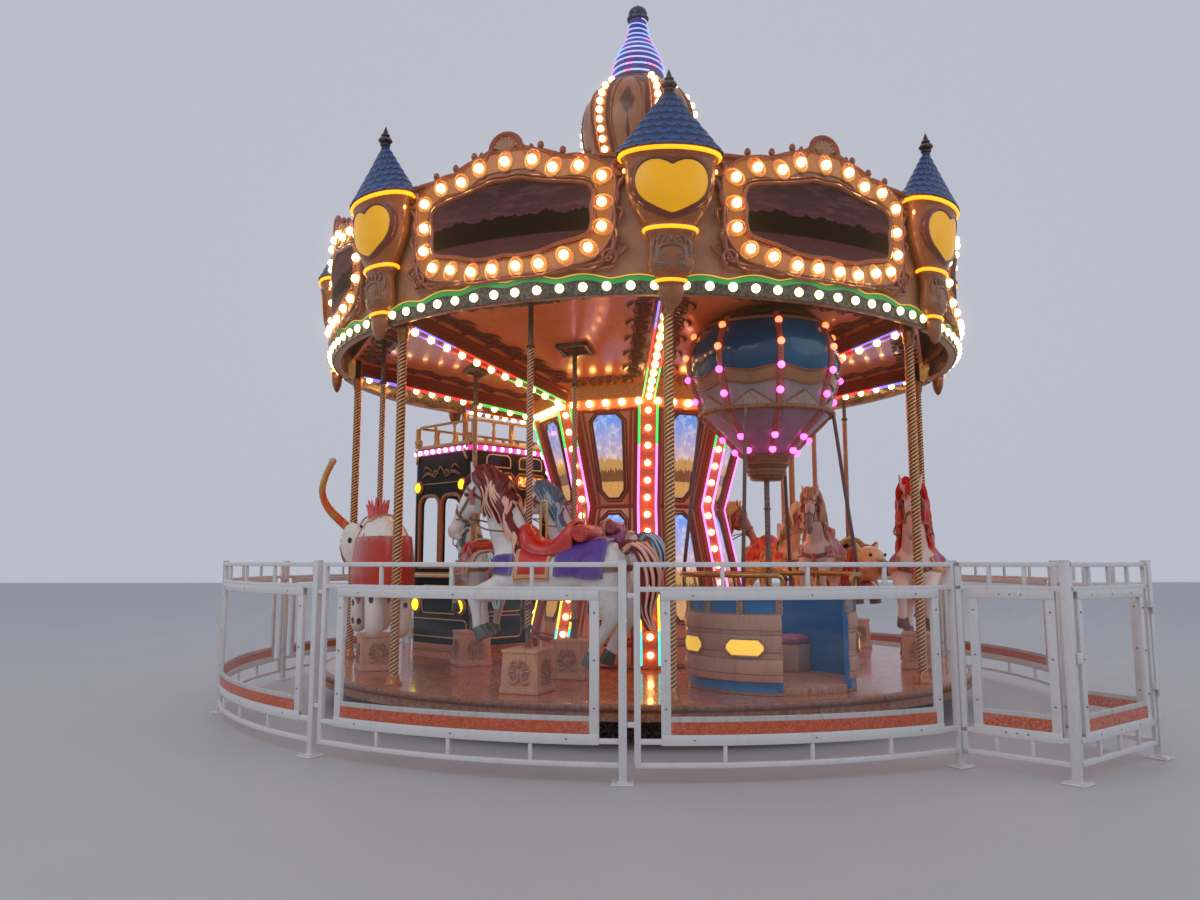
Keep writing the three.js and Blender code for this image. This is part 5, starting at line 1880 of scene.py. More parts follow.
def seat_cushion():
    """Padded curved cushion with piped edges."""
    start, end, channels = 113, 247, 5
    body = arc_sheet(0.468, 0.566, 0.622, start, end, 0.205, 44, 0.0, 2)
    rounded(body, 0.022, 4)
    for vertex in body.data.vertices:
        angle = plan_angle(vertex.co) % 360
        channel = abs(math.sin(math.radians((angle - start) / (end - start) * 180 * channels)))
        if vertex.co.z > 0.595:
            vertex.co.z += 0.016 * channel ** 0.6 - 0.004
    return body


def cushion_piping():
    made = []
    for radius in (0.368, 0.568):
        made.append(tube([polar(113.5 + 133 * i / 40, radius, 0.600) for i in range(41)], 0.006, sides=6))
    return joined(made)


def gondola_rails():
    """Hand rail with curled ends, its stems, and the tall poles to the hoop."""
    made = []
    start, end = DOOR_SPAN[0] + 3, DOOR_SPAN[1] - 3
    rail = [polar(start + (end - start) * i / 60, 0.652, 1.110) for i in range(61)]
    made.append(tube(rail, 0.0185, sides=10))
    for angle, flip in ((start, -1), (end, 1)):
        curl = []
        for i in range(15):
            turn = math.radians(i * 22)
            curl.append(polar(angle + flip * math.degrees(0.045 * math.sin(turn) / 0.652), 0.652,
                              1.110 - 0.045 * (1 - math.cos(turn))))
        made.append(tube(curl, 0.0185, sides=10, radii=[1 - 0.035 * i for i in range(15)]))
    for angle in POLE_ANGLES:
        made.append(ball(polar(angle, 0.646, 1.110), (0.027, 0.027, 0.024), 12, 8))
    for angle in (70, 90, 110, 150, 170, 190, 210, 250, 270, 290):
        made.append(bar(polar(angle, 0.614, 0.971), polar(angle, 0.650, 1.105), 0.008, sides=8))
    return joined(made)


def gondola_poles():
    """Slim poles from the basket's rim to the hoop."""
    made = []
    for angle in POLE_ANGLES:
        low, mid, high = polar(angle, 0.614, 0.971), polar(angle, 0.646,
                                                           1.110), polar(angle, 0.508, HOOP_HEIGHT - 0.004)
        made.append(tube(curve_points([low, mid, (mid + high) / 2, high], 6), 0.0145, sides=10))
    return joined(made)


def lamp_panel(half_width, half_height, cut):
    """Outline of a lantern with cut corners."""
    return [(-half_width + cut, -half_height), (half_width - cut, -half_height),
            (half_width, -half_height + cut), (half_width, half_height - cut), (half_width - cut, half_height),
            (-half_width + cut, half_height), (-half_width, half_height - cut),
            (-half_width, -half_height + cut)]


BASKET_LAMPS = [-50.5, -95.0, 180.0, 50.5, 95.0]


def basket_lamp_panes():
    made = []
    for angle in BASKET_LAMPS:
        obj = plate([(u, z + 0.620) for u, z in lamp_panel(0.135, 0.052, 0.040)], 0.012, 0.004)
        bisected(obj, [-0.10 + 0.05 * i for i in range(5)])
        for vertex in obj.data.vertices:
            vertex.co = polar(angle + math.degrees(vertex.co.x / 0.632), 0.632 - vertex.co.y, vertex.co.z)
        made.append(obj)
    return joined(made)


def basket_lamp_frames():
    made = []
    for angle in BASKET_LAMPS:
        outline = [(u, z + 0.620) for u, z in lamp_panel(0.142, 0.059, 0.043)]
        dense = []
        for i, (u, z) in enumerate(outline):
            after = outline[(i + 1) % len(outline)]
            for k in range(5):
                dense.append((u + (after[0] - u) * k / 5, z + (after[1] - z) * k / 5))
        points = [polar(angle + math.degrees(u / 0.636), 0.642, z) for u, z in dense]
        made.append(tube(points, 0.009, closed=True, sides=6))
    return joined(made)


def balloon_colours(net):
    """Blue above, a tan wavy band, lilac-grey below and lilac-pink on the cone."""
    across, up, _ = net.parts(net.chart())
    wave = net.math("MULTIPLY", net.math("COSINE", net.math("MULTIPLY_ADD", across, 2 * math.pi, math.pi)),
                    0.015)
    level = net.math("SUBTRACT", up, wave)
    panes = net.add("ShaderNodeTexWhiteNoise", {"W": net.math("FLOOR", net.math("ADD", across, 0.5))},
                    noise_dimensions="1D")
    blue = net.mix(net.math("MULTIPLY", panes, 0.5), paint("0c4464"), paint("2c7898"))
    blue = net.mix(net.steps(up, 2.968, 2.972), blue, paint("1c1612"))
    cone = net.mix(net.steps(up, 2.0, 2.3), paint("b4688e"), paint("a08088"))
    low = net.mix(net.steps(level, 2.300, 2.301), cone, paint("9c8884"))
    band = net.mix(net.steps(level, 2.490, 2.491), low, paint("a0704a"))
    return net.mix(net.steps(level, 2.585, 2.586), band, blue), None


def plank_colours(net):
    return grouped(net, "planks",
                   {"Chart": net.chart(), "Colour": paint("b98a70"), "Gap": paint("5a2a1a"), "Boards": 1.0,
                                   "Grain": 5.0}, ("Colour", "Height"))


def gondola_piece(obj, *finish, **more):
    """Sets a piece of the gondola in its place on the platform."""
    return piece(gondola_placed(obj), *finish, **more)


def build_balloon():
    skin = coat("balloon_coat", "14587a", 0.14, gloss=0.35, scale=2.0, variation=0.25, grime=0.2, edge=0.1,
                bump=0.05, pattern=balloon_colours, specular=0.25)
    brown = coat("balloon_brown_coat", "84502c", 0.3, gloss=0.35, scale=7, variation=0.4, grime=0.5, edge=0.5,
                 edge_colour="c08850")
    gondola_piece(balloon_skin(), "balloon_skin", skin, "balloon_skin", replaces=["balloon"], smooth=60)
    # The balloon's ribs glow with painted light, though they are no lamps
    gondola_piece(balloon_ribs(), "balloon_ribs",
          coat("balloon_rib_coat", "8c3420", 0.25, gloss=0.5, scale=6, grime=0.4, glow="a02818",
               glow_strength=0.15),
          "picture_gloss", smooth=60)
    gondola_piece(balloon_trim(), "balloon_lines", brown, "gold_metal")
    gondola_piece(zigzag_trim(), "balloon_zigzag_band",
                  coat("zigzag_coat", "947a70", 0.3, gloss=0.3, scale=6, grime=0.3),
          "canopy_tan")
    gondola_piece(crown_cap(), "balloon_crown", coat("crown_coat", "241a14", 0.25, gloss=0.5, scale=4),
                  "balloon_skin")
    gondola_piece(hoop_and_cup(), "balloon_hoop_and_cup", brown, "gold_metal", smooth=45)
    post = joined([bar((0, 0, 0.351), (0, 0, 1.820), 0.021, sides=16), ring((0, 0, 1.60), 0.022, 0.008, 24, 8),
                   spun([(0, 0.3508), (0.060, 0.3508), (0.056, 0.366), (0.030, 0.376), (0.022, 0.40),
                         (0, 0.40)], 24)])
    gondola_piece(post, "balloon_post",
                  coat("post_coat", "5a2a24", 0.25, metallic=0.3, gloss=0.5, scale=8, grime=0.3),
          "gold_metal", smooth=45)
    gondola_piece(balloon_lamps((2.93, 2.76)), "balloon_lamps_orange", lamp("lamp_orange", "ff6a30", 3.0),
          "lamp_warm")
    gondola_piece(balloon_lamps((2.59, 2.42, 2.125, 2.03)), "balloon_lamps_pink",
                  lamp("lamp_pink", "ff50c8", 3.0),
          "led_magenta")


def build_basket():
    planks = coat("plank_coat", "b98a70", 0.3, gloss=0.35, scale=4, variation=0.3, grime=0.3,
                  grime_colour="6a3a24", edge=0.3, pattern=plank_colours, bump=0.3)
    gondola_piece(basket_planks(), "basket_planks", planks, "basket_panel", replaces=["gondola_basket"])
    gondola_piece(basket_blue(), "basket_blue_bands",
          coat("basket_blue_coat", chosen("basket_colour"), 0.2, gloss=0.5, scale=3, variation=0.15, grime=0.15,
               edge=0.0, bump=0.05), "balloon_skin")
    gondola_piece(basket_posts(), "basket_rims",
          coat("basket_brown_coat", "8a5234", 0.3, gloss=0.4, scale=7, variation=0.35, grime=0.4, edge=0.5),
          "gold_metal")
    gondola_piece(basket_floor(), "basket_floor",
          coat("basket_floor_coat", "8a5a3c", 0.4, scale=5, grime=0.5, pattern=plank_colours), "deck")
    gondola_piece(basket_seat(), "basket_bench",
          coat("bench_coat", "c49a80", 0.3, gloss=0.3, scale=5, grime=0.3), "basket_panel")
    cushion = gondola_piece(seat_cushion(), "basket_cushion",
                    coat("cushion_coat", "c87890", 0.45, scale=9, variation=0.3, grime=0.2, bump=0.4),
                    "tack_red")
    gondola_piece(cushion_piping(), "basket_cushion_piping", coat("piping_coat", "a04860", 0.4, scale=12),
                  "tack_red")
    gold = coat("rail_gold_coat", "b07a3c", 0.22, metallic=0.75, gloss=0.3, scale=9, variation=0.35, grime=0.4,
                edge=0.5, edge_colour="f0c888")
    gondola_piece(gondola_rails(), "gondola_rails", gold, "gold_metal", replaces=["gondola_frame"], smooth=50)
    gondola_piece(gondola_poles(), "gondola_poles", MATERIALS["post_coat"], "gold_metal", smooth=50)
    gondola_piece(basket_lamp_panes(), "basket_lamp_panes", led("led_lantern", "dcb040", 1.0), "led_yellow")
    gondola_piece(basket_lamp_frames(), "basket_lamp_frames", MATERIALS["basket_brown_coat"], "gold_metal")


# Platform, rod boxes and base

BOX_HALF = 0.150
BOX_TOP = 0.600
SECTORS = 16


def deck_boards():
    """Top plates of the platform, with narrow joints between them."""
    made = []
    half = 180 / SECTORS
    joint = 0.003
    for low, high in ((0.30, 1.62), (1.625, 2.905)):
        points = []
        for radius, order in ((high, 1), (low, -1)):
            gap = math.degrees(joint / 2 / radius)
            for k in range(9)[::order]:
                points.append(polar(-half + gap + (2 * half - 2 * gap) * k / 8, radius, 0.2905))
        obj = from_points(points, faces=[list(range(len(points)))])
        extruded(obj, (0, 0, 0.0095))
        made.append(rounded(obj, 0.0015, 1))
    return charted(spread(joined(made), [i * 360 / SECTORS for i in range(SECTORS)]), lambda co, face: (
        math.hypot(co.x, co.y) / 0.145, plan_angle(face.center) / 22.5))


def deck_body():
    """Disc below the plates with its rounded nosing and edge band."""
    return spun([
        (0, 0.1903), (2.930, 0.1903), (2.938, 0.196), (2.938, 0.246), (2.930, 0.252), (2.930, 0.258),
        (2.944, 0.264), (2.950, 0.274), (2.950, 0.290), (2.944, 0.298), (2.930, 0.300), (2.908, 0.2995),
        (2.908, 0.289), (0, 0.289),
    ], 128)


def box_body():
    """One stone-like box with plinth, cap and the guide for its rod."""
    parts = [block((-0.138, 0.138), (-0.138, 0.138), (0.330, 0.580), 0.010, 3)]
    for vertex in parts[0].data.vertices:
        taper = 1.045 - 0.09 * (vertex.co.z - 0.30) / 0.30
        vertex.co.x *= taper
        vertex.co.y *= taper
    parts.append(block((-BOX_HALF, BOX_HALF), (-BOX_HALF, BOX_HALF), (ON_DECK, 0.340), 0.008, 2))
    parts.append(block((-0.145, 0.145), (-0.145, 0.145), (0.338, 0.352), 0.006, 2))
    parts.append(block((-0.140, 0.140), (-0.140, 0.140), (0.572, BOX_TOP), 0.008, 2))
    drill = bar((0, 0, 0.332), (0, 0, 0.64), 0.0213, sides=24)
    for part in parts:
        modified(part, "BOOLEAN", object=drill, operation="DIFFERENCE", solver="EXACT")
    bpy.data.objects.remove(drill)
    return joined(parts)


def box_carving():
    """Scroll relief on the four sides of a box, and a collar round the rod's guide."""
    motif = joined([
        scroll((-0.038, 0.500), 0.036, 1.4, 200, 0.138, 0.0085, 1, 5),
        scroll((0.038, 0.500), 0.036, 1.4, -20, 0.138, 0.0085, -1, 5),
        scroll((-0.050, 0.420), 0.030, 1.3, 160, 0.143, 0.0075, -1, 5),
        scroll((0.050, 0.420), 0.030, 1.3, 20, 0.143, 0.0075, 1, 5),
        leaf((0, 0.535), (0.004, 0.505), (0, 0.470), 0.138, 0.012, 5),
        leaf((-0.018, 0.462), (-0.055, 0.452), (-0.088, 0.462), 0.141, 0.009, 5),
        leaf((0.018, 0.462), (0.055, 0.452), (0.088, 0.462), 0.141, 0.009, 5),
        leaf((0, 0.452), (-0.004, 0.415), (0, 0.380), 0.144, 0.011, 5),
        leaf((-0.085, 0.385), (-0.045, 0.372), (-0.010, 0.385), 0.145, 0.008, 5),
        leaf((0.085, 0.385), (0.045, 0.372), (0.010, 0.385), 0.145, 0.008, 5),
    ])
    sides = copied(motif, [turn_z(90 * k) for k in range(4)])
    return joined([outward(sides), ring((0, 0, 0.6035), 0.031, 0.0065, 28, 8)])


def box_places():
    return [turn_z(angle) @ shift(0, -radius, 0) for radius in (OUTER_RING, INNER_RING) for angle in ROD_ANGLES]


def deck_colours(net):
    return grouped(net, "planks",
                   {"Chart": net.chart(), "Colour": paint("b85c28"), "Gap": paint("6a3418"), "Boards": 1.0,
                                   "Grain": 9.0}, ("Colour", "Height"))


def build_platform():
    deck = coat("deck_coat", chosen("deck_colour"), 0.17, gloss=0.5, scale=2.2, variation=0.25, grime=0.4,
                grime_colour="3c1c10", edge=0.3, pattern=deck_colours, bump=0.10, change=0.15)
    edge = coat("deck_edge_coat", "8c4c28", 0.32, gloss=0.3, scale=2.5, variation=0.25, grime=0.5,
                grime_colour="2e160c", edge=0.4)
    stone = coat("stone_box_coat", "cf9470", 0.5, scale=6, variation=0.3, grime=0.45, grime_colour="7a4a36",
                 edge=0.4, edge_colour="e6c8b4", bump=0.35)
    piece(deck_body(), "platform_disc", edge, "deck", replaces=["platform"], smooth=40)
    piece(deck_boards(), "platform_plates", deck, "deck")
    piece(copied(box_body(), box_places()), "rod_boxes", stone, "trim_peach")
    piece(copied(box_carving(), box_places()), "rod_box_carvings",
          coat("box_carving_coat", "b07a5c", 0.5, scale=9, variation=0.3, grime=0.5, edge=0.5,
               edge_colour="c08e74"),
          "trim_peach")
    # The frame's near-black paint also stands in for the shade under the deck
    dress("base_frame", coat("base_frame_coat", "1c1a1a", 0.6, metallic=0.3, scale=4, grime=0.5))


# Fence

TUBE = 0.028
TIE = 0.022
POST = 0.045
LEVELS = {"bottom": (0.085, 0.113), "low": (0.210, 0.238), "second": (1.035, 1.063), "top": (1.172, 1.200)}
STILE = 0.054
BAY_HALF = math.radians(FENCE_SPAN) * FENCE_RADIUS / 2
PANEL_INSET = 0.112
HINGE_X = PORCH_HALF - POST / 2 - 0.003
HINGE_Y = -PORCH_REACH - POST / 2 - 0.012
HINGE_LEVELS = (0.380, 0.880)
HINGE_LENGTH = 0.040


def member(u, z, depth=TUBE):
    return block(u, (-depth / 2, depth / 2), z, 0.0035, 2)


def fence_members(left, right, left_end, right_end, inset, ties):
    """Rails, ties, stiles and end uprights of one panel, flat."""
    made = [member((left, right), LEVELS[name]) for name in ("top", "second", "bottom", "low")]
    for k in range(ties):
        u = left + (right - left) * (k + 1) / (ties + 1)
        made.append(member((u - TIE / 2, u + TIE / 2), (1.062, 1.173), TIE))
        made.append(member((u - TIE / 2, u + TIE / 2), (0.112, 0.211), TIE))
    low, high = left + left_end + inset, right - right_end - inset
    for u in ((low, low + STILE), (high - STILE, high)):
        made.append(member(u, (0.236, 1.037)))
    made.append(member((low, high), (0.204, 0.262), 0.034))
    made.append(member((low, high), (0.988, 1.040), 0.034))
    if left_end:
        made.append(member((left, left + left_end), (0.085, 1.200)))
    if right_end:
        made.append(member((right - right_end, right), (0.085, 1.200)))
    return joined(made), (low, high)


def glazing(low, high):
    return block((low + STILE - 0.008, high - STILE + 0.008), (-0.004, 0.004), (0.258, 0.992), 0.001, 1)


def stripe(low, high):
    return block((low + STILE * 0.6, high - STILE * 0.6), (-0.0125, 0.0125), (0.263, 0.328), 0.002, 1)


def sill(low, high):
    """Pale strip above the coloured one."""
    return block((low + STILE - 0.004, high - STILE + 0.004), (-0.010, 0.010), (0.328, 0.356), 0.002, 1)


def rivets(low, high):
    """Rivet heads on both faces of a panel's channels and stiles."""
    head = bar((0, 0.0185, 0), (0, -0.0185, 0), 0.0052, sides=8)
    spots = []
    for u in (low + 0.18, (low + high) / 2, high - 0.18):
        spots += [(u, 0.234), (u, 1.014)]
    for u in (low + STILE / 2, high - STILE / 2):
        spots += [(u, 0.40), (u, 0.66), (u, 0.92)]
    return copied(head, [shift(u, 0, z) for u, z in spots])


def fillings(low, high):
    """What a panel holds between its frame's uprights."""
    return [make(low, high) for make in (glazing, stripe, sill, rivets)]


def fence_post(x, y):
    """Square post with a capped top on its bolted foot plate."""
    half, foot = POST / 2, 0.065
    parts = [block((x - half, x + half), (y - half, y + half), (0.006, 1.206), 0.004, 2),
             block((x - half - 0.001, x + half + 0.001), (y - half - 0.001, y + half + 0.001), (1.204, 1.212),
                   0.003, 2),
             block((x - foot, x + foot), (y - foot, y + foot), (0.0, 0.010), 0.003, 1),
             block((x - half - 0.006, x + half + 0.006), (y - half - 0.006, y + half + 0.006), (0.008, 0.016),
                   0.003, 1)]
    for bolt_x in (x - 0.047, x + 0.047):
        for bolt_y in (y - 0.047, y + 0.047):
            parts.append(bar((bolt_x, bolt_y, 0.009), (bolt_x, bolt_y, 0.019), 0.009, sides=6))
    return joined(parts)


def bay_parts():
    """Frame, glass, stripe, sill and rivets of one curved bay whose middle is at plan angle 0."""
    left, right = -BAY_HALF + POST / 2 + 0.040, BAY_HALF - POST / 2 + 0.004
    frame_flat, (low, high) = fence_members(left, right, 0.037, 0.0, PANEL_INSET, 3)
    lugs = [member((-BAY_HALF + POST / 2 + 0.0004, left + 0.008), (z, z + TUBE)) for z in (0.300, 1.000)]
    frame_flat = joined([frame_flat, *lugs])
    lines = [left + (right - left) * (i + 1) / 16 for i in range(15)]
    curved = []
    for obj in (frame_flat, *fillings(low, high)):
        curved.append(bent(bisected(obj, lines), FENCE_RADIUS))
    post = moved(fence_post(0, -FENCE_RADIUS), turn_z(FENCE_SPAN / 2))
    curved[0] = joined([curved[0], post])
    return curved


def wall_parts(side, with_ring_post):
    """The same parts of one straight porch wall, in the porch's frame."""
    start = Vector((side * FENCE_RADIUS * math.sin(math.radians(PORCH_SPAN / 2)),
                    -FENCE_RADIUS * math.cos(math.radians(PORCH_SPAN / 2)), 0))
    end = Vector((side * PORCH_HALF, -PORCH_REACH, 0))
    along = end - start
    place = Matrix.Translation(start) @ Matrix.Rotation(math.atan2(along.y, along.x), 4, "Z")
    left, right = POST / 2 - 0.004 + (0.005 if side < 0 else 0), along.length - POST / 2 + 0.004
    flat, (low, high) = fence_members(left, right, 0.034, 0.0, PANEL_INSET * 0.35, 2)
    parts = [moved(obj, place) for obj in (flat, *fillings(low, high))]
    posts = [fence_post(end.x, end.y)]
    if with_ring_post:
        posts.append(moved(fence_post(0, -FENCE_RADIUS), turn_z(PORCH_SPAN / 2)))
        for z in HINGE_LEVELS:
            posts += [bar((HINGE_X, HINGE_Y, z), (HINGE_X, HINGE_Y, z + HINGE_LENGTH), 0.010, sides=16),
                      block((HINGE_X, HINGE_X + 0.024), (HINGE_Y - 0.005, -PORCH_REACH - POST / 2 + 0.004),
                            (z, z + HINGE_LENGTH), 0.002, 1)]
    parts[0] = joined([parts[0], *posts])
    return parts


def gate_parts():
    """Gate leaf with its hinge halves, latch and pull."""
    right = PORCH_HALF - POST / 2 - 0.006
    flat, (low, high) = fence_members(-right, right, TUBE, TUBE, PANEL_INSET * 0.4, 3)
    extras = []
    hinge_y = HINGE_Y + PORCH_REACH
    for z in HINGE_LEVELS:
        foot, top = z + 0.0403, z + 0.0803
        extras += [bar((HINGE_X, hinge_y, foot), (HINGE_X, hinge_y, top), 0.010, sides=16),
                   block((HINGE_X - 0.040, HINGE_X), (hinge_y - 0.005, -TUBE / 2 + 0.004), (foot, top), 0.002,
                         1)]
    pull_y, pull_z, pull_end = -TUBE / 2 - 0.012, 0.670, -right + 0.100
    extras += [block((-right, -right + 0.060), (-TUBE / 2 - 0.020, -TUBE / 2 + 0.002), (0.640, 0.700), 0.005,
                     2),
               bar((-right + 0.004, pull_y, pull_z), (pull_end, pull_y, pull_z), 0.006),
               ball((pull_end, pull_y, pull_z), 0.010, 12, 8)]
    parts = [joined([flat, *extras]), *fillings(low, high)]
    return [moved(obj, shift(0, -PORCH_REACH, 0)) for obj in parts]


def glass_finish():
    """Clear panel with faint smears; mostly see-through."""
    def film(net):
        smears = net.noise(net.scaled(net.place(), (1.5, 1.5, 4.0)), 2.0, 4.0)
        return net.math("MULTIPLY_ADD", net.steps(smears, 0.35, 0.75), 0.04, 0.025)

    return coat("fence_glass_coat", "cfd2da", 0.06, gloss=0.6, scale=2, variation=0.1, grime=0.1,
                grime_colour="b0a8a0", edge=0.0, bump=0.02, change=0.06, alpha=film)


def build_fence():
    white = coat("fence_white_coat", chosen("fence_colour"), 0.32, gloss=0.3, scale=3, variation=0.06,
                 grime=0.14, grime_colour="9a8f88", edge=0.2, edge_colour="b4aeaa", bump=0.06)
    orange = coat("stripe_coat", "c4491a", 0.35, gloss=0.3, scale=5, variation=0.25, grime=0.3,
                  grime_colour="6a2a10")
    pale = coat("sill_coat", "c2c0be", 0.3, scale=4, grime=0.3)
    rivet = coat("rivet_coat", "5a5652", 0.4, metallic=0.8, scale=20, grime=0.3)
    finishes = [(white, "fence_white"), (glass_finish(), "fence_glass"), (orange, "stripe_orange"),
                (pale, "fence_white"), (rivet, "frame_steel")]
    gathered = [[] for _ in finishes]
    bays = []
    for porch in (PORCH_ANGLE, PORCH_ANGLE + 180):
        bays += [porch + PORCH_SPAN / 2 + FENCE_SPAN * (k + 0.5) for k in range(5)]
    for kind, obj in enumerate(bay_parts()):
        gathered[kind] = turned_copies(obj, bays)
    for number, obj in enumerate(gathered[0], 1):
        piece(obj, f"fence_bay_frame_{number}", white, "fence_white", "root", [f"fence_bay_{number}"])
    for gate, angle in (("entrance", PORCH_ANGLE), ("exit", PORCH_ANGLE + 180)):
        for side, word in ((-1, "left"), (1, "right")):
            for kind, obj in enumerate(wall_parts(side, side > 0)):
                moved(obj, turn_z(angle))
                if kind == 0:
                    piece(obj, f"{gate}_wall_frame_{word}", white, "fence_white", "root",
                          [f"{gate}_wall_{word}"])
                else:
                    gathered[kind].append(obj)
        for kind, obj in enumerate(gate_parts()):
            moved(obj, turn_z(angle))
            material, slot = finishes[kind]
            word = ("frame", "glass", "stripe", "sill", "rivets")[kind]
            piece(obj, f"{gate}_gate_{word}", material, slot, f"{gate}_gate_leaf",
                  [f"{gate}_gate"] if kind == 0 else ())
    for kind, word in ((1, "glass"), (2, "stripes"), (3, "sills"), (4, "rivets")):
        material, slot = finishes[kind]
        piece(joined(gathered[kind]), f"fence_{word}", material, slot, "root")


# Tram: built along x on the near side, then turned to its place

TRAM_LOW, TRAM_HIGH = ON_DECK, 2.400
TRAM_MIDDLE = (TRAM_INNER + TRAM_OUTER) / 2
TRAM_END_HALF = (TRAM_OUTER - TRAM_INNER) / 2
SIDE_WINDOWS = [(-0.90, -0.35), (0.35, 0.90)]
END_WINDOWS = [(-0.345, -0.030), (0.030, 0.345)]
SIDE_LEVELS = (1.020, 1.910)
END_LEVELS = (1.150, 1.880)
DOORWAY = (-0.29, 0.29)
UPPER_LIGHTS = (-0.66, -0.22, 0.22, 0.66)


def plan_loop(inset, corner=0.11, steps=6):
    """Rounded plan outline of the tram, moved inward by an inset."""
    made = []
    half_x, half_y, radius = TRAM_HALF - inset, TRAM_END_HALF - inset, max(corner - inset, 0.01)
    for cx, cy, start in ((1, 1, 0), (-1, 1, 90), (-1, -1, 180), (1, -1, 270)):
        for k in range(steps + 1):
            angle = math.radians(start + 90 * k / steps)
            made.append((cx * (half_x - radius) + radius * math.cos(angle),
                         -TRAM_MIDDLE + cy * (half_y - radius) + radius * math.sin(angle)))
    return made


def plan_prism(inset, low, high, corner=0.11):
    points = [(x, y, low) for x, y in plan_loop(inset, corner)]
    obj = from_points(points, faces=[list(range(len(points)))])
    return extruded(obj, (0, 0, high - low))


def plan_band(inset, low, high, depth, bevel=0.004):
    """Moulding that runs round the tram."""
    outer, inner = plan_loop(inset), plan_loop(inset + depth)
    points = [(x, y, low) for x, y in outer + inner]
    obj = extruded(from_points(points, faces=loop_faces(len(outer))), (0, 0, high - low))
    return rounded(obj, bevel, 2) if bevel else obj


def arch(u, z, crown=0.09, steps=5, foot=0.0):
    """Outline of an opening: square or rounded at its foot and rounded at its top."""
    made = []
    corners = [(u[1], z[1], 0, crown), (u[0], z[1], 90, crown), (u[0], z[0], 180, foot),
               (u[1], z[0], 270, foot)]
    for cu, cz, start, radius in corners:
        if radius:
            inward_u, inward_z = (-1 if cu == u[1] else 1), (-1 if cz == z[1] else 1)
            for k in range(steps + 1):
                angle = math.radians(start + 90 * k / steps)
                made.append((cu + inward_u * radius + radius * math.cos(angle),
                             cz + inward_z * radius + radius * math.sin(angle)))
        else:
            made.append((cu, cz))
    return made


def to_end(obj, side):
    return moved(obj, shift(side * TRAM_HALF, -TRAM_MIDDLE, 0) @ turn_z(90 * side))


def to_side(obj, inner):
    return moved(obj, shift(0, -TRAM_INNER, 0) @ turn_z(180) if inner else shift(0, -TRAM_OUTER, 0))


def both_ends(obj):
    """Copies an end's shape to both ends."""
    return joined([to_end(twin_of(obj), 1), to_end(obj, -1)])


def opening(outline, depth=0.2):
    return moved(plate(outline, depth), shift(0, depth / 2, 0))


def long_sides(obj):
    """Copies a side's shape to both long sides."""
    return joined([to_side(twin_of(obj), True), to_side(obj, False)])


def tram_shell():
    shell = rounded(plan_prism(0.0, TRAM_LOW, TRAM_HIGH), 0.018, 2)
    cutters = [plan_prism(0.040, 0.3603, 2.340)]
    for side in (-1, 1):
        for u in END_WINDOWS:
            cutters.append(to_end(opening(arch(u, END_LEVELS, 0.10)), side))
    for inner in (True, False):
        for u in SIDE_WINDOWS:
            cutters.append(to_side(opening(arch(u, SIDE_LEVELS, 0.10)), inner))
    cutters.append(to_side(opening(arch(DOORWAY, SIDE_LEVELS, 0.10)), True))
    cutters.append(to_side(opening(arch(DOORWAY, (0.3603, 2.140), 0.16)), False))
    for cutter in cutters:
        modified(shell, "BOOLEAN", object=cutter, operation="DIFFERENCE", solver="EXACT")
        bpy.data.objects.remove(cutter)
    return outward(shell)


def window_frames():
    """Thick rounded frames of the end windows and thinner ones along the sides."""
    ends = both_ends(joined([
        loop_tube(offset_loop(arch(u, END_LEVELS, 0.10), 0.012), 0.021, 0.004, 8) for u in END_WINDOWS]))
    long = [loop_tube(offset_loop(arch(u, SIDE_LEVELS, 0.10), 0.008), 0.013, 0.004, 8) for u in SIDE_WINDOWS]
    window = loop_tube(offset_loop(arch(DOORWAY, SIDE_LEVELS, 0.10), 0.008), 0.013, 0.004, 8)
    door = tube([(u, -0.006, z) for u, z in arch((-0.30, 0.30), (0.302, 2.150), 0.16)[:14]], 0.016, sides=8)
    inner = to_side(joined([twin_of(long[0]), twin_of(long[1]), window]), True)
    return ends, joined([inner, to_side(joined([*long, door]), False)])


def arched_windows():
    """Frames and panes of the small arched windows on one side."""
    frames, panes = [], []
    for u in UPPER_LIGHTS:
        outline = arch((u - 0.160, u + 0.160), (2.175, 2.300), 0.055, 4, 0.012)
        frames.append(loop_tube(outline, 0.0075, 0.006, 6))
        panes.append(plate(outline, 0.004))
    return joined(frames), joined(panes)


def lanterns():
    """Rims and glowing panes of the lanterns below the arched windows on one side."""
    rims, glows = [], []
    for u in UPPER_LIGHTS:
        outline = [(u + a, 2.042 + b) for a, b in (
            (0.205, 0.035), (0.165, 0.078), (-0.165, 0.078), (-0.205, 0.035), (-0.205, -0.035),
            (-0.165, -0.078), (0.165, -0.078), (0.205, -0.035))]
        rims += [loop_tube(outline, 0.011, 0.010, 8), loop_tube(offset_loop(outline, -0.024), 0.006, 0.012, 6)]
        glows.append(plate(offset_loop(outline, -0.030), 0.008, 0.002))
    return joined(rims), joined(glows)


def end_lamp(u, z, size):
    """Round lamp with its turned bezel; the pane is returned apart."""
    bezel = spun([(0, 0), (size * 1.35, 0), (size * 1.40, 0.010), (size * 1.25, 0.026), (size * 1.05, 0.034),
                  (size, 0.022), (0, 0.020)], 32)
    pane = spun([(0, 0.018), (size, 0.018), (size * 0.95, 0.030), (size * 0.6, 0.044), (0, 0.050)], 24)
    place = shift(u, 0, z) @ Matrix.Rotation(math.radians(90), 4, "X")
    return moved(bezel, place), moved(pane, place)


def panel_lines(u, z, corner=0.045):
    return loop_tube(arch(u, z, corner, 4, corner), 0.006, 0.002, 6)


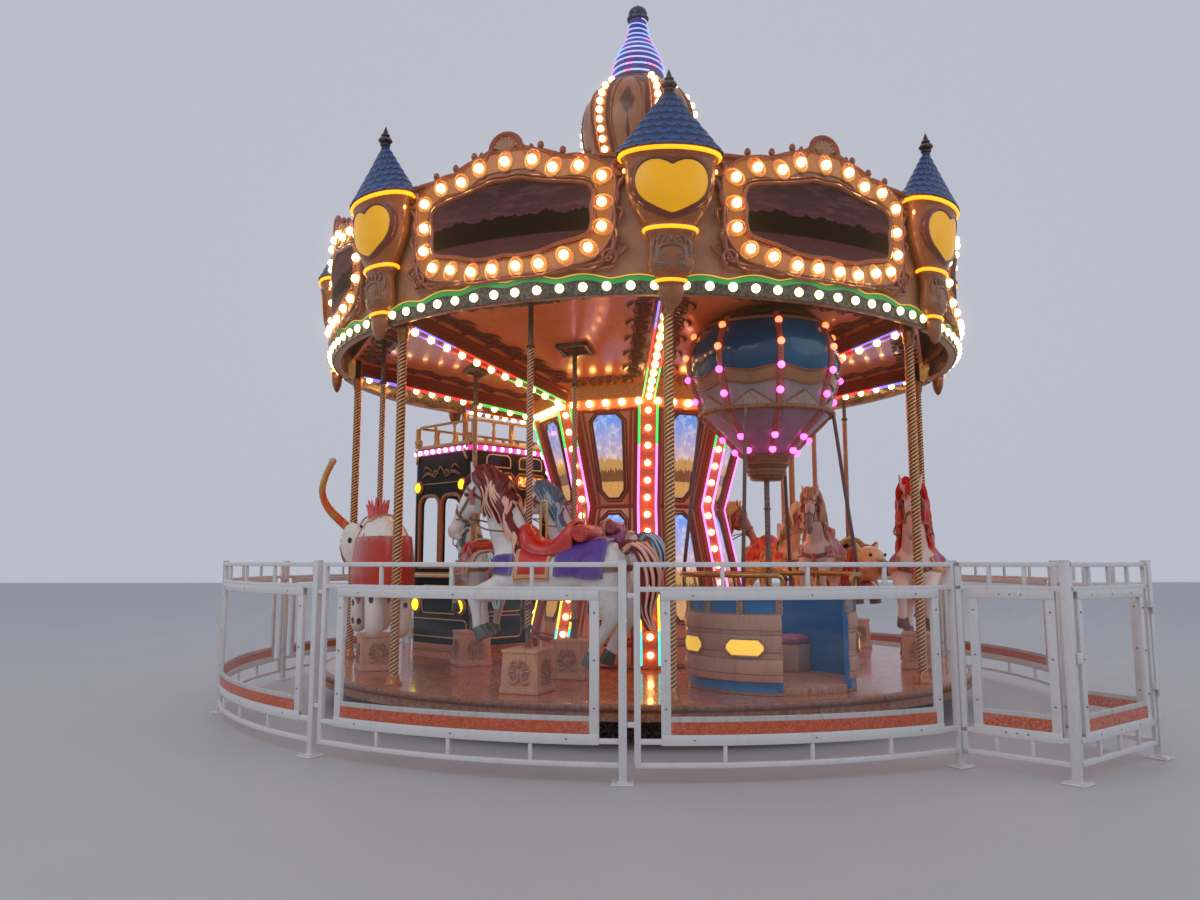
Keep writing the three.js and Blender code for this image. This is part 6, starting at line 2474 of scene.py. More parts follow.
def tram_lamp_places():
    """Places along the band round the top, with their outward direction."""
    loop = [Vector((x, y, 0)) for x, y in plan_loop(-0.012)]
    total = sum((loop[(i + 1) % len(loop)] - loop[i]).length for i in range(len(loop)))
    count = int(total / 0.112)
    made, travelled, goal = [], 0.0, 0.0
    for i, start in enumerate(loop):
        end = loop[(i + 1) % len(loop)]
        length = (end - start).length
        while goal < travelled + length and len(made) < count:
            spot = start + (end - start) * ((goal - travelled) / length)
            along = (end - start).normalized()
            made.append((spot, math.atan2(along.x, -along.y)))
            goal += total / count
        travelled += length
    return made


def bench(x, facing):
    """Slatted bench across the tram."""
    low, high = -TRAM_OUTER + 0.10, -TRAM_INNER - 0.10
    slats = [block((x + facing * a - 0.035, x + facing * a + 0.035), (low, high), (0.785, 0.805), 0.006, 2)
             for a in (0.06, 0.14, 0.22, 0.30, 0.38)]
    for k in range(4):
        slats.append(block((x + facing * (0.01 - 0.012 * k), x + facing * (0.03 - 0.012 * k)), (low, high),
                           (0.86 + 0.09 * k, 0.925 + 0.09 * k), 0.006, 2))
    legs = []
    for y in (low + 0.08, (low + high) / 2, high - 0.08):
        legs.append(block((x + facing * 0.05, x + facing * 0.40), (y - 0.015, y + 0.015), (0.755, 0.786), 0.004,
                          1))
        for a in (0.07, 0.37):
            legs.append(block((x + facing * a - 0.015, x + facing * a + 0.015), (y - 0.015, y + 0.015),
                              (0.36, 0.757), 0.004, 1))
        legs.append(bar((x + facing * 0.04, y, 0.77), (x - facing * 0.02, y, 1.20), 0.014, sides=8))
    return joined(slats), joined(legs)


def floor_boards(start, step, width, inset, levels, count=18):
    """Boards across the tram, side by side along it."""
    return [block((start + step * k, start + step * k + width), (-TRAM_OUTER + inset, -TRAM_INNER - inset),
                  levels, 0.002, 1) for k in range(count)]


def tram_deck_rails():
    """Rails, turned posts and knobs of the open upper deck."""
    made = [plan_band(0.010, 2.4003, 2.438, 0.050, 0.008), plan_band(0.016, 2.634, 2.660, 0.030, 0.010)]
    baluster = spun([(0, 2.440), (0.022, 2.440), (0.022, 2.462), (0.013, 2.470), (0.017, 2.510), (0.021, 2.535),
                     (0.013, 2.562), (0.011, 2.600), (0.020, 2.614), (0.020, 2.630), (0, 2.630)], 16)
    spots = [(x + 0.020, y)
             for x in (-0.985, -0.480, 0.0, 0.440, 0.945) for y in (-TRAM_OUTER + 0.035, -TRAM_INNER - 0.035)]
    posts = []
    for x, y in spots:
        posts.append(block((x - 0.020, x + 0.020), (y - 0.020, y + 0.020), (2.430, 2.640), 0.005, 2))
    thin = [(x, y) for x in (-0.72, -0.24, 0.22, 0.70) for y in (-TRAM_OUTER + 0.035, -TRAM_INNER - 0.035)]
    thin += [(x, -TRAM_OUTER + 0.035 + (TRAM_OUTER - TRAM_INNER - 0.07) * f)
             for x in (-0.965, 0.965) for f in (0.33, 0.67)]
    return joined([*made, *posts, copied(baluster, [shift(x, y, 0) for x, y in thin])])


def lantern_glow(net):
    return net.mix(net.steps(net.noise(net.place(), 26.0, 3.0), 0.42, 0.62), paint("8a3c10"), paint("ffd060"))


def build_tram():
    place = turn_z(TRAM_ANGLE)
    green = coat("tram_green_coat", chosen("tram_colour"), 0.35, gloss=0.03, scale=3, variation=0.35, grime=0.3,
                 grime_colour="040706", edge=0.3, edge_colour="465446", bump=0.08, specular=0.12)
    frame_brown = coat("tram_frame_coat", "a8602c", 0.28, metallic=0.35, gloss=0.4, scale=8, grime=0.3)
    gold = coat("tram_gold_coat", "c99a4a", 0.26, metallic=0.7, gloss=0.4, scale=10, grime=0.3)
    pale = coat("tram_pale_coat", "d9b98a", 0.3, metallic=0.3, gloss=0.3, scale=10, grime=0.2)

    def place_piece(obj, name, material, slot, replaces=(), smooth=40):
        return piece(moved(obj, place), name, material, slot, "turntable", replaces, smooth)

    place_piece(tram_shell(), "tram_body", green, "tram_green", ["tram_saloon"], 30)
    ends, sides = window_frames()
    place_piece(ends, "tram_end_window_frames", frame_brown, "gold_metal")
    place_piece(sides, "tram_side_window_frames", gold, "gold_metal")
    frames, panes = arched_windows()
    place_piece(long_sides(frames), "tram_arched_frames", pale, "gold_metal")
    place_piece(long_sides(panes), "tram_arched_panes",
                coat("tram_dark_pane_coat", "0a0e0c", 0.1, gloss=0.3, scale=3, grime=0.1, edge=0.0, bump=0.02),
                "picture_gloss")
    # The lanterns are on the inner side only, because the doorway is in their way on the outer one
    rims, glows = lanterns()
    place_piece(to_side(rims, True), "tram_lantern_rims", frame_brown, "gold_metal")
    place_piece(to_side(glows, True), "tram_lantern_panes", led("lantern_light", "ffb43a", 1.6, lantern_glow),
                "led_yellow")
    bezels, lenses = zip(*[end_lamp(u, z, size)
                           for u in (-0.375, 0.375) for z, size in ((1.985, 0.052), (0.760, 0.062))])
    carving = [scroll((-0.10, 2.115), 0.045, 1.3, 0, 0.006, 0.012, 1),
               scroll((0.10, 2.115), 0.045, 1.3, 180, 0.006, 0.012, -1),
               leaf((-0.13, 2.10), (-0.22, 2.13), (-0.33, 2.09), 0.006, 0.018),
               leaf((0.13, 2.10), (0.22, 2.13), (0.33, 2.09), 0.006, 0.018),
               leaf((-0.05, 2.14), (0, 2.19), (0.05, 2.14), 0.006, 0.013),
               leaf((-0.16, 2.15), (-0.24, 2.20), (-0.31, 2.165), 0.006, 0.012),
               leaf((0.16, 2.15), (0.24, 2.20), (0.31, 2.165), 0.006, 0.012)]
    place_piece(both_ends(joined(bezels)), "tram_lamp_bezels", frame_brown, "gold_metal")
    place_piece(both_ends(joined(lenses)), "tram_head_lamps", led("head_lamp_light", "f0e020", 1.8),
                "led_yellow")
    place_piece(both_ends(joined(carving)), "tram_end_carvings",
                coat("tram_carving_coat", "8a5a38", 0.35, metallic=0.3, scale=9, grime=0.4), "trim_peach")
    curls = []
    for side in (-1, 1):
        curls.append(scroll((side * 0.435, 2.475), 0.062, 1.35, 90 - side * 60, -0.020, 0.020, -side))
        curls.append(leaf((side * 0.47, 2.40), (side * 0.40, 2.33), (side * 0.44, 2.24), 0.010, 0.018))
    place_piece(both_ends(joined(curls)), "tram_corner_curls", gold, "gold_metal")
    lines = [panel_lines((-0.46, 0.46), (0.44, 0.62)), panel_lines((-0.29, 0.29), (0.68, 0.96)),
             loop_tube(arch((-0.44, 0.44), (1.090, 2.020), 0.05, 4, 0.02), 0.005, 0.001, 6)]
    side_lines = []
    for u in ((-0.92, -0.33), (0.33, 0.92)):
        side_lines += [panel_lines(u, (0.44, 0.66)), panel_lines(u, (0.70, 0.93))]
    place_piece(joined([both_ends(joined(lines)), long_sides(joined(side_lines))]), "tram_panel_lines", gold,
                "gold_metal")
    place_piece(plan_band(-0.004, 0.302, 0.370, 0.012, 0.004), "tram_plinth", frame_brown, "gold_metal")
    bumper = [block((-0.44, 0.44), (-0.030, 0.0), (1.040, 1.085), 0.012, 3),
              block((-0.47, -0.43), (-0.034, 0.0), (1.030, 1.095), 0.008, 2),
              block((0.43, 0.47), (-0.034, 0.0), (1.030, 1.095), 0.008, 2)]
    place_piece(both_ends(joined(bumper)), "tram_bumpers",
                coat("bumper_coat", "e0a878", 0.14, metallic=0.9, gloss=0.6, scale=6, grime=0.2), "gold_metal")
    place_piece(joined([plan_band(-0.010, 2.318, 2.336, 0.014, 0.005),
                        plan_band(-0.010, 2.384, 2.3995, 0.014, 0.005)]),
                "tram_band_edges", coat("tram_edge_coat", "4a1c2c", 0.3, metallic=0.3, gloss=0.4, scale=8),
                "gold_metal")
    place_piece(plan_band(-0.004, 2.336, 2.384, 0.006, 0), "tram_lit_band", led("band_light", "e0389a", 1.1),
                "led_magenta")
    bulb = spun([(0, 0), (0.021, 0), (0.024, 0.008), (0.020, 0.020), (0.011, 0.027), (0, 0.029)], 12)
    moved(bulb, Matrix.Rotation(math.radians(90), 4, "X"))
    bulbs = copied(bulb, [shift(spot.x, spot.y, 2.360) @ Matrix.Rotation(heading, 4, "Z")
                          for spot, heading in tram_lamp_places()])
    place_piece(bulbs, "tram_band_lamps", lamp("band_lamp_finish", "ffb0e0", 7.0), "lamp_warm")
    place_piece(tram_deck_rails(), "tram_rails", gold, "gold_metal", ["tram_top_deck"])
    seats, legs = zip(*[bench(x, facing) for x, facing in ((-0.93, 1), (0.93, -1))])
    place_piece(joined(seats), "tram_bench_slats",
                coat("bench_wood_coat", "8a5230", 0.35, gloss=0.3, scale=7, variation=0.4), "deck")
    place_piece(joined(legs), "tram_bench_frames", gold, "gold_metal")
    boards = [*floor_boards(-0.955, 0.1062, 0.103, 0.045, (0.3595, 0.3655)),
              *floor_boards(-0.94, 0.105, 0.100, 0.065, (2.3990, 2.408))]
    place_piece(joined(boards), "tram_floor_boards",
                coat("tram_floor_coat", "6a4028", 0.4, gloss=0.3, scale=5, variation=0.4), "deck")


# Riding animals: x is forward, y is outward and z is up from the middle of the body

SEATS = {
    "white_horse": (-22.5, OUTER_RING, 1.17), "blue_maned_horse": (-22.5, INNER_RING, 1.29),
    "elephant": (-67.5, OUTER_RING, 1.29), "grey_horse": (-67.5, INNER_RING, 1.15),
    "red_maned_horse": (67.5, OUTER_RING, 1.18), "lilac_horse": (67.5, INNER_RING, 1.29),
    "pig": (112.5, OUTER_RING, 1.13), "cream_horse": (112.5, INNER_RING, 1.24),
    "chestnut_horse": (157.5, OUTER_RING, 1.20), "dapple_horse": (157.5, INNER_RING, 1.18),
}
INNER_SCALE = 0.78
ELEPHANT_WIDTH = 0.76

HORSES = {
    # coat, legs, muzzle, mane, strands, saddle, blanket, trim, hoof, spots
    "white_horse": ("e6e3de", "ccc4bc", "dcb8ac", "741e1c", "f4bca4", "d01212", "583690", "", "20302a", 0),
    "blue_maned_horse": ("ece2e0", "c8c0c8", "e8bcb8", "56708a", "b4c8d4", "a8344a", "7a3a8a", "c9a05a",
                         "2a2c3a", 0),
    "grey_horse": ("cfcac6", "a8a4a0", "c4a49c", "4a6a70", "c4dcd8", "c02420", "b06a5a", "c9b08a", "2a2a26",
                   0.3),
    "red_maned_horse": ("ecc8b8", "ead4c8", "c88c80", "dc1a1a", "f47a68", "d02c5c", "b83a6c", "f09a40",
                        "5a2a2a", 0),
    "lilac_horse": ("dcb4a4", "e2c6b6", "4a4048", "c89070", "ecc8a4", "c0403c", "b8506a", "d0a060", "4a3a4a",
                    0),
    "cream_horse": ("d9ab7c", "e0c09a", "d89a78", "e0cfae", "a8865a", "d9401c", "c02c20", "d9a040", "6a4a2c",
                    0),
    "chestnut_horse": ("a85e38", "c08a68", "c88a6c", "d9b07c", "8a4a24", "2a5a8a", "2a6a5a", "d0a050", "3a2418",
                       0),
    "dapple_horse": ("b4aeb0", "8a868a", "a88c8c", "3a3a44", "a8a8b4", "b0281c", "2a3a7a", "c9a05a", "26262a",
                     0.8),
}

HORSE_SLOTS = {
    "white_horse": "horse_white", "blue_maned_horse": "horse_white", "grey_horse": "horse_grey",
    "red_maned_horse": "horse_lilac", "lilac_horse": "horse_lilac", "cream_horse": "horse_cream",
    "chestnut_horse": "horse_chestnut", "dapple_horse": "horse_grey",
}


def limb(joints, side=0.0, flat=1.0, steps=3):
    """Smooth tapered limb in the upright plane; each joint is [x, z, radius]."""
    line = curve_points([(x, radius, z) for x, z, radius in joints], steps)
    parts = [ball((line[0].x, 0, line[0].z), line[0].y, 14, 8)]
    for start, end in zip(line, line[1:]):
        parts.append(bar((start.x, 0, start.z), (end.x, 0, end.z), start.y, end.y, 14))
        parts.append(ball((end.x, 0, end.z), end.y, 14, 8))
    obj = joined(parts)
    for vertex in obj.data.vertices:
        vertex.co.y = vertex.co.y * flat + side
    return obj


def flesh(parts, voxel=0.013, passes=5):
    """One smooth skin round overlapping forms."""
    obj = modified(joined(parts), "REMESH", mode="VOXEL", voxel_size=voxel)
    modified(obj, "SMOOTH", factor=0.5, iterations=passes)
    return charted(obj, lambda co, face: (co.x, co.z))


def skin_of(obj):
    return BVHTree.FromPolygons([v.co.copy() for v in obj.data.vertices],
                                [tuple(p.vertices) for p in obj.data.polygons])


def skin_point(skin, start, toward, lift):
    """Point a little above a skin, found along a line from inside it."""
    start, toward = Vector(start), Vector(toward).normalized()
    spot = skin.ray_cast(start, toward, 1.5)[0]
    return (spot or start + toward * 0.2) + toward * lift


def fabric(rows, thickness, closed=False):
    """Sheet through rows of points, given its thickness and a soft edge."""
    width = len(rows[0])
    faces = []
    for i in range(len(rows) - 1):
        for k in range(width if closed else width - 1):
            n = (k + 1) % width
            faces.append((i * width + k, i * width + n, (i + 1) * width + n, (i + 1) * width + k))
    obj = from_points([p for row in rows for p in row], faces=faces)
    return outward(modified(obj, "SOLIDIFY", thickness=thickness, offset=0))


def draped(skin, low, high, reach, lift, thickness=0.010, height=-0.02, columns=14, rows=18, rise=None,
           start=None):
    """Cloth over a back, from one x to another.

    It reaches down to an angle on both sides, or from a start angle to it.
    """
    begin = -reach if start is None else start
    lines = []
    for i in range(columns + 1):
        x = low + (high - low) * i / columns
        line = []
        for k in range(rows + 1):
            angle = math.radians(begin + (reach - begin) * k / rows)
            extra = rise(i / columns, angle) if rise else 0
            line.append(skin_point(skin, (x, 0, height), (0, math.sin(angle), math.cos(angle)), lift + extra))
        lines.append(line)

    def chart(co, face):
        return (co.x - low) / (high - low), math.degrees(math.atan2(co.y,
                                                                    co.z - height)) / abs(reach) * 0.5 + 0.5

    return charted(fabric(lines, thickness), chart)


def strap(skin, centre, across, up, width, lift=0.006, start=-180, end=180, steps=40, thickness=0.006):
    """Band round a body in the plane of two directions; its width is square to both."""
    centre, across, up = Vector(centre), Vector(across).normalized(), Vector(up).normalized()
    aside = across.cross(up).normalized()
    rows = []
    for offset in (-0.5, -0.17, 0.17, 0.5):
        row = []
        for k in range(steps + (0 if end - start == 360 else 1)):
            angle = math.radians(start + (end - start) * k / steps)
            toward = across * math.cos(angle) + up * math.sin(angle)
            row.append(skin_point(skin, centre + aside * offset * width, toward, lift))
        rows.append(row)
    return fabric(rows, thickness, end - start == 360)


def lock(points, thick, thin, sides=7, swell=0.35):
    """Lock of hair: a tube that swells and then tapers to a point."""
    line = curve_points(points, 5)
    count = len(line) - 1
    radii = [thick
             * (thin / thick + (1 - thin / thick)
                * math.sin(math.pi * min(1.0, (i / count + 0.12) ** swell)) ** 0.8)
             for i in range(count + 1)]
    return tube(line, 1.0, sides=sides, radii=[max(r, thin * 0.3) for r in radii])


CREST = [(0.47, 0.650), (0.40, 0.692), (0.30, 0.695), (0.215, 0.595), (0.150, 0.44), (0.10, 0.29),
         (0.045, 0.165)]


def mane_locks(count, reach, thick, offset, seed):
    """Locks that fall from the crest down both sides of the neck in waves."""
    rng = random.Random(seed)
    crest = curve_points([(x, 0, z) for x, z in CREST[1:]], 6)
    made = []
    for side in (-1, 1):
        for k in range(count):
            t = (k + offset) / count
            root = crest[min(len(crest) - 1, int(t * (len(crest) - 1)))]
            length = reach * (0.80 + 0.35 * math.sin(math.pi * min(1, t + 0.15)) + rng.uniform(-0.06, 0.06))
            wide = 0.085 + 0.035 * t
            wave = rng.uniform(0.018, 0.030)
            points = []
            for s in range(7):
                f = s / 6
                points.append((root.x - 0.30 * length * f + wave * math.sin(2 * math.pi * f * 1.35 + k * 0.8),
                               side * (0.012 + wide * math.sin(min(1.0,
                                                                   f * 1.9) * math.pi / 2) + 0.012
                                                                   * math.sin(5 * f + k)),
                               root.z + 0.018 - length * (f ** 1.25)))
            made.append(lock(points, thick, thick * 0.35))
    return made


def tail_locks(count, thick, turn, seed):
    rng = random.Random(seed)
    spine = [(-0.70, 0.10), (-0.78, 0.155), (-0.86, 0.10), (-0.905, -0.03), (-0.895, -0.17), (-0.865, -0.30),
             (-0.90, -0.42)]
    made = []
    for k in range(count):
        points = []
        for i, (x, z) in enumerate(spine):
            swing = 2 * math.pi * k / count + i * turn
            wide = 0.050 * math.sin(math.pi * (0.14 + 0.76 * i / (len(spine) - 1)))
            points.append((x + wide * math.cos(swing), wide * 1.1 * math.sin(swing),
                           z + rng.uniform(-0.006, 0.006)))
        made.append(lock(points, thick, thick * 0.4))
    return made


def horse_forms():
    """Head, neck, body and legs of a leaping horse, before they are made one skin."""
    parts = [
        limb([(0.10, 0.00, 0.180), (-0.05, -0.045, 0.188), (-0.26, -0.060, 0.185), (-0.44, -0.03, 0.195),
              (-0.58, 0.00, 0.185)], flat=0.96),
        ball((0.13, 0, -0.02), (0.155, 0.150, 0.185)),
        limb([(0.06, 0.06, 0.185), (0.160, 0.25, 0.150), (0.235, 0.43, 0.122), (0.300, 0.56, 0.104),
              (0.37, 0.590, 0.090)],
             flat=0.66),
        limb([(0.385, 0.575, 0.094), (0.455, 0.505, 0.084), (0.545, 0.37, 0.058), (0.60, 0.275, 0.048),
              (0.615, 0.245, 0.047)], flat=0.74),
        ball((0.415, 0, 0.475), (0.085, 0.066, 0.100)), ball((0.605, 0, 0.265), (0.052, 0.050, 0.046)),
        ball((0.575, 0, 0.212), (0.030, 0.032, 0.024)), ball((0.375, 0, 0.645), (0.055, 0.045, 0.035)),
    ]
    for side in (-1, 1):
        parts += [
            ball((0.05, side * 0.085, -0.03), (0.15, 0.095, 0.18)),
            ball((-0.575, side * 0.075, 0.0), (0.165, 0.115, 0.18)),
            ball((0.470, side * 0.052, 0.545), (0.032, 0.020, 0.016)),
            ball((0.637, side * 0.026, 0.278), (0.018, 0.016, 0.014)),
            limb([(0.05, -0.08, 0.105), (0.20, -0.15, 0.080), (0.36, -0.20, 0.056),
                  (0.43 - (side > 0) * 0.06, -0.235, 0.050), (0.415 - (side > 0) * 0.06, -0.33, 0.037),
                  (0.40 - (side > 0) * 0.06, -0.43, 0.040)],
                  side * 0.105),
            limb([(-0.57, -0.04, 0.150), (-0.60, -0.17, 0.120), (-0.655 - (side < 0) * 0.05, -0.33, 0.066),
                  (-0.64 - (side < 0) * 0.05, -0.40, 0.048), (-0.56 - (side < 0) * 0.05, -0.52, 0.040),
                  (-0.535 - (side < 0) * 0.05, -0.585, 0.044)], side * 0.105),
        ]
        parts.append(bar((0.412, side * 0.056, 0.625), (0.425, side * 0.098, 0.768), 0.033, 0.007))
    return parts


def horse_hooves():
    made = []
    for side in (-1, 1):
        front = 0.40 - (side > 0) * 0.06
        hind = -0.535 - (side < 0) * 0.05
        made.append(rounded(bar((front, side * 0.105, -0.42), (front - 0.045, side * 0.105, -0.505), 0.041,
                                0.055, 16), 0.008))
        made.append(rounded(bar((hind, side * 0.105, -0.57), (hind + 0.035, side * 0.105, -0.665), 0.043, 0.057,
                                16), 0.008))
    return joined(made)


def eyes(x, y, z, size):
    """Dark glossy eyes on both sides of a head."""
    return joined([ball((x, side * y, z), (size, size * 0.55, size * 0.85)) for side in (-1, 1)])


def rolled_blanket():
    """Rolled cloth behind the seat, with two ties and coiled ends."""
    roll = [bar((-0.452, -0.15, 0.226), (-0.452, 0.15, 0.226), 0.063, sides=24)]
    for side in (-1, 1):
        turns = [(-0.452 + (0.055 - 0.0011 * k) * math.cos(k * 0.42), side * 0.152,
                  0.226 + (0.055 - 0.0011 * k) * math.sin(k * 0.42))
                 for k in range(42)]
        roll.append(tube(turns, 0.006, sides=6))
    return joined([rounded(roll[0], 0.012, 3), *roll[1:]])


def saddle_rise(u, angle):
    """How far the seat stands off the back: high at the front and the back."""
    ends = (2 * u - 1) ** 4
    return 0.095 * ends * max(0.0, math.cos(angle * 1.15)) + 0.012


# Stations of a horse's seat: place along the back, half width in degrees, height of its middle line, fullness
SADDLE = [
    (0.070, 20, 0.215, 1.0), (0.046, 27, 0.272, 1.0), (0.012, 34, 0.292, 1.2), (-0.026, 42, 0.272, 1.4),
    (-0.065, 47, 0.215, 2.0), (-0.110, 51, 0.186, 3.0), (-0.165, 52, 0.176, 4.0), (-0.220, 51, 0.184, 4.0),
    (-0.270, 49, 0.214, 3.0), (-0.315, 46, 0.262, 2.4), (-0.350, 42, 0.298, 2.0), (-0.378, 38, 0.314, 2.0),
]
BACK_REACH = 0.182


def saddle(skin, columns=20):
    """Deep seat with a raised front and back; gives back the padded sheet and the line round its edge."""
    rows = []
    for x, wide, high, full in SADDLE:
        row = []
        for k in range(columns + 1):
            share = 2 * k / columns - 1
            angle = math.radians(wide * share)
            toward = Vector((0, math.sin(angle), math.cos(angle)))
            spot = skin_point(skin, (x, 0, -0.02), toward, 0.0) - Vector((x, 0, -0.02))
            reach = min(spot.length, BACK_REACH) + 0.016
            reach += max(0.0, high + 0.02 - reach) * (1 - abs(share) ** (2 * full))
            row.append(Vector((x, 0, -0.02)) + toward * reach)
        rows.append(curve_points(row, 1))
    rows = [list(line) for line in zip(*[curve_points(line, 2) for line in zip(*rows)])]
    edge = [row[0] for row in rows] + rows[-1][1:-1]
    edge += [row[-1] for row in reversed(rows)] + list(reversed(rows[0][1:-1]))
    return fabric(rows, 0.030), edge


def horse_parts():
    """Every part of a horse, made once; each horse gets its own copies."""
    body = flesh(horse_forms())
    skin = skin_of(body)
    made = {"body": body, "hooves": horse_hooves()}
    made["eyes"] = eyes(0.477, 0.060, 0.520, 0.020)
    made["mane"] = joined(mane_locks(11, 0.36, 0.036, 0.0, 3)
                          + [lock([(0.395, y, 0.675), (0.46, y * 1.5, 0.665), (0.505, y * 2, 0.60),
                                   (0.515, y * 2.2, 0.53)],
                                  0.022, 0.008) for y in (-0.018, 0.0, 0.018)])
    made["strands"] = joined([moved(obj, Matrix.Scale(1.14, 4, (0, 1, 0)))
                              for obj in mane_locks(22, 0.39, 0.0115, 0.5, 8)])
    made["tail"] = joined(tail_locks(6, 0.030, 0.35, 5))
    made["tail_strands"] = joined(tail_locks(7, 0.016, 0.35, 6))
    moved(made["tail_strands"], Matrix.Translation((-0.02, 0, 0)) @ Matrix.Scale(1.35, 4, (0, 1, 0)))
    made["seat"], edge = saddle(skin)
    made["piping"] = tube(edge, 0.0165, closed=True, sides=10)
    made["flaps"] = draped(skin, -0.235, 0.02, 112, 0.010, 0.010, columns=8, rows=30)
    made["blanket"] = joined([
        draped(skin, -0.655, -0.275, 104, 0.018, 0.012, columns=16, rows=30),
        *[draped(skin, 0.035, 0.215, side * 100, 0.018, 0.012, columns=8, rows=12, start=side * 58)
          for side in (1, -1)]])
    made["roll"] = rolled_blanket()
    straps = [
        strap(skin, (0.545, 0, 0.37), (0, 1, 0), (0.60, 0, 0.75), 0.024),
        strap(skin, (0.425, 0, 0.53), (0, 1, 0), (0.55, 0, 0.40), 0.022),
        strap(skin, (0.12, 0, 0.02), (0, 1, 0), (0.72, 0, -0.30), 0.045, 0.012, -30, 210),
        strap(skin, (-0.62, 0, -0.02), (0, 1, 0), (-0.75, 0, 0.05), 0.040, 0.012, -30, 210),
    ]
    for side in (-1, 1):
        straps.append(tube(curve_points([
            skin_point(skin, (0.40, 0, 0.56), (0, side, 0.2), 0.008),
            skin_point(skin, (0.48, 0, 0.46), (0, side, 0), 0.006),
            skin_point(skin, (0.545, 0, 0.37), (0, side, 0), 0.006)], 5), 0.009, sides=6))
        straps.append(tube(curve_points([
            skin_point(skin, (0.565, 0, 0.34), (0, side, 0), 0.008), (0.42, side * 0.125, 0.33),
            (0.26, side * 0.155, 0.26), (0.10, side * 0.10, 0.245)], 6), 0.007, sides=6))
    made["straps"] = joined(straps)
    jewels = []
    for side in (-1, 1):
        jewels.append(ball((0.423, side * 0.085, 0.53), (0.020, 0.012, 0.020), 12, 8))
        for k in range(5):
            turn = 0.3 + k * 0.28
            toward = (0.72 * math.sin(turn), side * math.cos(turn), -0.30 * math.sin(turn))
            jewels.append(ball(skin_point(skin, (0.12, 0, 0.02), toward, 0.018), 0.013, 10, 7))
        jewels.append(lock([(0.423, side * 0.090, 0.525), (0.415, side * 0.098, 0.49),
                            (0.405, side * 0.098, 0.44)],
                           0.020, 0.016))
    front = skin_point(skin, (0.12, 0, 0.02), (0.9, 0, -0.36), 0.016)
    jewels.append(ball(front, (0.020, 0.034, 0.034), 14, 10))
    jewels.append(lock([front, front + Vector((0.012, 0, -0.05)), front + Vector((0.0, 0, -0.11))], 0.026,
                       0.012))
    made["jewels"] = joined(jewels)
    handle = [(-0.092, 0, 0.13), (-0.092, 0, 0.43), (-0.099, 0, 0.455), (-0.115, 0, 0.463), (-0.131, 0, 0.455),
              (-0.138, 0, 0.43), (-0.138, 0, 0.13)]
    made["handle"] = tube(curve_points(handle, 4), 0.011, sides=8)
    return made


def seat_place(name):
    angle, radius, lift = SEATS[name]
    size = INNER_SCALE if radius == INNER_RING else 1.0
    slim = ELEPHANT_WIDTH if name == "elephant" else 1.0
    return shift(*polar(angle, radius,
                        lift)) @ turn_z(angle + 180) @ Matrix.Diagonal((size, size * slim, size, 1))


def hide(base, legs, muzzle, leg_line=(-0.22, -0.42), muzzle_line=(0.53, 0.61), spots=0.0, spot_colour="20181a",
         spot_scale=11.0, spot_size=0.20, dapple=0.0):
    """Coat of a carved animal: its legs and muzzle shade into other tones, with painted dots and dapples."""
    def colours(net):
        x, z, _ = net.parts(net.chart())
        place = net.place()
        soft = net.noise(place, 5.0, 4.0)
        tone = net.mix(net.math("MULTIPLY", soft, 0.35), paint(base), paint(legs))
        low = net.math("MULTIPLY", net.steps(net.math("MULTIPLY_ADD", soft, 0.08, z), *leg_line), 0.85)
        tone = net.mix(low, tone, paint(legs))
        tone = net.mix(net.math("MULTIPLY", net.steps(x, *muzzle_line), 0.8), tone, paint(muzzle))
        if dapple:
            cells = net.add("ShaderNodeTexVoronoi", {"Vector": place, "Scale": 16.0})
            rings = net.math("MULTIPLY", net.steps(cells, 0.25, 0.48), dapple)
            tone = net.mix(net.math("MULTIPLY", rings, 0.6), tone, paint(legs))
        if spots:
            cells = net.add("ShaderNodeTexVoronoi",
                            {"Vector": net.scaled(place, (1.0, 1.0, 0.75)), "Scale": spot_scale,
                                                     "Randomness": 0.55})
            tone = net.mix(net.math("MULTIPLY", net.steps(cells, spot_size, spot_size * 0.75), spots), tone,
                           paint(spot_colour))
        return tone, None

    return colours


def trimmed(base, border, accent, repeat=26.0):
    """Cloth with a woven border along its edges and a small all-over figure."""
    def colours(net):
        u, v, _ = net.parts(net.chart())
        figure, = grouped(net, "damask", {"Chart": net.chart(), "Repeat": repeat}, ("Mask",))
        tone = net.mix(net.math("MULTIPLY", figure, 0.30), paint(base), paint(accent))
        edge_u = net.math("MINIMUM", u, net.math("SUBTRACT", 1.0, u))
        edge_v = net.math("MULTIPLY", net.math("MINIMUM", v, net.math("SUBTRACT", 1.0, v)), 1.8)
        edge = net.math("MINIMUM", edge_u, edge_v)
        band = net.math("MULTIPLY", net.steps(edge, 0.10, 0.09), net.steps(edge, 0.035, 0.04))
        tone = net.mix(band, tone, paint(border))
        return net.mix(net.steps(edge, 0.020, 0.015), tone,
                       paint(border)), net.math("ADD", band, net.math("MULTIPLY", figure, 0.4))

    return colours


def ridden(obj, name, part, material, slot, replaces=(), smooth=45):
    """Places one part of an animal on its rod."""
    moved(obj, seat_place(name))
    return piece(obj, f"{name}_{part}", material, slot, f"{name}_rider", replaces, smooth)


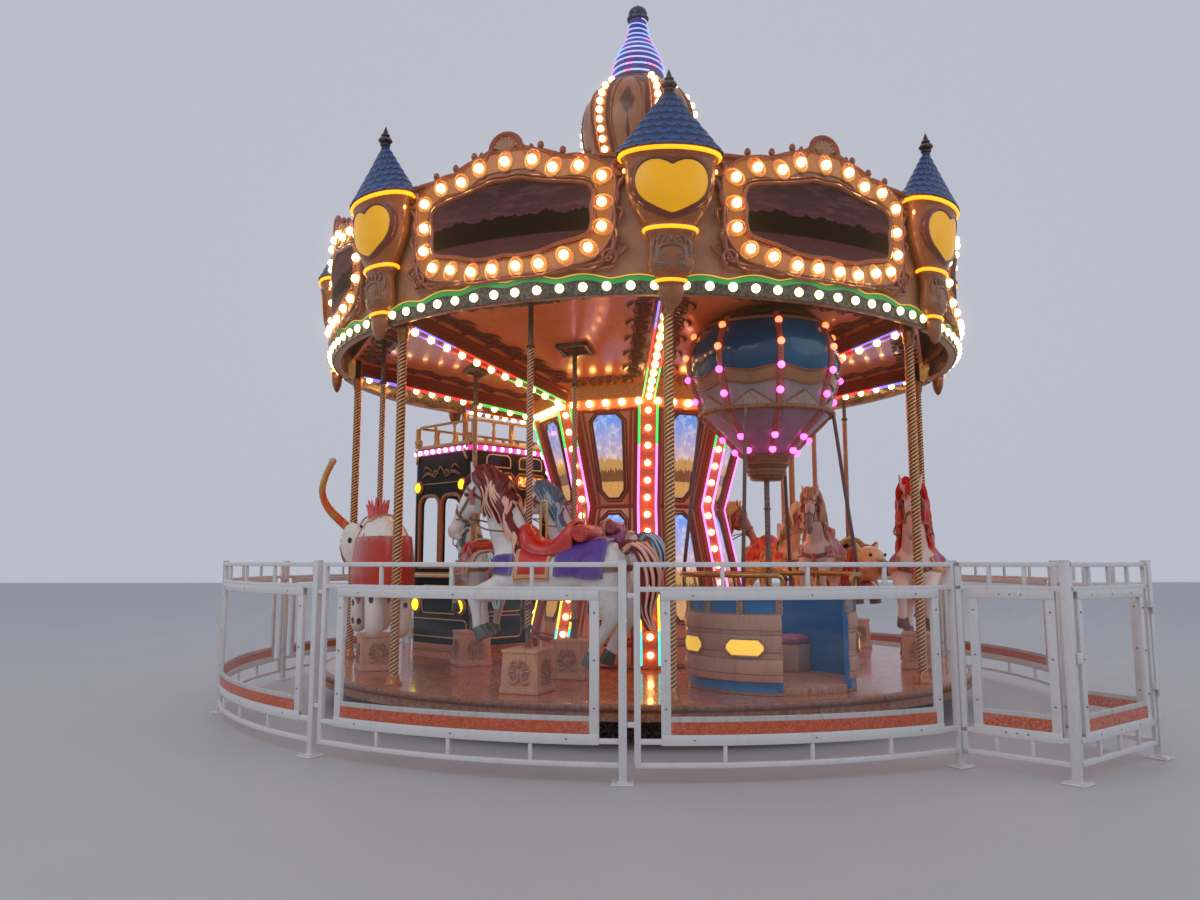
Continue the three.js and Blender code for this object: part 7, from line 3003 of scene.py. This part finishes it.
def build_horses():
    parts = horse_parts()
    for name, codes in HORSES.items():
        base, legs, muzzle, mane, strands, saddle, blanket, trim, hoof, dapple = codes
        finishes = {
            "body": coat(f"{name}_coat", base, 0.28, gloss=0.5, scale=5, variation=0.12, grime=0.25,
                         grime_colour="8a6a5a", edge=0.15, bump=0.08,
                         pattern=hide(base, legs, muzzle, dapple=dapple)),
            "hooves": coat(f"{name}_hoof_coat", hoof, 0.3, gloss=0.4, scale=12),
            "eyes": coat("eye_coat", "0c0a0a", 0.06, gloss=1.0, scale=30, grime=0.0, edge=0.0, bump=0.0),
            "mane": coat(f"{name}_mane_coat", mane, 0.36, gloss=0.3, scale=16, variation=0.35, edge=0.0,
                         bump=0.3),
            "strands": coat(f"{name}_strand_coat", strands, 0.34, gloss=0.3, scale=16, variation=0.25, edge=0.0,
                            grime=0.1, bump=0.2),
            "seat": coat(f"{name}_seat_coat", saddle, 0.26, gloss=0.6, scale=9, variation=0.2, grime=0.3,
                         bump=0.2),
            "blanket": coat(f"{name}_blanket_coat", blanket, 0.36, gloss=0.3, scale=9,
                            pattern=trimmed(blanket, trim, trim) if trim else None, bump=0.3),
            "straps": coat(f"{name}_strap_coat", "7a4a2a", 0.35, gloss=0.3, scale=20),
            "jewels": coat("jewel_coat", "b01830", 0.2, gloss=0.8, scale=20),
            "handle": coat("horse_gold_coat", "d9a24a", 0.25, metallic=0.75, gloss=0.3, scale=14, grime=0.3),
        }
        finishes["piping"] = coat(f"{name}_piping_coat", trim or saddle, 0.28, gloss=0.5, scale=9, grime=0.4)
        finishes["tail"], finishes["tail_strands"] = finishes["mane"], finishes["strands"]
        finishes["roll"] = finishes["seat"]
        finishes["flaps"] = coat(f"{name}_flap_coat", saddle, 0.35, gloss=0.35, scale=9,
                                 pattern=trimmed(saddle, trim or "d9a066", "2a5a3a", 20.0), bump=0.3)
        shell = HORSE_SLOTS[name]
        slots = {"hooves": "hoof_dark", "piping": "tack_red", "handle": "gold_metal", "mane": "mane_maroon",
                 "tail": "mane_maroon", "seat": "tack_red", "flaps": "tack_red", "roll": "tack_red",
                 "blanket": "tack_purple", "straps": "tack_red"}
        for part, obj in parts.items():
            ridden(twin_of(obj), name, part, finishes[part], slots.get(part, shell),
                   [name] if part == "body" else ())
    for obj in parts.values():
        bpy.data.objects.remove(obj)


def build_elephant():
    name = "elephant"
    forms = [ball((-0.22, 0, 0), (0.52, 0.275, 0.30), 32, 20),
             ball((0.30, 0, 0.09), (0.21, 0.19, 0.22), 24, 16), ball((0.33, 0, 0.22), (0.13, 0.13, 0.10)),
             limb([(0.42, 0.07, 0.088), (0.54, 0.11, 0.072), (0.59, 0.15, 0.062)], 0.03)]
    trunk = curve_points([(0.585, 0.11, 0.15), (0.645, 0.27, 0.26), (0.665, 0.45, 0.40), (0.650, 0.53, 0.54),
                          (0.60, 0.51, 0.68), (0.545, 0.44, 0.82)], 5)
    for k, (start, end) in enumerate(zip(trunk, trunk[1:])):
        size = 0.050 - 0.014 * k / len(trunk)
        forms += [bar(start, end, size, size * 0.99, 14), ball(end, size, 14, 8)]
    forms += [ball(trunk[-1], (0.052, 0.048, 0.036)),
              *[limb([(0.17, -0.10, 0.12), (0.22, -0.35, 0.105), (0.255, -0.60, 0.095)], side * 0.135)
                for side in (-1, 1)],
              *[limb([(-0.48, -0.08, 0.13), (-0.50, -0.35, 0.110), (-0.50, -0.60, 0.100)], side * 0.135)
                for side in (-1, 1)],
              limb([(-0.70, 0.08, 0.034), (-0.765, -0.05, 0.028), (-0.77, -0.22, 0.022)])]
    for side in (-1, 1):
        ear = ball((0, 0, 0), (0.055, 0.165, 0.205), 24, 16)
        forms.append(moved(ear, shift(0.215, side * 0.225, 0.06)
                           @ Matrix.Rotation(math.radians(-side * 22), 4, "Z")))
    body = flesh(forms, 0.015, 4)
    skin = skin_of(body)

    def colours(net):
        x, _, _ = net.parts(net.chart())
        tone, relief = hide("f0e8dc", "dccab4", "d8742c", (-0.42, -0.60), (0.44, 0.60), 1.0, "120e14", 8.0,
                            0.21)(net)
        soft = net.noise(net.scaled(net.place(), (1.0, 1.0, 0.6)), 9.0, 3.0)
        trunk_tone = net.mix(net.steps(soft, 0.42, 0.62), paint("dc5418"), paint("cf9a3c"))
        return net.mix(net.steps(x, 0.47, 0.54), tone, trunk_tone), relief

    ridden(body, name, "body",
           coat("elephant_coat", "d9cfc0", 0.3, gloss=0.5, scale=4, grime=0.3, grime_colour="8a7462",
                                    edge=0.1, pattern=colours, bump=0.1), "elephant_orange", [name])
    rows = []
    for i in range(9):
        f = i / 8
        z = 0.115 - 0.43 * f
        wide = 0.915 + 0.135 * math.sin(f * math.pi * 0.62) - 0.02 * f
        row = []
        for k in range(49):
            angle = math.radians(52 + 256 * k / 48)
            ripple = 1 + 0.008 * f * math.sin(k * 1.57)
            row.append((-0.22 + 0.545 * wide * ripple * math.cos(angle),
                        0.302 * wide * ripple * math.sin(angle), z))
        rows.append(row)
    cloth = fabric(rows, 0.014)
    charted(cloth, lambda co,
            face: (math.degrees(math.atan2(co.y, -0.22 - co.x)) / 256 + 0.5, (co.z + 0.315) / 0.43))
    ridden(cloth, name, "caparison",
           coat("caparison_coat", "bc2c08", 0.24, gloss=0.3, scale=4, variation=0.35, grime=0.3,
                                          grime_colour="7a1c08", bump=0.15), "elephant_orange")
    crown = []
    rng = random.Random(12)
    for k in range(16):
        angle = 2 * math.pi * k / 16
        base = Vector((0.06 + 0.075 * math.cos(angle), 0.075 * math.sin(angle), 0.265))
        tip = base + Vector((0.05 * math.cos(angle) + 0.02, 0.05 * math.sin(angle), rng.uniform(0.13, 0.21)))
        crown.append(lock([base, (base + tip) / 2 + Vector((0, 0, 0.02)), tip], 0.026, 0.010))
    ridden(joined(crown), name, "crown",
           coat("elephant_crown_coat", "e8606a", 0.3, gloss=0.4, scale=12, variation=0.5,
                                              edge_colour="f0b080", bump=0.2), "elephant_orange")
    harness = [strap(skin, (0.30, 0, 0.09), (0, 1, 0), (0.35, 0, 1.0), 0.050, 0.010),
               strap(skin, (-0.02, 0, 0.02), (0, 1, 0), (0, 0, 1), 0.070, 0.010, 0, 180)]
    ridden(joined(harness), name, "harness", coat("elephant_harness_coat", "b0305a", 0.3, gloss=0.5, scale=14),
           "elephant_orange")
    ridden(eyes(0.435, 0.135, 0.155, 0.022), name, "eyes", MATERIALS["eye_coat"], "elephant_orange")
    seat = draped(skin, -0.32, -0.06, 34, 0.008, 0.016, height=0.0, columns=18, rows=16)
    ridden(seat, name, "seat", coat("elephant_seat_coat", "b84a1c", 0.3, gloss=0.5, scale=8,
                                    pattern=trimmed("c8581c", "c07834", "8a2c14", 22.0)), "elephant_orange")


def build_pig():
    name = "pig"
    forms = [limb([(0.14, 0.02, 0.20), (-0.10, 0.0, 0.225), (-0.36, 0.01, 0.225), (-0.44, 0.03, 0.20)],
                  flat=0.97),
             ball((0.32, 0, 0.07), (0.185, 0.165, 0.172), 24, 16),
             limb([(0.43, 0.04, 0.098), (0.53, 0.015, 0.084), (0.585, 0.0, 0.074)], flat=0.95),
             ball((0.33, 0, -0.03), (0.15, 0.13, 0.10))]
    for side in (-1, 1):
        forms.append(limb([(0.10, -0.09, 0.10), (0.19, -0.20, 0.078), (0.25, -0.29, 0.056)], side * 0.115))
        forms.append(limb([(-0.40, -0.08, 0.11), (-0.45, -0.20, 0.082), (-0.485, -0.31, 0.056)], side * 0.115))
        forms.append(bar((0.27, side * 0.105, 0.185), (0.290, side * 0.150, 0.285), 0.044, 0.012, 14))
        forms.append(ball((0.40, side * 0.12, 0.02), (0.07, 0.045, 0.06)))
    body = flesh(forms, 0.013, 4)
    skin = skin_of(body)
    ridden(body, name, "body",
           coat("pig_coat", "e8b684", 0.3, gloss=0.5, scale=5, grime=0.25, grime_colour="8a5430", edge=0.1,
                                    pattern=hide("eab888", "f2d0a8", "5e3018", (-0.22, -0.32), (0.48, 0.55)),
                                    bump=0.1),
           "pig_tan", [name])
    tail = [(-0.63 - 0.035 * k / 20, 0.045 * math.sin(k * 0.6), 0.10 + 0.045 * math.cos(k * 0.6) - 0.02)
            for k in range(21)]
    extras = [tube(curve_points([(-0.56, 0, 0.06), *tail], 2), 0.017, sides=8),
              bar((0.645, 0, -0.005), (0.66, 0, -0.006), 0.070, 0.064, 24)]
    ridden(joined(extras), name, "snout_and_tail", coat("snout_coat", "5e3018", 0.3, gloss=0.5, scale=10),
           "pig_tan")
    dark = [ball((0.662, side * 0.026, 0.0), (0.006, 0.012, 0.018), 10, 8) for side in (-1, 1)]
    dark.append(eyes(0.455, 0.095, 0.145, 0.022))
    ridden(joined(dark), name, "eyes", MATERIALS["eye_coat"], "pig_tan")
    hooves = []
    for side in (-1, 1):
        hooves.append(rounded(bar((0.25, side * 0.115, -0.28), (0.262, side * 0.115, -0.365), 0.057, 0.060, 16),
                              0.008))
        hooves.append(rounded(bar((-0.485, side * 0.115, -0.30), (-0.50, side * 0.115, -0.385), 0.057, 0.060,
                                  16), 0.008))
    ridden(joined(hooves), name, "hooves", coat("pig_hoof_coat", "5a3020", 0.35, scale=10), "pig_tan")
    folds = [strap(skin, (0.165 + 0.03 * k, 0, 0.02), (0, 1, 0), (0.10, 0, 1.0), 0.055, 0.016 + 0.010 * (k % 2),
                   thickness=0.020) for k in range(3)]
    knot = skin_point(skin, (0.20, 0, 0.02), (0.35, 0, -1.0), 0.03)
    folds.append(ball(knot, (0.05, 0.07, 0.045)))
    for side in (1, -1):
        tie = [knot, knot + Vector((0.05, side * 0.07, -0.06)), knot + Vector((0.06, side * 0.11, -0.15))]
        folds.append(lock(tie, 0.045, 0.02))
    ridden(joined(folds), name, "scarf",
           coat("scarf_coat", "b01c20", 0.35, gloss=0.4, scale=8, variation=0.3, bump=0.3), "pig_tan")
    seat = draped(skin, -0.36, 0.06, 60, 0.016, 0.026, height=0.0, rise=saddle_rise, columns=20, rows=18)
    ridden(seat, name, "seat", coat("pig_seat_coat", "2c6a9a", 0.28, gloss=0.5, scale=8,
                                    pattern=trimmed("2c6a9a", "e0b050", "8a2c14", 22.0)), "pig_tan")
    ridden(draped(skin, -0.42, 0.12, 98, 0.008, 0.008, height=0.0, columns=16, rows=26), name, "blanket",
           coat("pig_blanket_coat", "b8442c", 0.4, scale=8,
                pattern=trimmed("c0502c", "e0c060", "8a2414", 24.0)), "pig_tan")


def build_rods():
    """Each animal's rod in its twisted sleeve, with plain ends and a clamp above and below the body."""
    # Painted highlight on the ridges and painted shade in the grooves of the rod sleeves
    sleeve_coat = coat("rod_sleeve_coat", "a86a44", 0.26, metallic=0.45, gloss=0.4, scale=9, variation=0.3,
                       grime=0.2, grime_colour="3a1a10", edge=0.2, edge_colour="e6b478",
                       pattern=twist_colours("e8a880", "28100c"))
    steel = coat("rod_coat", "4a3028", 0.3, metallic=0.7, gloss=0.3, scale=7, grime=0.4)
    for name, (angle, radius, lift) in SEATS.items():
        spot = polar(angle, radius)
        high, size = (2.75, 0.9) if radius == OUTER_RING else (2.62, 0.8)
        sleeve = twisted(0.0262 * size / 0.9, 0.735, high, 10.0, 4, 0.24, 16, 0.0085)
        moved(sleeve, shift(spot.x, spot.y, 0))
        piece(sleeve, f"{name}_sleeve", sleeve_coat, "gold_metal", f"{name}_rider", smooth=50)
        bars = [bar((spot.x, spot.y, 0.45), (spot.x, spot.y, 3.30), chosen("rod_radius"), sides=20)]
        body_size = INNER_SCALE if radius == INNER_RING else 1.0
        for z in (high, 0.73):
            profile = [(0, z), (0.030, z), (0.034, z + 0.006), (0.034, z + 0.018), (0.028, z + 0.026),
                       (0, z + 0.026)]
            bars.append(spun(profile, 20, (spot.x, spot.y)))
        for offset in (0.135 if "horse" in name else 0.215, -0.30):
            z = lift + offset * body_size
            profile = [(0, z), (0.040, z), (0.045, z + 0.008), (0.040, z + 0.020), (0.032, z + 0.030),
                       (0, z + 0.030)]
            bars.append(spun(profile, 24, (spot.x, spot.y)))
        piece(joined(bars), f"{name}_rod_bar", steel, "frame_steel", f"{name}_rider", smooth=50)


def build_animals():
    build_horses()
    build_elephant()
    build_pig()
    build_rods()


# Floor, light and camera

CAMERA_PLACE = (-0.62, -8.79, 1.2)
CAMERA_HEADING = 1.45
CAMERA_PITCH = 7.1
CAMERA_LENS = 27.0


def soft_light(name, place, target, size, power, colour):
    data = bpy.data.lights.new(name, "AREA")
    data.shape = "DISK"
    data.size = size
    data.energy = power
    data.color = paint(colour)[:3]
    obj = linked(name, data)
    obj.location = place
    obj.rotation_euler = (Vector(target) - Vector(place)).to_track_quat("-Z", "Y").to_euler()


def build_stage(settings):
    clear()
    bpy.ops.mesh.primitive_plane_add(size=settings.floor_size, location=(0, 0, 0))
    floor = bpy.context.object
    floor.name = floor.data.name = "studio_floor"
    material, net, shader = new_material("studio_floor_finish")
    net.put(shader.inputs["Base Color"],
            net.mix(net.noise(net.place(), 0.6, 3.0), paint("b4b4b6"), paint("bcbcbe")))
    shader.inputs["Roughness"].default_value = 0.55
    floor.data.materials.append(material)

    world = bpy.data.worlds.new("studio_air")
    world.use_nodes = True
    world.node_tree.nodes["Background"].inputs["Color"].default_value = paint(settings.sky_colour)
    world.node_tree.nodes["Background"].inputs["Strength"].default_value = settings.sky_strength
    bpy.context.scene.world = world

    power = settings.light_power
    soft_light("key_light", (-7, -9, 9), (0, 0, 1.5), 8, power, "ffffff")
    soft_light("fill_light", (9, -7, 7), (0, 0, 1.5), 8, power * 0.6, "f0f4ff")
    soft_light("back_light", (2, 10, 10), (0, 0, 2.5), 9, power * 0.7, "f4f4ff")

    camera = bpy.data.cameras.new("photo_camera")
    camera.sensor_fit = "HORIZONTAL"
    camera.sensor_width = 36
    camera.lens = CAMERA_LENS
    camera.clip_end = 200
    obj = linked("photo_camera", camera)
    obj.location = CAMERA_PLACE
    obj.rotation_euler = (math.radians(90 + CAMERA_PITCH), 0, -math.radians(CAMERA_HEADING))
    bpy.context.scene.camera = obj
    scene = bpy.context.scene
    scene.view_settings.view_transform = "Standard"
    scene.view_settings.exposure = settings.exposure
    scene.use_nodes = True
    tree = scene.node_tree
    tree.nodes.clear()
    layers = tree.nodes.new("CompositorNodeRLayers")
    halo = tree.nodes.new("CompositorNodeGlare")
    halo.glare_type = "BLOOM"
    halo.inputs["Threshold"].default_value = 1.0
    halo.inputs["Strength"].default_value = settings.halo
    halo.inputs["Size"].default_value = 0.35
    result = tree.nodes.new("CompositorNodeComposite")
    tree.links.new(layers.outputs["Image"], halo.inputs["Image"])
    tree.links.new(halo.outputs["Image"], result.inputs["Image"])


# Add-on

def number_setting(label, text, value, low=0.0, unit="NONE"):
    return bpy.props.FloatProperty(name=label, description=text, default=value, min=low, unit=unit)


def colour_setting(label, text, code):
    return bpy.props.FloatVectorProperty(
        name=label, description=text, subtype="COLOR", size=3, min=0.0, max=1.0, default=paint(code)[:3])


class CarouselSettings(bpy.types.PropertyGroup):
    """Sizes, colours and light that a user would change."""

    board_colour: colour_setting("Boards", "Colour of the rounding boards", "ae7a58")
    turret_colour: colour_setting("Turrets", "Colour of the turrets below their cones", "965830")
    ceiling_colour: colour_setting("Ceiling", "Colour of the ceiling panels", "e8824a")
    column_colour: colour_setting("Column", "Colour of the centre column", "d88458")
    deck_colour: colour_setting("Deck", "Colour of the platform's top", "b85c28")
    basket_colour: colour_setting("Basket", "Colour of the basket's inside and its bands", "1f6ea8")
    tram_colour: colour_setting("Tram", "Colour of the tram's sides", "060d0a")
    fence_colour: colour_setting("Fence", "Colour of the fence and its gates", "dcd9d8")
    rod_radius: number_setting("Rod Radius", "Radius of the animals' rods", 0.019, 0.005, "LENGTH")
    pole_twist: number_setting("Pole Twist", "Turns of the rim poles' twist in each metre", 8.6)
    coil_turns: bpy.props.IntProperty(
        name="Coil Turns", description="Turns of the lit coil round the spire", default=10, min=1)
    coil_radius: number_setting("Coil Radius", "Radius of the lit coil's tube", 0.0095, 0.002, "LENGTH")
    valance_line_radius: number_setting(
        "Valance Line Radius", "Radius of the lit line along the valance", 0.0042, 0.001, "LENGTH")
    floor_size: number_setting("Floor Size", "Side of the studio floor", 90.0, 10.0, "LENGTH")
    lamp_strength: number_setting("Lamp Strength", "Brightness of the round lamps", 14.0)
    halo: number_setting("Halo", "Strength of the soft halo round lit lamps", 0.2)
    light_power: number_setting("Studio Light", "Power of the main studio light in watts", 210.0)
    sky_strength: number_setting("Air Strength", "Brightness of the even light from all round", 1.0)
    sky_colour: colour_setting("Air Colour", "Colour of the even light from all round", "babeca")
    exposure: number_setting("Exposure", "Exposure of the picture, in stops", 0.0, -10.0)


def settings_of(context):
    return context.scene.carousel


def prepare(context):
    """Makes the shared groups and lamp finishes once."""
    if GROUPS:
        return
    GROUPS.update(build_groups())
    strength = settings_of(context).lamp_strength
    LAMPS["warm"] = lamp("lamp_warm_finish", "ffc272", strength)
    LAMPS["white"] = lamp("lamp_white_finish", "ffdc9c", strength * 0.28)


def builder(word, label, text, build):
    """An operator that builds one group of pieces."""
    def execute(self, context):
        prepare(context)
        build()
        return {"FINISHED"}

    return type(f"CAROUSEL_OT_{word}", (bpy.types.Operator,), {
        "bl_idname": f"carousel.{word}", "bl_label": label, "__doc__": text, "bl_options": {"REGISTER", "UNDO"},
        "execute": execute})


class CAROUSEL_OT_stage(bpy.types.Operator):
    """Adds the floor, the light and the camera"""

    bl_idname = "carousel.stage"
    bl_label = "Stage"

    def execute(self, context):
        build_stage(settings_of(context))
        return {"FINISHED"}


PIECES = [
    builder("boards", "Rounding Boards", "Builds the rounding boards with their frames, lamps and valance",
            build_boards),
    builder("turrets", "Turrets", "Builds the eight turrets", build_turrets),
    builder("roof", "Roof", "Builds the roof, dome, spire and finial", build_roof),
    builder("column", "Centre Column", "Builds the centre column with its pictures and lamps", build_column),
    builder("ceiling", "Ceiling", "Builds the ceiling's ribs, lamps and carvings", build_ceiling),
    builder("poles", "Canopy Poles", "Builds the twisted rim poles", build_poles),
    builder("balloon", "Balloon", "Builds the balloon of the gondola", build_balloon),
    builder("basket", "Basket", "Builds the basket with its rails and bench", build_basket),
    builder("platform", "Platform", "Builds the platform and the rod boxes", build_platform),
    builder("tram", "Tram", "Builds the tram", build_tram),
    builder("animals", "Animals", "Builds the riding animals on their rods", build_animals),
    builder("fence", "Fence", "Builds the fence with its gates", build_fence),
]


class CAROUSEL_PT_panel(bpy.types.Panel):
    """Lists the settings and the pieces"""

    bl_idname = "CAROUSEL_PT_panel"
    bl_label = "Carousel"
    bl_space_type = "VIEW_3D"
    bl_region_type = "UI"
    bl_category = "Carousel"

    def draw(self, context):
        for name in CarouselSettings.__annotations__:
            self.layout.prop(settings_of(context), name)
        for operator in (*PIECES, CAROUSEL_OT_stage):
            self.layout.operator(operator.bl_idname)


CLASSES = (CarouselSettings, *PIECES, CAROUSEL_OT_stage, CAROUSEL_PT_panel)


def register():
    for item in CLASSES:
        bpy.utils.register_class(item)
    bpy.types.Scene.carousel = bpy.props.PointerProperty(type=CarouselSettings)


def unregister():
    del bpy.types.Scene.carousel
    for item in reversed(CLASSES):
        bpy.utils.unregister_class(item)


def main():
    register()
    for operator in (*PIECES, CAROUSEL_OT_stage):
        getattr(bpy.ops.carousel, operator.bl_idname.removeprefix("carousel."))()
    bpy.context.view_layer.update()


if __name__ == "__main__":
    main()
